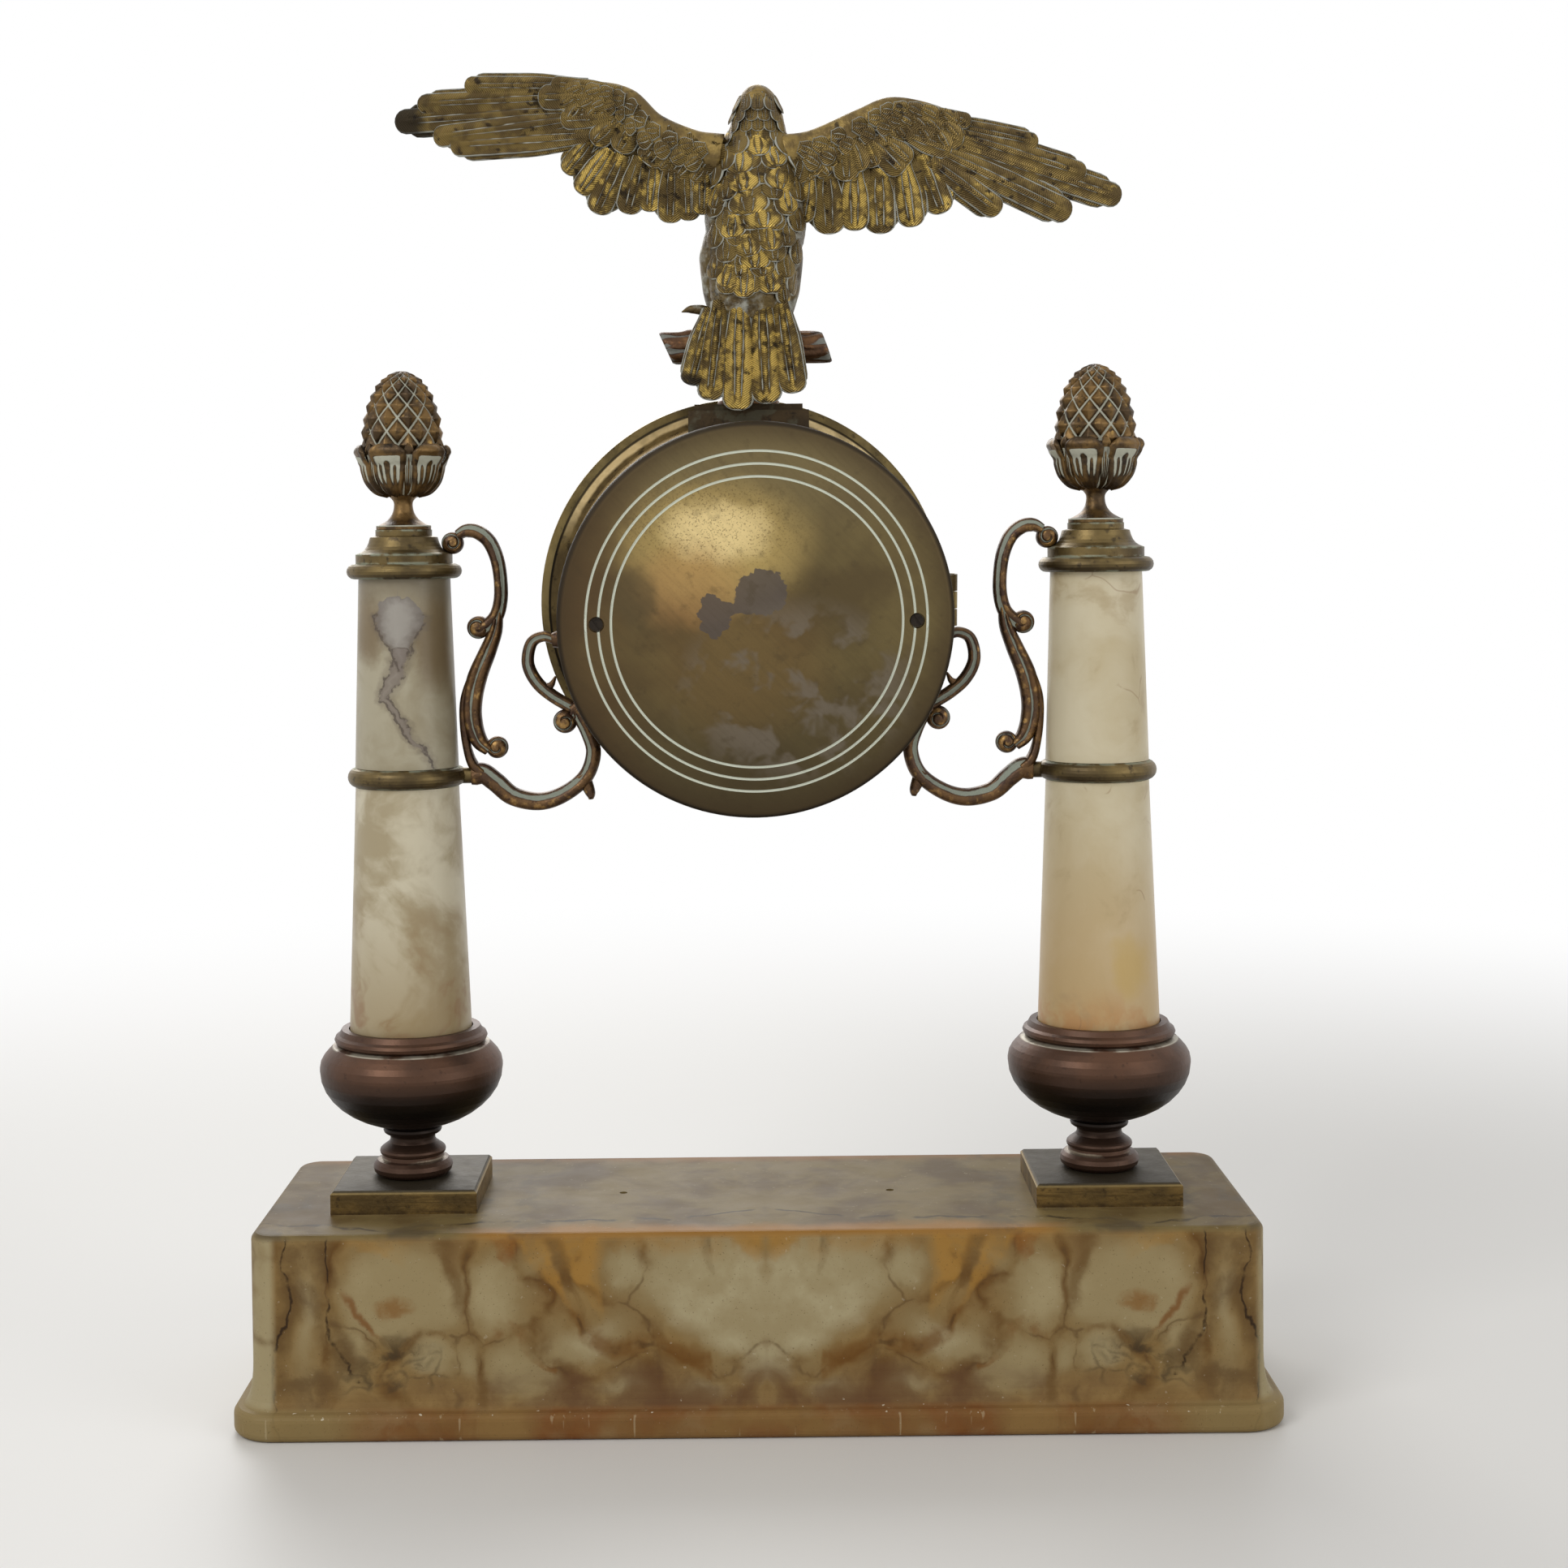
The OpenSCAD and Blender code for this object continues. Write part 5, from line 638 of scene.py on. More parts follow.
def pinecone():
    """Radius over height and angle: an egg-shaped outline, raised in lozenges. Two families of slanting
    lines cross, and the smaller of a point's distances to both makes each lozenge a four-sided pyramid."""
    steps = 104
    s = np.linspace(0, 1, steps)[:, None]
    angle = ring_of(240)[None, :]
    radius = CONE_R * (1 - s ** 2.4) ** 0.56 * (0.95 + 0.05 * smooth(s, 0, 0.25))
    climb = np.cumsum(1 / np.maximum(radius, 3.0), 0) * CONE_H / steps * CONE_ROUND / (2 * np.pi) * 0.9
    turn = angle / (2 * np.pi) * CONE_ROUND
    left = np.abs((turn + climb) % 1 - 0.5) * 2
    right = np.abs((turn - climb) % 1 - 0.5) * 2
    inset = np.minimum(1 - left, 1 - right)
    swell = 1.7 * np.clip((inset - 0.16) / 0.84, 0, 1) ** 0.85 - 0.45 * (1 - smooth(inset, 0.1, 0.22))
    r = np.maximum(radius + swell * np.minimum(1, radius / 6), 0.05)
    h = STEM_H + CUP_H - 3.5 + (CONE_H + 2.5) * s
    grid = np.stack([r * np.cos(angle), r * np.sin(angle), h + 0 * angle], -1)
    # Painted light: one side of each lozenge is painted brighter, as if lit from that side.
    lit = smooth((turn + climb) % 1 - (turn - climb) % 1, -0.5, 0.6)
    return grid[None], {"hollow": (1.05 * (1 - smooth(inset, 0.08, 0.18)) * smooth(radius, 1, 4))[None],
                        "high": (0.42 * smooth(inset, 0.2, 0.5) * lit)[None]}


def cup_leaves(count, phase, line, half_turn, lip):
    """One leaf's surface over its length and width, repeated round the axis. Lengthwise it follows the
    given line of (radius, height) points and ends in a thick rolled lip; across it has a midrib and a bead
    at either edge."""
    steps = 44
    s = np.linspace(0, 1, steps)
    line = spline(line, steps)
    ring = ring_of(40)
    across = np.sign(np.cos(ring)) * np.abs(np.cos(ring)) ** 0.75
    lift = np.sin(ring)
    slope = np.gradient(line, axis=0)
    slope /= np.linalg.norm(slope, axis=1)[:, None]
    normal = np.stack([slope[:, 1], -slope[:, 0]], -1)
    width = np.sqrt(np.clip(1 - smooth(s, 0.68, 1.02) ** 2, 0.02, 1)) * (0.82 + 0.18 * smooth(s, 0.1, 0.5))
    rib = np.exp(-(across / 0.1) ** 2)[None, :] * (1 - smooth(s, 0.5, 0.72))[:, None]
    veins = np.exp(-((np.abs(across) - 0.42) / 0.07) ** 2)[None, :]
    rib = rib + 0.8 * veins * (1 - smooth(s, 0.35, 0.62))[:, None]
    bead = np.exp(-((np.abs(across) - 0.84) / 0.14) ** 2)[None, :] + 0 * s[:, None]
    roll = (smooth(s, 0.74, 0.82) * (1 - smooth(s, 0.95, 1.0)))[:, None]
    out = 0.5 + 0.75 * rib + 0.85 * bead + lip * roll - 0.7 * (across ** 4)[None, :] * (1 - roll)
    thick = np.where(lift[None, :] > 0, out, 0.6) * lift[None, :]
    r = line[:, 0, None] + normal[:, 0, None] * thick
    h = line[:, 1, None] + normal[:, 1, None] * thick
    turn = phase + np.arange(count)[:, None, None] / count * 2 * np.pi
    turn = turn + half_turn * (width[:, None] * across[None, :])[None]
    grid = np.stack([r * np.cos(turn), r * np.sin(turn), STEM_H + h + 0 * turn], -1)
    pit = np.clip(1 - 1.25 * np.maximum(rib, bead), 0, 1) * (1 - smooth(s, 0.7, 0.76))[:, None]
    pit = pit * smooth(s, 0.12, 0.3)[:, None]
    ridge = np.clip(np.maximum(rib, bead) + 0.4 * roll, 0, 1)
    return grid, {"hollow": 0.95 * pit, "high": 0.12 * roll, "soot": 0.42 * ridge * (pit < 0.5)}


def finial_parts(x, phase):
    """All the finial's grids, moved to the column's axis and set on its cap."""
    stem = spline([(8.9, 0), (8.9, 1.3), (8.2, 1.5), (5.4, 3.1), (3.7, 5.2), (3.1, 7.4), (3.2, 9.2),
                   (4.4, 10.7), (5.4, 11.4), (8.6, 12.6), (11.0, 15.6), (11.9, 19.5), (11.6, 23.0),
                   (9.0, 25.0)], 70)
    # Painted shade and dirt: darker under the cup and at the foot's step.
    dirt_and_shade = smooth(stem[:, 1], 10.6, 11.6) * 0.85 + 0.8 * (1 - smooth(np.abs(stem[:, 1] - 1.2), 0.1, 0.5))
    broad = [(4.9, 0.2), (8.6, 1.3), (11.3, 4.2), (12.5, 7.6), (12.9, 9.6), (14.0, 11.0), (14.8, 12.8),
             (14.5, 14.6), (12.9, 15.6)]
    narrow = [(4.9, 0.3), (8.5, 1.6), (11.2, 4.6), (12.3, 8.2), (12.6, 10.8), (13.2, 12.8), (13.5, 14.6),
              (12.6, 16.2)]
    parts = [(turned_on(stem, 64), {"hollow": dirt_and_shade[None, :, None], "high": 0.2}), pinecone(),
             cup_leaves(6, phase, broad, 0.46, 0.6), cup_leaves(6, phase + math.pi / 6, narrow, 0.13, 0.2)]
    return [(grid + np.array([x, 0, FINIAL_Z]), marks) for grid, marks in parts]


pinecone_gilt = gilt("pinecone_gilt", tint(114, 88, 50), tint(70, 54, 34), tint(34, 25, 17),
                     tint(190, 190, 172), glow=tint(178, 144, 78))
build("pinecone_finial_left", finial_parts(-COLUMN_X, math.radians(66.5)), pinecone_gilt, "clock",
      "gilt_bronze", "finial_left")
build("pinecone_finial_right", finial_parts(COLUMN_X, math.radians(76.5)), pinecone_gilt, "clock",
      "gilt_bronze", "finial_right")

# Brackets: a flat cast scroll on each side holds the drum between the column's ring and its cap.
# Its strokes have a channel down each face; they are gilt on the ribs, with painted glints there, red-brown
# at the edges and crusted in the channel.

DRUM_R, DRUM_Z = 61.5, 254.5
LUG_X, LUG_Z = 91.95, 201.8
TOP_X, TOP_Z = 97.3, 278.1


def stroke(path, widths, depth, channel=0.9, at=0.0, spread=0.3):
    """A scroll's stroke: a rounded section with a channel down both faces, carried along a path in the
    bracket's plane. The section is a squared oval, the channel a bell-shaped dip at a share of its width."""
    p = spline(path, 18 * (len(path) - 1))
    d = np.gradient(p, axis=0)
    d /= np.linalg.norm(d, axis=1)[:, None]
    side = np.stack([-d[:, 1], d[:, 0]], -1)
    share = np.linspace(0, 1, len(p))
    half = np.interp(share, np.linspace(0, 1, len(widths)), widths)[:, None] / 2
    ring = ring_of(36)
    a = np.sign(np.cos(ring)) * np.abs(np.cos(ring)) ** 0.8
    b = np.sign(np.sin(ring)) * np.abs(np.sin(ring)) ** 0.7
    dip = np.exp(-((a - at) / spread) ** 2) * (np.abs(b) > 0.25)
    tall = np.minimum(depth / 2, half * 1.6 + 0.6)
    y = tall * b - np.minimum(channel, tall * 0.5) * dip * np.sign(b)
    x = p[:, 0, None] + side[:, 0, None] * half * a
    z = p[:, 1, None] + side[:, 1, None] * half * a
    grid = np.stack([x, y, z], -1)
    edge = smooth(np.abs(a), 0.72, 0.95)
    hollow = np.clip((1.0 if channel else 0.0) * dip + 0.3 * edge, 0, 1)
    return grid[None], {"hollow": hollow, "high": 0.4 * (1 - dip) * (1 - edge)}


def volute(centre, radius, depth, turn, hand):
    """A scroll's knob: a button, domed on both faces, with a spiral groove that runs out from its middle.
    The depth over radius and angle is a dome less a narrow dip where radius and angle are in step."""
    angle = ring_of(48)
    steps = 22
    share = np.concatenate([np.linspace(0.02, 1, steps), np.linspace(1, 0.02, steps)])
    face = np.repeat([1.0, -1.0], steps)
    r = radius * share
    phase = (hand * angle[None, :] / (2 * np.pi) + share[:, None] * 1.5 + turn) % 1
    dip = np.exp(-((phase - 0.5) / 0.13) ** 2) * smooth(share, 0.15, 0.4)[:, None]
    dip = dip * (1 - smooth(share, 0.9, 1.0))[:, None]
    dome = depth / 2 * np.sqrt(np.clip(1 - (share * 0.97) ** 2.4, 0.03, 1))[:, None]
    y = face[:, None] * (dome - 0.9 * dip)
    grid = np.stack([centre[0] + r[:, None] * np.cos(angle), y, centre[1] + r[:, None] * np.sin(angle)], -1)
    rim = smooth(share, 0.8, 1.0)[:, None]
    return grid[None], {"hollow": np.clip(0.8 * dip + 0.3 * rim, 0, 1)[None],
                        "high": (0.5 * (1 - dip) * (1 - rim))[None]}


def on_drum(angle, r):
    """A place at radius r from the drum's centre, at this angle below its middle."""
    return (r * math.cos(math.radians(angle)), DRUM_Z - r * math.sin(math.radians(angle)))


def bracket_parts(side):
    """The bracket's strokes, knobs and spikes, drawn for the right side and mirrored for the left."""
    low_pad, high_pad = on_drum(28.5, DRUM_R + 4.2), on_drum(7.5, DRUM_R + 3.0)
    top_scroll = [(TOP_X - 1.6, TOP_Z + 2.6), (TOP_X - 4.6, TOP_Z + 4.0), (88.9, 281.5), (85.1, 278.1),
                  (82.5, 271.2), (81.7, 261.7), (82.9, 255.0), (85.6, 251.4), (88.6, 249.4)]
    body = [(82.4, 256.5), (83.6, 249.5), (86.3, 242.6), (89.9, 234.0), (91.7, 225.7), (91.5, 219.0),
            (89.5, 213.2), (86.2, 210.0)]
    outer = [(87.4, 243.4), (91.9, 234.0), (94.3, 226.4), (94.5, 218.5), (93.4, 210.6), (91.6, 205.4),
             (88.6, 202.4)]
    belly = [(LUG_X, LUG_Z + 0.5), (88.6, 202.6), (84.2, 199.4), (78.6, 194.8), (70.0, 193.0),
             (62.1, 195.3), (54.8, 201.0), (52.1, 208.7), (53.9, 215.5), low_pad]
    loop = [low_pad, (65.2, 227.6), (70.4, 232.3), (73.2, 238.4), (72.0, 245.0), (68.2, 247.2), high_pad]
    parts = [
        stroke(top_scroll, [3.4, 4.6, 4.8, 4.6, 4.4, 4.6, 5.0, 5.0], 7.0, 0.9, -0.42, 0.36),
        stroke(body, [2.4, 4.4, 5.6, 6.5, 6.6, 6.4, 5.4, 4.0], 7.0, 1.3, 0.06, 0.17),
        stroke(outer, [1.0, 2.4, 2.6, 2.6, 2.8, 3.4, 3.6], 6.6, 0.0),
        stroke(belly, [6.2, 6.6, 6.4, 6.0, 5.6, 5.2, 5.0, 4.6, 4.4], 7.0, 0.9, -0.45, 0.36),
        stroke(loop, [4.2, 4.2, 4.2, 4.0, 3.6, 3.2], 5.6, 0.7, 0.0, 0.42),
        stroke([(56.2, 201.6), (54.4, 198.4), (53.2, 195.4), (53.0, 193.6)], [5.6, 4.2, 3.2, 1.6], 5.0, 0.0),
        stroke([(67.4, 230.2), (65.6, 231.4), (64.2, 234.0)], [3.4, 2.2, 0.7], 3.6, 0.0),
        stroke([low_pad, (58.6, 221.0), (61.0, 219.4)], [4.4, 3.6, 3.0], 5.6, 0.4),
        volute((TOP_X, TOP_Z), 3.6, 7.4, 0.1, 1), volute((89.2, 250.4), 3.75, 7.2, 0.35, 1),
        volute((83.6, 211.0), 3.6, 7.2, 0.6, -1), volute((61.2, 219.3), 3.9, 7.4, 0.2, -1)]
    for angle, out in ((28.5, 4.2), (7.5, 3.0)):
        foot, head = on_drum(angle, DRUM_R + 0.1), on_drum(angle, DRUM_R + out + 1.2)
        parts.append(stroke([foot, on_drum(angle, DRUM_R + 1.5), head], [6.6, 6.2, 4.6], 6.4, 0.0))
    parts.append(stroke([(LUG_X + 0.1, LUG_Z), (LUG_X - 1.6, LUG_Z), (LUG_X - 4, LUG_Z)], [6.2, 6.4, 5.4],
                        6.4, 0.0))
    return [(grid * np.array([side, 1, 1]), marks) for grid, marks in parts]


bracket_gilt = gilt("bracket_gilt", tint(98, 72, 44), tint(74, 54, 38), tint(52, 35, 27), tint(150, 157, 142),
                    glow=tint(166, 130, 76))
build("bracket_left", bracket_parts(-1), bracket_gilt, "clock", "gilt_bronze", "scroll_bracket_left")
build("bracket_right", bracket_parts(1), bracket_gilt, "clock", "gilt_bronze", "scroll_bracket_right")

# Drum: a wall of sheet brass, the cast seat in its front and the bezel that swings on a hinge with its
# bowed glass. The brass has dulled to olive brown. The seat's flange is painted bright above, a painted
# reflection, and a dark line along its edge is a painted shadow.

DRUM_TILT = (math.radians(84.5), 0.0, math.radians(4.5))


def in_drum(t):
    """A point's place in the drum's own frame, in millimetres: seen from the dial, x is to the right, y up
    and z towards the eye."""
    return t.add("Mapping", {"vector_type": "TEXTURE"}, {
        "Vector": t.add("TexCoord", out="Object"), "Location": (0, 0, DRUM_Z / 1000), "Rotation": DRUM_TILT,
        "Scale": (0.001, 0.001, 0.001)})


def round_axis(t, x, y):
    """Distance from the drum's axis."""
    return t.maths("SQRT", x * x + y * y)


paint, shader, t = finish("drum_brass", metallic=0.75)
place = in_drum(t)
x, y, z = axes(t, place)
metal = old_brass(t, place, tint(134, 116, 72), tint(96, 82, 52), tint(52, 43, 29))
turning = t.add("CombineXYZ", None, {0: round_axis(t, x, y) * 4, 1: z * 4, 2: 0.0})
metal = blend(t, 0.3 * veil(t, clouds(t, turning, 0.5, 2), 0.5, 0.7), metal, tint(70, 58, 36))
rub = veil(t, clouds(t, place, 0.05, 3), 0.42, 0.62)
metal = blend(t, 0.6 * rub, metal, tint(164, 144, 94))
coat(t, shader, metal, 0.28 + 0.2 * clouds(t, place, 0.2), clouds(t, place, 0.6, 3), 0.08)
dress(paint, "bezel", "hinge_pin", "case_straps")

paint, shader, t = finish("seat_brass", metallic=0.8)
place = in_drum(t)
x, y, _ = axes(t, place)
metal = old_brass(t, place, tint(118, 100, 62), tint(84, 70, 45), tint(46, 37, 25))
r = round_axis(t, x, y)
# Painted reflection: the flange is painted bright above the middle.
bright = veil(t, y + 0.1 * x, 26, 40) * (0.45 + 0.55 * veil(t, clouds(t, place, 0.08, 4), 0.3, 0.52))
bright = bright * veil(t, r + 2 * (clouds(t, place, 0.1) - 0.5), 62.6, 63.6)
metal = blend(t, 0.92 * bright, metal, tint(236, 212, 160))
# Painted shadow: a dark line along the flange's edge, as of a gap.
gap = veil(t, r, 65.0, 65.5) * (1 - veil(t, r, 66.2, 66.6))
metal = blend(t, 0.92 * gap, metal, tint(26, 21, 14))
coat(t, shader, metal, 0.26 + 0.2 * clouds(t, place, 0.2) + 0.3 * gap, clouds(t, place, 0.6, 3), 0.08)
dress(paint, "bezel_seat")

paint, shader, t = finish("wall_brass", metallic=0.8)
place = in_drum(t)
x, y, z = axes(t, place)
metal = old_brass(t, place, tint(96, 81, 52), tint(74, 61, 40), tint(44, 36, 25))
# Painted reflection: the wall is painted bright at the front above the middle.
bright = veil(t, y + 0.3 * x, 14, 44) * veil(t, clouds(t, place, 0.08, 4), 0.28, 0.5) * veil(t, z, 4, 16)
metal = blend(t, 0.6 * bright, metal, tint(190, 162, 110))
# Painted shadow: the wall darkens towards the back, next to the cover.
metal = blend(t, 0.7 * (1 - veil(t, z, -22, -6)), metal, tint(46, 37, 26))
coat(t, shader, metal, 0.28 + 0.2 * clouds(t, place, 0.2) - 0.1 * bright, clouds(t, place, 0.6, 3), 0.08)
dress(paint, "drum_case")

paint, shader, _ = finish("bezel_crystal")
shader.inputs["Roughness"].default_value = 0.03
shader.inputs["Base Color"].default_value = (0.96, 0.98, 0.97, 1)
shader.inputs["Transmission Weight"].default_value = 1.0
shader.inputs["IOR"].default_value = 1.47
dress(paint, "bezel_glass")

# Dial: a white enamelled disc in the bezel's seat, with Roman hours, a minute track and a winding hole.
# The marks are fired black enamel, a hair proud of the white; the hands are pierced from blued steel.

DIAL_FACE = 22.7
tilt = Matrix.Rotation(DRUM_TILT[2], 3, "Z") @ Matrix.Rotation(DRUM_TILT[0], 3, "X")
DRUM_AXES = np.array(tilt)


def from_drum(grid):
    """Points of the drum's frame in the clock's: turned by the drum's tilt, then raised to its centre."""
    return grid @ DRUM_AXES.T + np.array([0, 0, DRUM_Z])


def bars(lines):
    """Flat bars from rows of (x0, y0, x1, y1, width at start, width at end): each end has four corners,
    half a width to either side of the line and a little above the dial."""
    lines = np.asarray(lines, float)
    start, end = lines[:, 0:2], lines[:, 2:4]
    d = end - start
    d /= np.linalg.norm(d, axis=1)[:, None]
    side = np.stack([-d[:, 1], d[:, 0]], -1)
    rows = np.stack([start, end], 1)
    half = lines[:, 4:6, None, None] / 2
    corner = np.array([[-1, 0.02], [1, 0.02], [1, 0.14], [-1, 0.14]])
    flat = rows[:, :, None, :] + side[:, None, None, :] * half * corner[None, None, :, :1]
    high = np.broadcast_to(DIAL_FACE + corner[:, 1], flat.shape[:3])
    return np.concatenate([flat, high[..., None]], -1)


TRACK_IN, TRACK_OUT, HOUR_IN, HOUR_OUT = 50.2, 53.4, 38.0, 47.6
HOURS = ["XII", "I", "II", "III", "IIII", "V", "VI", "VII", "VIII", "IX", "X", "XI"]
GLYPHS = {"I": [(0, 0, 0, 1, 1.5, 1.5)], "V": [(-0.26, 1, 0, 0, 1.7, 1.3), (0.26, 1, 0, 0, 0.7, 0.5)],
          "X": [(-0.26, 1, 0.26, 0, 1.7, 1.7), (0.26, 1, -0.26, 0, 0.7, 0.7)]}
GLYPH_WIDTH = {"I": 3.0, "V": 6.4, "X": 6.4}
tall = HOUR_OUT - HOUR_IN
marks = []
for hour, word in enumerate(HOURS):
    turn = -math.radians(30 * hour)
    at = -sum(GLYPH_WIDTH[c] for c in word) / 2
    strokes = []
    for letter in word:
        middle = at + GLYPH_WIDTH[letter] / 2
        at += GLYPH_WIDTH[letter]
        strokes += [(middle + x0 * tall, HOUR_IN + y0 * tall, middle + x1 * tall, HOUR_IN + y1 * tall, w0, w1)
                    for x0, y0, x1, y1, w0, w1 in GLYPHS[letter]]
        reach = GLYPH_WIDTH[letter] / 2 - 0.1
        strokes += [(middle - reach, end, middle + reach, end, 0.5, 0.5) for end in (HOUR_IN, HOUR_OUT)]
    c, s = math.cos(turn), math.sin(turn)
    marks += [(x0 * c - y0 * s, x0 * s + y0 * c, x1 * c - y1 * s, x1 * s + y1 * c, w0, w1)
              for x0, y0, x1, y1, w0, w1 in strokes]
minute = np.radians(6 * np.arange(60))
thick = np.where(np.arange(60) % 5 == 0, 1.5, 0.5)
ticks = np.stack([TRACK_IN * np.sin(minute), TRACK_IN * np.cos(minute), TRACK_OUT * np.sin(minute),
                  TRACK_OUT * np.cos(minute), thick, thick], -1)
chord = np.radians(3 * np.arange(121))
chords = np.stack([np.sin(chord[:-1]), np.cos(chord[:-1]), np.sin(chord[1:]), np.cos(chord[1:])], -1)
thin = np.full((len(chords), 2), 0.45)
rings = [np.hstack([radius * chords, thin]) for radius in (TRACK_IN, TRACK_OUT)]

paint, shader, t = finish("dial_white")
place = in_drum(t)
x, y, _ = axes(t, place)
white = blend(t, clouds(t, place, 0.04), tint(236, 232, 218), tint(224, 218, 200))
white = blend(t, 0.4 * veil(t, round_axis(t, x, y), 48, 58), white, tint(196, 182, 152))
hair = 1 - veil(t, cells(t, stirred(t, place, 0.05, 20), 0.02), 0.0, 0.004)
hair = hair * veil(t, clouds(t, place, 0.03), 0.5, 0.6)
white = blend(t, 0.4 * hair, white, tint(120, 108, 88))
centre = 1 - veil(t, abs(round_axis(t, x, y) - 21), 0.2, 0.5)
white = blend(t, 0.5 * centre, white, tint(140, 112, 60))
coat(t, shader, white, 0.12 + 0.1 * clouds(t, place, 0.2), clouds(t, place, 0.05, 2), 0.05)
dress(paint, "dial")

paint, shader, t = finish("dial_black")
place = in_mm(t)
coat(t, shader, blend(t, clouds(t, place, 0.4), tint(24, 22, 24), tint(52, 46, 44)), 0.3,
     clouds(t, place, 1.0, 2), 0.05)
build("dial_marks", [(from_drum(bars(np.concatenate([np.array(marks), ticks, *rings]))), {})], paint,
      "clock", "enamel")

paint, shader, t = finish("blued_steel", metallic=0.9)
place = in_mm(t)
coat(t, shader, blend(t, veil(t, clouds(t, place, 0.3), 0.35, 0.65), tint(34, 42, 82), tint(24, 26, 48)),
     0.24, clouds(t, place, 1.2, 2), 0.06)
dress(paint, "hour_hand", "minute_hand")

# Back cover: a spun brass dome over the drum's open back, held by two slotted screws into the case straps.
# Three engraved rings are filled with pale wax. A gold patch above the middle is partly worn lacquer and
# partly a painted reflection; lower down it is darker and stained, and a painted shadow darkens the rim.

paint, shader, t = finish("cover_brass", metallic=0.78)
place = in_drum(t)
x, y, z = axes(t, place)
fine = stirred(t, place, 0.12, 7)
fx, fy, _ = axes(t, fine)
r = round_axis(t, x, y)
metal = blend(t, veil(t, clouds(t, place, 0.03, 4), 0.38, 0.62), tint(104, 90, 56), tint(86, 72, 45))
metal = blend(t, 0.6 * veil(t, y, 20, 52), metal, tint(118, 104, 72))
metal = blend(t, 0.75 * (1 - veil(t, y, -58, -8)), metal, tint(72, 62, 42))
metal = blend(t, 0.6 * veil(t, x, 24, 56), metal, tint(84, 62, 38))
metal = blend(t, 0.55 * oval(t, x, y, (6, -12), (26, 22), 0.9), metal, tint(112, 88, 52))
# Painted reflection, partly worn lacquer: a gold patch above the middle with a brighter core.
gold = oval(t, fx, fy, (13, 25), (26, 18), 0.95)
metal = blend(t, gold, metal, tint(172, 148, 90))
metal = blend(t, oval(t, fx, fy, (13, 29), (15, 9), 0.95), metal, tint(222, 198, 140))
rose = oval(t, fx, fy, (22, 12), (16, 12), 0.95)
metal = blend(t, 0.5 * rose, metal, tint(170, 128, 78))
speck = veil(t, clouds(t, place, 1.6, 4), 0.54, 0.64) * (oval(t, x, y, (14, 32), (26, 14), 0.8) + 0.25)
metal = blend(t, 0.45 * speck, metal, tint(92, 72, 44))
sx, sy, _ = axes(t, stirred(t, fine, 0.5, 3.2))
stain = oval(t, sx, sy, (-1, 10), (8.2, 7.4), 0.15) + oval(t, sx, sy, (14, 2), (5, 6.6), 0.15)
stain = stain + oval(t, sx, sy, (8, 5.6), (4.5, 2), 0.3)
metal = blend(t, 0.9 * veil(t, stain, 0.1, 0.7), metal, tint(86, 77, 70))
metal = blend(t, 0.7 * oval(t, fx, fy, (39, 8.5), (7, 9), 0.6), metal, tint(88, 74, 48))
bloom = veil(t, clouds(t, stirred(t, place, 0.06, 12), 0.06, 3), 0.50, 0.60)
bloom = bloom * oval(t, x, y, (-12, -22), (34, 26), 0.6)
metal = blend(t, 0.75 * bloom, metal, tint(116, 106, 92))
brush = t.add("CombineXYZ", None, {0: (x + y) * 0.15, 1: (x - y) * 2.2, 2: z})
metal = blend(t, 0.14 * veil(t, clouds(t, brush, 0.25, 4), 0.42, 0.7), metal, tint(70, 60, 40))
spotty = veil(t, clouds(t, place, 0.22, 5), 0.56, 0.72)
metal = blend(t, 0.3 * spotty, metal, tint(70, 58, 38))
edge = veil(t, r, 53, 64)
metal = blend(t, 0.75 * edge, metal, tint(66, 52, 32))
# Painted shadow: a dark band along the rim.
rim_shadow = veil(t, r, 61.6, 62.8)
metal = blend(t, 0.85 * rim_shadow, metal, tint(42, 34, 23))
INNER_RING, MIDDLE_RING, OUTER_RING = 46.4, 50.4, 54.4
groove = t.maths("MINIMUM", abs(r - MIDDLE_RING), abs(r - INNER_RING))
groove = t.maths("MINIMUM", abs(r - OUTER_RING), groove)
ring = 1 - veil(t, groove, 0.30, 0.48)
metal = blend(t, 0.92 * ring, metal, tint(218, 222, 206))
t.put(0.75 * (1 - ring), shader.inputs["Metallic"])
coat(t, shader, metal, 0.26 + 0.18 * clouds(t, place, 0.15) + 0.2 * bloom + 0.35 * ring + 0.3 * rim_shadow,
     clouds(t, place, 0.4, 3), 0.05)
dress(paint, "back_cover")

paint, shader, t = finish("dark_screws", metallic=0.8)
place = in_mm(t)
coat(t, shader, old_brass(t, place, tint(52, 45, 37), tint(36, 31, 26), tint(22, 18, 15)), 0.4,
     clouds(t, place, 0.8, 3), 0.1)
dress(paint, "cover_screws", "bracket_screws")

# Saddle and perch: a brass block fitted to the drum carries a cast log on a short boss, all on one stud.
# The log has bark in low relief and slanting cut ends; it has gone coppery, with grey crust on its ends.

SADDLE_TOP, PERCH_Z, PERCH_TOP = 322.0, 340.9, 346.3


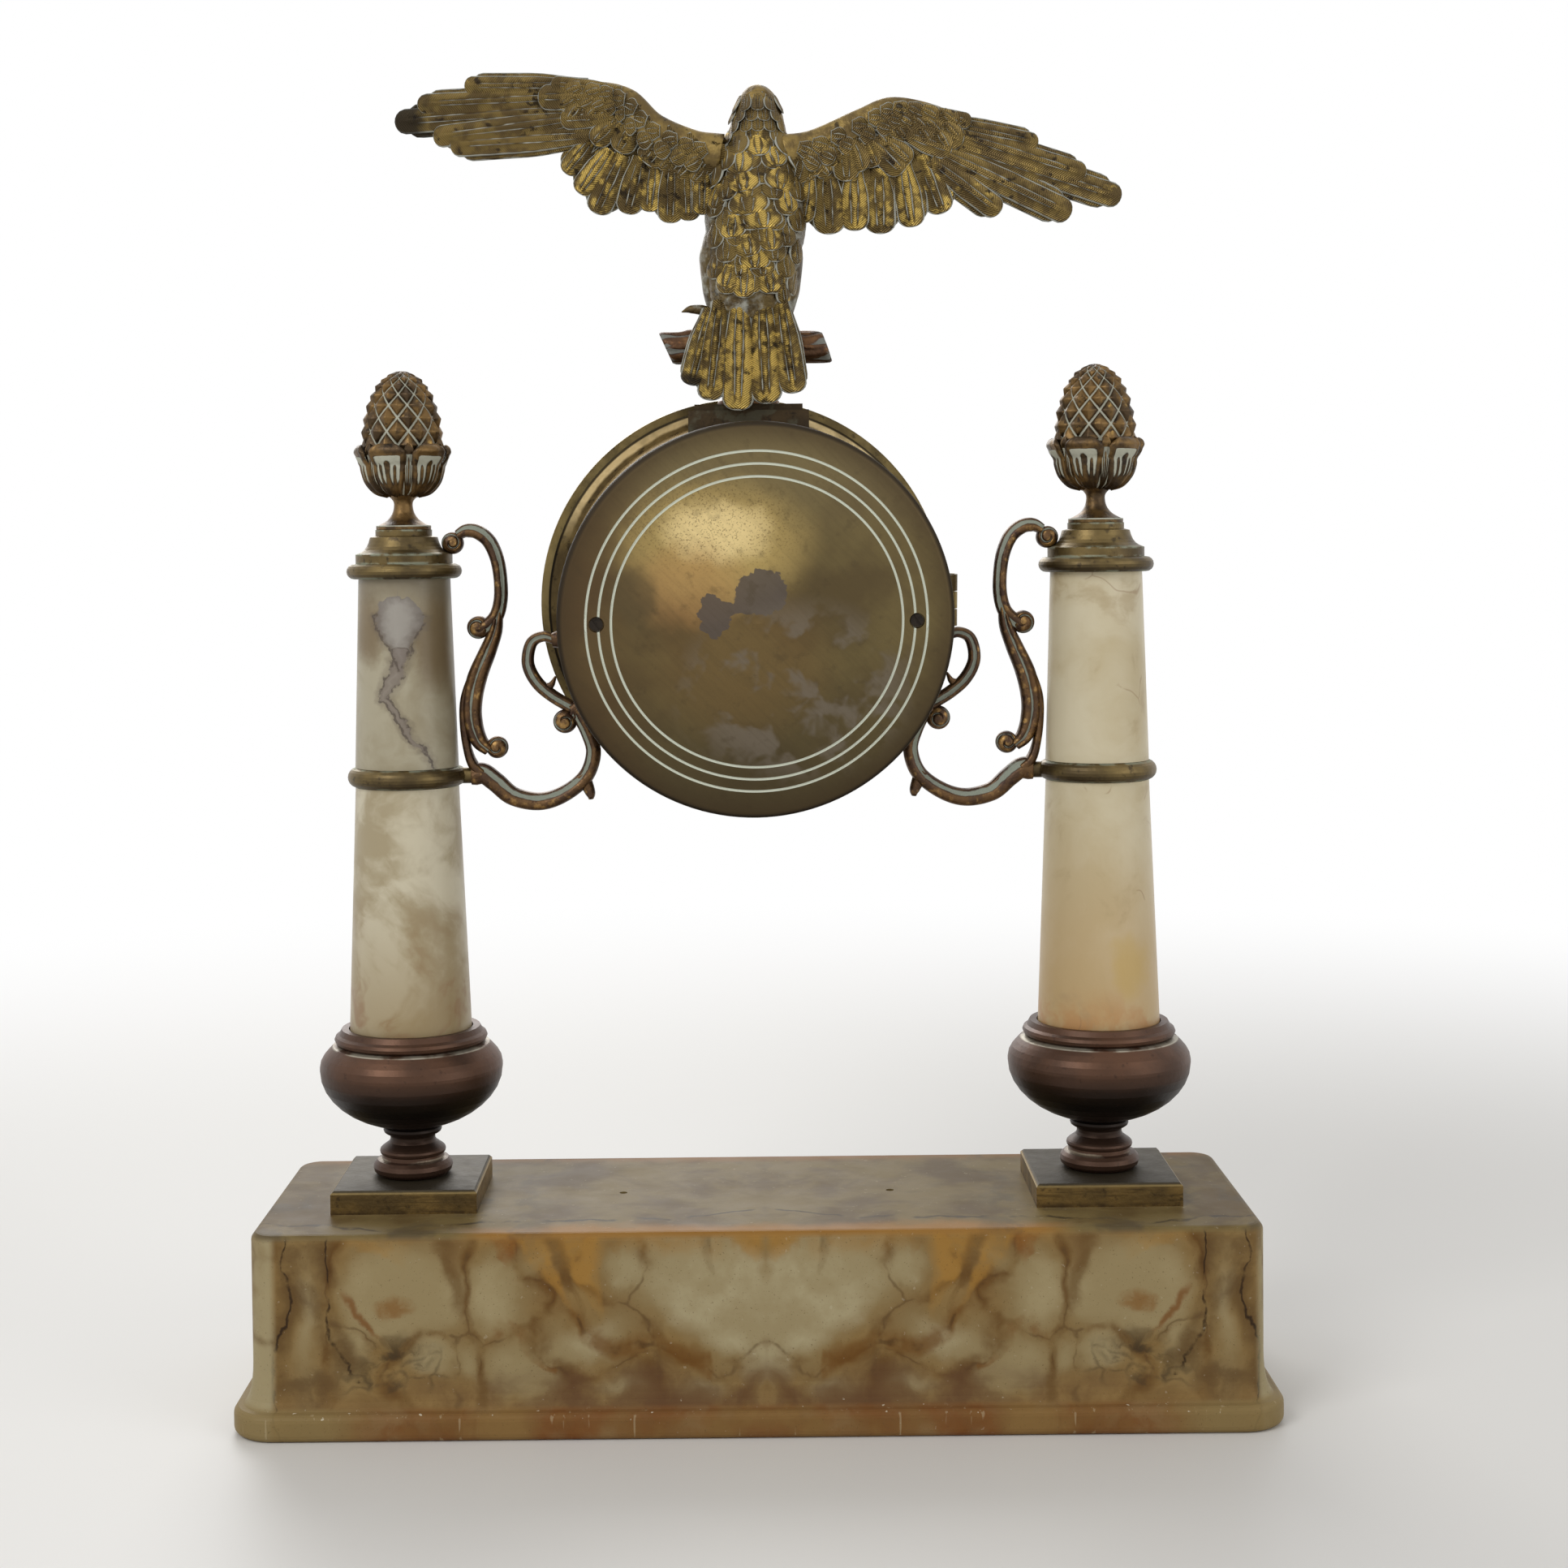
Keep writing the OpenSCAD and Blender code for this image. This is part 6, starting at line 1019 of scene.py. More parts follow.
def log():
    """Bark on a round log: the radius over length and angle is even but for long wandering furrows and a
    knot, and the ends are cut on a slant, so the length depends on the height."""
    s = np.linspace(0, 1, 60)[:, None]
    angle = ring_of(72)[None, :]
    wander = angle + 0.5 * np.sin(5 * s + 1) + 0.12 * np.sin(17 * s)
    furrow = np.maximum(np.sin(6 * wander + 2 * np.sin(9 * s)), np.sin(11 * wander + 3 * s + 2) - 0.25)
    knot = np.exp(-((s - 0.8) / 0.05) ** 2 - ((angle - 0.5 * np.pi) / 0.5) ** 2)
    r = 5.0 + 0.32 * furrow + 0.8 * knot - 0.5 * np.exp(-(np.minimum(s, 1 - s) / 0.012) ** 2)
    z = r * np.sin(angle) + 0 * s
    x = (1 - s) * (-25.8 + 0.35 * z) + s * (26.8 + 0.45 * z)
    grid = np.stack([x, r * np.cos(angle) + 0 * s, PERCH_Z + z], -1)
    ends = smooth(np.abs(s - 0.5), 0.40, 0.49) + 0 * angle
    return grid[None], {"hollow": np.clip(0.34 - 0.5 * furrow + 0.5 * ends, 0, 1)[None],
                        "high": (0.3 * smooth(furrow, 0.3, 1))[None]}


boss = spline([(10, 0), (10, 1.3), (8.6, 2.2), (6.9, 4.2), (6.1, 7), (5.9, 11), (5.6, 15.5), (4, 18)], 36)
boss_parts = turned_on(boss, 48) + np.array([0, 0, SADDLE_TOP])
log_gilt = gilt("log_bronze", tint(110, 78, 48), tint(88, 62, 42), tint(60, 42, 32), tint(128, 130, 122),
                glow=tint(140, 92, 48))
build("perch_log", [log(), (boss_parts, {"hollow": 0.25, "high": 0.2})], log_gilt, "clock", "gilt_bronze",
      "perch")

paint, shader, t = finish("saddle_brass", metallic=0.75)
place = in_mm(t)
z = axes(t, place)[2]
metal = old_brass(t, place, tint(72, 57, 36), tint(50, 40, 26), tint(30, 23, 16))
metal = blend(t, 0.8 * (1 - veil(t, abs(z - 320.2), 0.2, 0.9)), metal, tint(58, 46, 30))
metal = blend(t, 0.25 * veil(t, clouds(t, place, 0.14), 0.54, 0.64), metal, tint(112, 112, 92))
coat(t, shader, metal, 0.34 + 0.2 * clouds(t, place, 0.2), clouds(t, place, 0.6, 3), 0.12)
dress(paint, "eagle_saddle")
dress(rod_steel, "eagle_stud")

# Eagle: a cast and chased bird of gilt bronze with spread wings; its body and two wings are pinned together.
# Every feather has a rounded tip, a double rib and fine barbs cut with a graver; crust lies in the cuts.

LANE = np.array([-1, -0.94, -0.8, -0.6, -0.42, -0.3, -0.22, -0.15, -0.07, 0, 0.07, 0.15, 0.22, 0.3, 0.42,
                 0.6, 0.8, 0.94, 1, 0.75, 0.25, -0.25, -0.75])
FACE_LANES = 19
OUTER = np.arange(len(LANE)) < FACE_LANES
LENGTH = np.array([0, 0.08, 0.18, 0.29, 0.4, 0.51, 0.61, 0.7, 0.78, 0.85, 0.905, 0.945, 0.972, 0.988, 0.997,
                   1.0])
chance = np.random.default_rng(7)


def feathers(root, tip, width, thick, face, rib=1.0, curl=0.0, soot=0.0, high=0.3):
    """A batch of feathers as closed shells. Lengthwise each widens, then ends in a round tip; across, its
    face is an arched oval with a middle rib between two cut grooves that draw together towards the tip."""
    root, tip, face = (np.asarray(v, float) for v in (root, tip, face))
    d = tip - root
    long = np.linalg.norm(d, axis=1)
    d = d / long[:, None]
    side = np.cross(d, face)
    side /= np.linalg.norm(side, axis=1)[:, None]
    up = np.cross(side, d)
    s, lane = LENGTH[None, :, None], LANE[None, None, :]
    width, thick = np.asarray(width, float)[:, None, None], np.asarray(thick, float)[:, None, None]
    blunt = np.clip(0.42 * width / long[:, None, None], 0.06, 0.45)
    tail_off = np.clip((s - 1 + blunt) / blunt, 0, 1)
    half = width / 2 * (0.62 + 0.38 * smooth(s, 0, 0.5)) * np.sqrt(np.clip(1 - tail_off ** 2.1, 0.0006, 1))
    over = np.sqrt(np.clip(1 - lane ** 2, 0, 1)) ** 0.6 * np.where(OUTER, 1.0, -0.6)
    gap = 0.34 - 0.16 * s
    fade = smooth(s, 0.02, 0.16) * (1 - smooth(s, 0.84, 0.96))
    groove = np.exp(-((np.abs(lane) - gap) / 0.07) ** 2) * fade * OUTER
    quill = np.exp(-(lane / 0.09) ** 2) * fade * OUTER
    slim = (1 - 0.45 * s) * np.sqrt(np.clip(1 - tail_off ** 3, 0.02, 1))
    raise_by = thick * 0.5 * over * slim + rib * (0.22 * quill - 0.42 * groove) - 0.10 * half * lane ** 2
    raise_by = raise_by + curl * s ** 2
    grid = (root[:, None, None, :] + (s * long[:, None, None])[..., None] * d[:, None, None, :]
            + (half * lane)[..., None] * side[:, None, None, :] + raise_by[..., None] * up[:, None, None, :])
    vary = chance.random((len(root), 1, 1))
    # The tag hollow paints shade and dirt along the rim, in the grooves and at the root, where crust lies
    # too.
    rim = np.maximum(smooth(np.abs(lane), 0.74, 0.94), smooth(tail_off, 0.8, 0.97))
    marks = {"hollow": np.clip(0.8 * rim + 0.8 * groove + 0.25 * (1 - smooth(s, 0, 0.12)), 0, 1),
             "high": (high + 0.3 * (vary - 0.5)) * (1 - rim) * (1 - groove),
             "along": s * long[:, None, None] + 40 * vary, "across": half * lane,
             "soot": np.broadcast_to(soot, len(root))[:, None, None] * smooth(s, 0.7, 0.98)}
    return grid, marks


def tube(path, radii, columns=20, flat=1.0, marks=None):
    """A round section carried along a path in space, as wide as the radii say and pressed flat in depth."""
    p = spline(path, 9 * (len(path) - 1))
    r = np.interp(np.linspace(0, 1, len(p)), np.linspace(0, 1, len(radii)), radii)
    d = np.gradient(p, axis=0)
    d /= np.linalg.norm(d, axis=1)[:, None]
    aside = np.cross(d, np.where(np.abs(d[:, 1:2]) > 0.8, [[1.0, 0, 0]], [[0, 1.0, 0]]))
    aside /= np.linalg.norm(aside, axis=1)[:, None]
    depth = np.cross(aside, d)
    ring = ring_of(columns)
    grid = (p[:, None] + r[:, None, None] * (np.cos(ring)[None, :, None] * aside[:, None]
            + flat * np.sin(ring)[None, :, None] * depth[:, None]))
    return grid[None], dict(marks or {"hollow": 0.15, "high": 0.2})


def on_perch(parts):
    """Grids drawn with their heights from the perch's top, raised to it."""
    return [(grid + np.array([0, 0, PERCH_TOP]), marks) for grid, marks in parts]


def wing_depth(x):
    """How far towards the back the wing lies, by its distance from the middle: a shallow bow."""
    return 4 - 9 * (x / 115) ** 2


def wing_rows(table, lift, grow, face=1.0):
    """Roots, tips, widths and faces of a table's feathers (x, z, x, z, width), laid on the bowed wing."""
    rows = np.asarray(table, float)
    lift = np.asarray(lift, float) * face
    root = np.stack([rows[:, 0], wing_depth(rows[:, 0]) + lift, rows[:, 1]], -1)
    tip = np.stack([rows[:, 2], wing_depth(rows[:, 2]) + lift * 0.8, rows[:, 3]], -1)
    return root, tip, rows[:, 4] * grow, np.tile([0, face, 0], (len(rows), 1))


def arm_scales(arm, arm_r):
    """Three rows of small feathers over a wing's arm, as a table, and how high each lies on the arm's
    rounding: each leaves the arm's line slanting out and down."""
    steps = 60
    line = spline(arm, steps)
    spot = np.linspace(52, 6, 10).astype(int)
    d = np.gradient(line, axis=0)[spot]
    d /= np.linalg.norm(d, axis=1)[:, None]
    out = np.sign(line[-1, 0])
    row = np.array([-5.6, -2.6, 0.6])[:, None, None]
    side = np.stack([-out * d[:, 1], out * d[:, 0]], -1)[None]
    step, reach, drop = np.array([(0, 1, 0), (0.6, 0.8, 0.9), (5.0, 3.8, 2.6)])[:, :, None, None]
    root = line[spot][None] + row * side + 1.6 * d[None] * step
    tip = root + 6.4 * d[None] * reach - np.array([0, 1.0]) * drop
    r = np.interp(spot / steps, np.linspace(0, 1, len(arm_r)), arm_r)[None, :]
    lift = np.maximum(0.62 * np.sqrt(np.clip(r ** 2 - row[..., 0] ** 2, 0, None)) + 0.3, 1.9)
    table = np.concatenate([root, tip, np.full(root.shape[:2] + (1,), 6.4)], -1)
    return table.reshape(-1, 5), lift.reshape(-1)


def wing_parts(arm, arm_r, primaries, secondaries, coverts, web, tips):
    """A wing's arm, its long outer and inner feathers, the small feathers over both faces, and the web
    that shows pale in the gaps. Tips says how far each outer feather's end is blackened."""
    bone = [(x, wing_depth(x), z) for x, z in arm]
    parts = [tube(bone, arm_r, 24, 0.62, {"hollow": 0.1, "high": 0.15})]
    root, tip, width, face = wing_rows(web, 0.0, 1.0)
    parts.append(feathers(root, tip, width, 0 * width + 2.2, face, 0.0, 0.0, 0.0, 0.0))
    parts[-1][1]["hollow"] = 0.45
    for table, high, soot in ((primaries, 0.2, np.asarray(tips)), (secondaries, 0.52, 0.15)):
        step = np.arange(len(table))
        root, tip, width, face = wing_rows(table, 0.35 * (step % 2) + 0.16 * step, 1.28)
        parts.append(feathers(root, tip, width, 0 * width + 2.6, face, 1.0, 0.5, soot, high))
        low_root, low_tip = root - [0, 0.9, 0], tip - (tip - root) * 0.06 - [0, 0.9, 0]
        parts.append(feathers(low_root, low_tip, width * 1.35, 0 * width + 1.8, -face, 0.8, 0.0, soot, high))
    step = np.arange(len(coverts))
    for side in (1.0, -1.0):
        root, tip, width, face = wing_rows(coverts, 1.7 + 0.07 * step, 1.22, side)
        parts.append(feathers(root, tip, width, 0 * width + 2.6, face, 0.8, 0.2, 0.0, 0.2))
        table, lift = arm_scales(arm, arm_r)
        root, tip, width, face = wing_rows(table, lift, 1.0, side)
        parts.append(feathers(root, tip, width, 0 * width + 2.4, face, 0.4, 0.2, 0.0, 0.15))
    return parts


eagle_gilt = gilt("eagle_gilt", tint(134, 112, 62), tint(100, 82, 47), tint(34, 25, 15),
                  tint(178, 179, 168), 0.75, tint(212, 180, 94))
WING_RIGHT = dict(
    arm=[(8, 57), (17.7, 59), (30.5, 65), (38.8, 73.6), (47.9, 77.5), (61.5, 79.6)],
    arm_r=[6.5, 6.0, 5.8, 5.2, 3.6, 1.6],
    primaries=[(51, 79.7, 91.5, 80.8, 5.0), (51, 76.2, 107.2, 75.2, 5.4), (52, 72.4, 114.8, 69.7, 6.5),
               (51, 69.4, 102.0, 64.3, 5.8), (48, 63.6, 96.5, 61.7, 6.6)],
    secondaries=[(50, 62.2, 58.8, 51.5, 5.7), (44, 58.8, 54.3, 44.8, 6.5), (40, 57, 49.0, 38.2, 7.3),
                 (34, 56.2, 38.8, 37.8, 7.0), (30, 54.6, 31.6, 38.4, 6.1), (24, 53.8, 24.8, 34.6, 6.8),
                 (19, 53, 18.7, 35.3, 6.1), (14, 52.2, 14.5, 37.1, 5.3), (9, 51.4, 10.7, 36.7, 5.0)],
    coverts=[(50, 75.9, 67.3, 76.1, 7.2), (43, 69.7, 60.1, 68.8, 6.1), (43, 66.7, 49.6, 60.7, 6.5),
             (40, 77.3, 63.0, 80.4, 4.6), (38, 74.2, 51.3, 74.0, 6.9), (36, 66.6, 41.6, 57.9, 7.6),
             (26, 61.9, 32.2, 53.6, 8.8), (20, 58.8, 24.6, 51.3, 8.4), (12, 58.0, 16.2, 50.4, 8.4),
             (34, 71.9, 40.4, 67.4, 6.9), (30, 67.3, 36.6, 64.3, 6.5), (23, 64.2, 28.3, 59.7, 6.9),
             (16, 61.8, 20.7, 57.3, 7.3), (9, 60.2, 10.9, 53.4, 7.3)],
    web=[(12, 55, 30, 58, 13), (26, 58, 44, 61, 13), (32, 64, 50, 66, 12), (36, 69, 54, 71, 11),
         (42, 74, 66, 76, 8), (46, 66, 66, 65, 11), (30, 52, 46, 50, 13), (12, 48, 32, 46, 13)],
    tips=(0.1, 0.5, 0.95, 0.35, 0.25))
WING_LEFT = dict(
    arm=[(-12, 57), (-22.5, 59), (-37.7, 66), (-47.2, 70.4), (-58.3, 70.2), (-71.8, 67)],
    arm_r=[6, 5.6, 5.2, 4.6, 3.2, 1.6],
    primaries=[(-61, 67.2, -95.5, 60.3, 5.0), (-68, 63.2, -111.3, 50.3, 5.8),
               (-66, 60.4, -123.1, 42.8, 6.6), (-60, 58.7, -106.2, 37.2, 7.0),
               (-60, 54.5, -82.8, 37.8, 6.4)],
    secondaries=[(-57, 56.2, -64.0, 37.3, 7.6), (-51, 53.3, -54.0, 32.8, 7.2),
                 (-43, 51.8, -43.6, 30.6, 8.2), (-35, 51.1, -35.1, 31.6, 7.6),
                 (-26, 51.2, -27.0, 30.5, 8.6), (-20, 50.4, -17.9, 34.2, 6.4),
                 (-14, 50.4, -13.0, 36.5, 5.4)],
    coverts=[(-54, 65.5, -70.9, 61.0, 7.6), (-52, 62.4, -66.9, 57.5, 6.4), (-50, 71.2, -73.4, 66.8, 4.6),
             (-39, 61.7, -51.0, 50.5, 7.2), (-46, 60.1, -53.4, 53.6, 6.4), (-38, 62.5, -42.3, 52.2, 7.2),
             (-32, 58.6, -32.7, 47.5, 7.2), (-27, 61.1, -27.2, 51.9, 9.2), (-40, 68.8, -48.7, 63.4, 7.2),
             (-34, 60.2, -37.5, 50.6, 8.0), (-21, 57.2, -22.4, 49.2, 8.0), (-18, 54.8, -16.0, 46.9, 6.4)],
    web=[(-16, 54, -36, 57, 13), (-30, 58, -50, 61, 13), (-38, 62, -60, 62, 13), (-44, 67, -66, 65, 8),
         (-52, 60, -76, 56, 12), (-34, 50, -54, 48, 13), (-16, 46, -38, 44, 13), (-50, 54, -68, 48, 12)],
    tips=(0.1, 0.35, 0.3, 0.2, 0.3))
build("eagle_wing_right_feathers", on_perch(wing_parts(**WING_RIGHT)), eagle_gilt, "clock", "gilt_bronze",
      "eagle_wing_right")
build("eagle_wing_left_feathers", on_perch(wing_parts(**WING_LEFT)), eagle_gilt, "clock", "gilt_bronze",
      "eagle_wing_left")

TRUNK = np.array([(3, 0, 9, 8.5, 4), (8, -0.8, 7, 12, 7), (14, -1.2, 5.2, 13.6, 9.6),
                  (22, -1.8, 3.4, 14.6, 12), (30, -3, 1.4, 16, 13.6), (40, -3, 0, 16.8, 13.8),
                  (48, -3, -1, 16, 13), (55, -3, -1, 13.6, 11.2), (60, -3.6, -1.2, 11, 9.6),
                  (64, -4, -1.5, 9.5, 8.6), (69, -4, -2.2, 8.4, 8.3), (74, -4, -3, 7, 7.6),
                  (77.4, -4, -3.3, 5.2, 6), (79.6, -4, -3.4, 3, 3.6), (80.5, -4, -3.4, 0.5, 0.7)])


def trunk():
    """The body from the tail's root to the crown: ovals whose centre and half sizes follow the height."""
    rows = spline(TRUNK, 90)
    ring = ring_of(64)
    z, cx, cy, rx, ry = (rows[:, k, None] for k in range(5))
    pluck = 0.22 * np.sin(9 * ring + 0.9 * z) * np.sin(1.1 * z + 3 * np.sin(2 * ring)) * smooth(rx, 2, 6)
    x, y = cx + (rx + pluck) * np.cos(ring), cy + (ry + pluck) * np.sin(ring)
    grid = np.stack([x, y, z + 0 * ring], -1)
    pits = smooth(-pluck, 0.05, 0.2) * smooth(z, 55, 68)
    return grid[None], {"hollow": np.clip(0.56 * (1 - smooth(z, 50, 62)) + 0.7 * pits, 0, 1)[None],
                        "high": 0.1}


def on_trunk(x, z, front):
    """The body's surface at this x and height, on the back or the front, and the way it faces there."""
    cx, cy, rx, ry = (np.interp(z, TRUNK[:, 0], TRUNK[:, k]) for k in range(1, 5))
    a = np.clip((x - cx) / rx, -0.96, 0.96)
    b = np.sqrt(1 - a * a)
    face = np.stack([a / rx, front * b / ry, 0 * a], -1)
    spot = np.stack([cx + rx * a, cy + front * ry * b, z], -1)
    return spot, face / np.linalg.norm(face, axis=1)[:, None]


def plumage(table, front, thick, rib, high):
    """Small feathers on the body, from rows of (x, z, x, z, width); each tip leaves the surface a little."""
    rows = np.asarray(table, float)
    root, face = on_trunk(rows[:, 0], rows[:, 1], front)
    tip, out = on_trunk(rows[:, 2], rows[:, 3], front)
    return feathers(root - 0.3 * face, tip + 0.9 * out, rows[:, 4], 0 * rows[:, 0] + thick, face + out, rib,
                    0.2, 0.0, high)


BACK = [(-6.5, 18.9, -7.2, 10.6, 9.4), (5.1, 19.8, 6.7, 12.3, 8.6), (-10.7, 17.4, -11.3, 7.6, 6.4),
        (0.6, 19.7, 1.1, 9.2, 8), (-2.5, 24.5, -2.4, 18.2, 10.6), (0.5, 29, -0.9, 22, 9.4),
        (-7.0, 31.9, -7.7, 24, 9.4), (4.2, 35.6, 4.3, 28.1, 10), (-4.8, 38, -5.5, 31, 13.6),
        (-12.4, 43.9, -13.2, 36.4, 8.6), (-0.4, 44, -1.1, 35.5, 14), (8, 46, 9.6, 38, 8),
        (1.1, 49.6, 0.4, 43.1, 11.6), (-11.0, 50.7, -10.2, 43.4, 11.4), (1.7, 56.9, 1.8, 49, 10),
        (-8.1, 57.5, -9.6, 51.6, 9), (-3.6, 61.3, -4.3, 55, 8.6)]
NAPE = [(x + 0.5 * (row % 2) * 3.6 - 4, z + 2, x + 0.5 * (row % 2) * 3.6 - 4, z - 3.6, 4.2)
        for row, z in enumerate((60, 63.5, 67, 70.5, 74)) for x in (-7.2, -3.6, 0, 3.6, 7.2)]
BREAST = [(x + (row % 2) * 3.2 - 4.6, z + 3, (x + (row % 2) * 3.2 - 4.6) * 1.04, z - 4.6, 7.4)
          for row, z in enumerate((20, 26, 32, 38, 44, 50, 56, 62)) for x in (-9.6, -3.2, 3.2, 9.6)]
SCALES = [(x + (row % 2) * 3.6 - 4.8, z + 3.4, (x + (row % 2) * 3.6 - 4.8) * 1.03, z - 4.4, 8.8)
          for row, z in enumerate((15, 20, 25, 30, 35, 40, 45, 50, 55, 60)) for x in (-10.8, -3.6, 3.6, 10.8)]
TAIL = [(12.0, 6, 18.3, -18.5, 7.2), (8.8, 8.5, 12.4, -23.5, 7.6), (2.4, 9, 3.4, -26.9, 8.9),
        (-4.7, 9, -5.9, -24.8, 8.9), (-10.6, 8.5, -14.6, -21.5, 8.0)]


def tail_parts():
    """The fan of broad tail feathers, with a second layer beneath that shows on the dial's side."""
    rows = np.asarray(TAIL)
    layer = np.array([-1.6, -0.4, 0.4, 0.1, -0.5])
    root = np.stack([rows[:, 0], 10.4 + layer, rows[:, 1]], -1)
    tip = np.stack([rows[:, 2], 20.4 + layer, rows[:, 3]], -1)
    face = np.tile([0, 1.0, 0.3], (len(rows), 1))
    upper = feathers(root, tip, rows[:, 4] * 1.16, np.full(len(rows), 3.6), face, 1.5, -0.6,
                     np.array([0.8, 0, 0, 0, 0]), 0.6)
    low_root, low_tip = root - [0, 1.5, 0], tip - (tip - root) * 0.04 - [0, 1.5, 0]
    under = feathers(low_root, low_tip, rows[:, 4] * 1.3, np.full(len(rows), 2.4), -face, 1.0, 0.0, 0.2, 0.3)
    return [upper, under]


def leg_parts(x, knee):
    """A thigh, a shank and four toes with claws that close round the log."""
    steps = 7
    shank = [(knee, -0.5, 33), (knee * 1.06, 0.5, 24), (knee, 0, 13), (x, 0, 3)]
    parts = [tube(shank, [3.5, 5.4, 4.9, 3.0], 28, 1.3, {"hollow": 0.56, "high": 0.0})]
    for shift, front, reach in ((-3.4, -1, 118), (0, -1, 130), (3.4, -1, 118), (0.6, 1, 96)):
        turn = np.radians(np.linspace(78, 90 - reach, steps))
        wrap = 5.4 + 1.7 + 0.9 * np.sin(np.linspace(0, np.pi, steps))
        path = np.stack([x + shift * np.linspace(0.4, 1, steps), front * wrap * np.cos(turn),
                         PERCH_Z - PERCH_TOP + wrap * np.sin(turn)], -1)
        parts.append(tube(path, [2.0, 1.9, 1.6, 1.75, 1.3, 1.0, 0.25], 14, 1.0, {"hollow": 0.5, "high": 0.1}))
    return parts


HEAD_X = -4


def head_parts():
    """The head's front with its hooked beak, two brows and two eyes, on the dial's side."""
    beak = [(HEAD_X, 1, 72.4), (HEAD_X, -4, 73.6), (HEAD_X, -9.6, 72.4), (HEAD_X, -13.4, 71),
            (HEAD_X, -16.8, 69), (HEAD_X, -18.2, 66.2), (HEAD_X, -18, 64.2)]
    jaw = [(HEAD_X, -10, 69.4), (HEAD_X, -13, 68.2), (HEAD_X, -16, 67)]
    parts = [tube(beak, [5.6, 6.6, 5.6, 3.4, 2.6, 1.4, 0.2], 28), tube(jaw, [2.8, 2.2, 0.4], 16)]
    for side in (-1, 1):
        brow = [(HEAD_X + side * 4.6, -4.5, 75.4), (HEAD_X + side * 4.9, -8.4, 75),
                (HEAD_X + side * 3, -12, 73)]
        eye = [(HEAD_X + side * 4, -8.6, 73.2), (HEAD_X + side * 5, -8.9, 73.2),
               (HEAD_X + side * 5.7, -9.1, 73.2)]
        parts.append(tube(brow, [0.4, 1.3, 0.5], 12))
        parts.append(tube(eye, [1.3, 1.1, 0.2], 14, 1.0, {"hollow": 0.6, "high": 0.5}))
    return parts


spur = tube([(11, 4, 6), (15, 4.4, 6.6), (18.6, 4.4, 6.8), (21.4, 4.2, 6)], [1.2, 1.7, 1.3, 0.15], 14, 1.0,
            {"hollow": 0.5, "high": 0.0})
body_parts = [trunk(), plumage(SCALES, 1.0, 2.6, 0.35, 0.3), plumage(BACK, 1.0, 3.4, 0.5, 0.62),
              plumage(NAPE, 1.0, 1.5, 0.6, 0.15), plumage(BREAST, -1.0, 2.2, 0.5, 0.3), spur, *tail_parts(),
              *head_parts(), *leg_parts(9, 9.6), *leg_parts(-11, -12.2)]
build("eagle_body_feathers", on_perch(body_parts), eagle_gilt, "clock", "gilt_bronze", "eagle_body")

# Movement: two brass plates held apart by four pillars, carried by its feet on the seat behind the dial.
# Plates, pillars and balance cock are rolled brass, grained lengthwise and lacquered, with brown spots.


def grained(t, place, light, deep):
    """Brushed metal: noise drawn out along one direction, over soft clouds."""
    x, y, z = axes(t, place)
    drawn = t.add("CombineXYZ", None, {0: x * 0.12, 1: y * 3.0, 2: z * 3.0})
    metal = blend(t, veil(t, clouds(t, place, 0.05, 4), 0.38, 0.62), light, deep)
    return blend(t, 0.35 * veil(t, clouds(t, drawn, 0.5, 3), 0.45, 0.65), metal, deep)


paint, shader, t = finish("plate_lacquer", metallic=0.9)
place = in_drum(t)
metal = grained(t, place, tint(190, 160, 92), tint(150, 122, 66))
metal = blend(t, 0.7 * veil(t, clouds(t, place, 0.3, 3), 0.64, 0.70), metal, tint(88, 66, 38))
coat(t, shader, metal, 0.26 + 0.16 * clouds(t, place, 0.2), clouds(t, place, 0.7, 2), 0.05)
dress(paint, "front_plate", "back_plate", "pillars", "movement_feet", "balance_cock")

# Screws, click and winding work: hardened steel, ground bright, with a brown tarnish in the corners.
# The barrel's arbor carries the ratchet wheel; the click is held into its teeth by a bent spring.

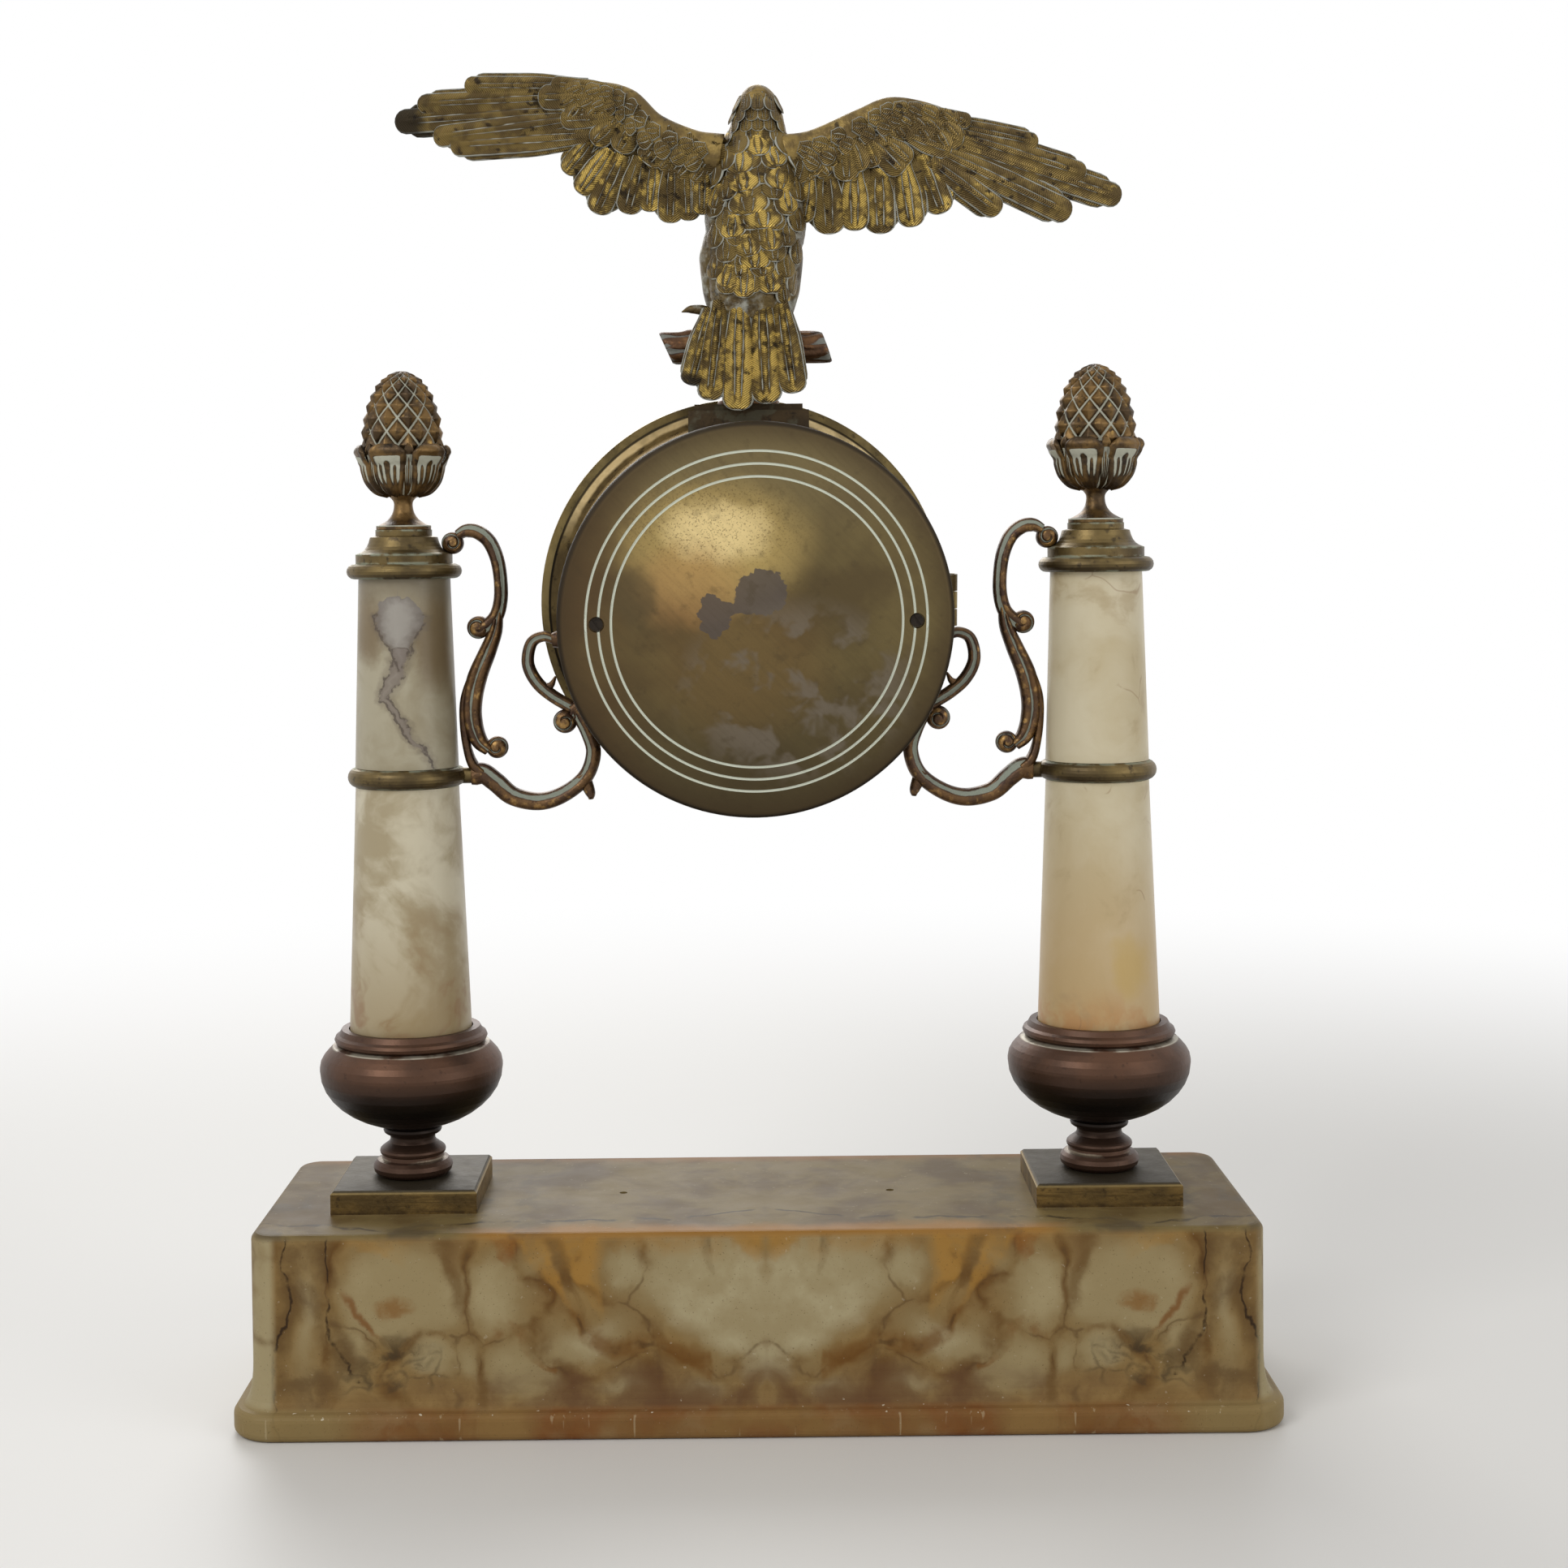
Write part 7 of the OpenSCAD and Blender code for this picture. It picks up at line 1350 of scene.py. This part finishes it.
paint, shader, t = finish("ground_steel", metallic=0.95)
place = in_drum(t)
metal = grained(t, place, tint(150, 150, 148), tint(112, 110, 106))
metal = blend(t, 0.6 * veil(t, clouds(t, place, 0.35, 3), 0.58, 0.68), metal, tint(84, 70, 56))
coat(t, shader, metal, 0.22 + 0.2 * clouds(t, place, 0.3), clouds(t, place, 0.8, 2), 0.06)
dress(paint, "pillar_screws", "barrel_arbor", "ratchet_wheel", "click", "click_spring", "centre_arbor",
      "lever")

# Springs: the mainspring coiled in its barrel and the hairspring under the cock, tempered to blue.
# The strips are drawn thin, so their edges rub bright.

paint, shader, t = finish("tempered_steel", metallic=0.9)
place = in_drum(t)
metal = grained(t, place, tint(70, 86, 128), tint(46, 54, 84))
coat(t, shader, blend(t, 0.4 * veil(t, clouds(t, place, 0.25, 3), 0.56, 0.68), metal, tint(120, 112, 100)),
     0.24 + 0.15 * clouds(t, place, 0.3), clouds(t, place, 1.0, 2), 0.04)
dress(paint, "mainspring", "hairspring")

# Wheels: sawn from brass sheet, crossed out to five arms and riveted on steel pinions.
# Each wheel's steel core is a disc about its own axis; the brass shows rings from the lathe.


def wheel_brass(name, centre, core):
    """Brass beyond the core's radius from a centre in the drum's frame and steel within, in turned rings."""
    paint, shader, t = finish(name, metallic=0.92)
    place = in_drum(t)
    x, y, z = axes(t, place)
    r = round_axis(t, x - centre[0], y - centre[1])
    rings = t.add("CombineXYZ", None, {0: r * 5, 1: z * 2, 2: 0.0})
    metal = blend(t, veil(t, clouds(t, place, 0.1, 4), 0.4, 0.62), tint(196, 164, 92), tint(158, 128, 68))
    metal = blend(t, 0.3 * veil(t, clouds(t, rings, 0.5, 2), 0.5, 0.68), metal, tint(116, 90, 46))
    metal = blend(t, 1 - veil(t, r, core - 0.1, core + 0.1), metal, tint(134, 134, 132))
    coat(t, shader, metal, 0.22 + 0.16 * clouds(t, place, 0.3), clouds(t, rings, 0.6, 2), 0.05)
    dress(paint, name)


# Each wheel with its axis in the drum's frame and the radius of its steel core.
WHEELS = [("barrel", (0, -24), 2.0), ("third_wheel", (13.02, 15.51), 2.6),
          ("fourth_wheel", (-1.71, 24.01), 2.0), ("escape_wheel", (-14.31, 24.01), 1.6),
          ("balance", (-32.51, 14.74), 1.2), ("hour_wheel", (0, 0), 0.5), ("cannon_pinion", (0, 0), 2.2),
          ("minute_wheel", (-6.0, 10.39), 1.0)]
for name, centre, core in WHEELS:
    wheel_brass(name, centre, core)
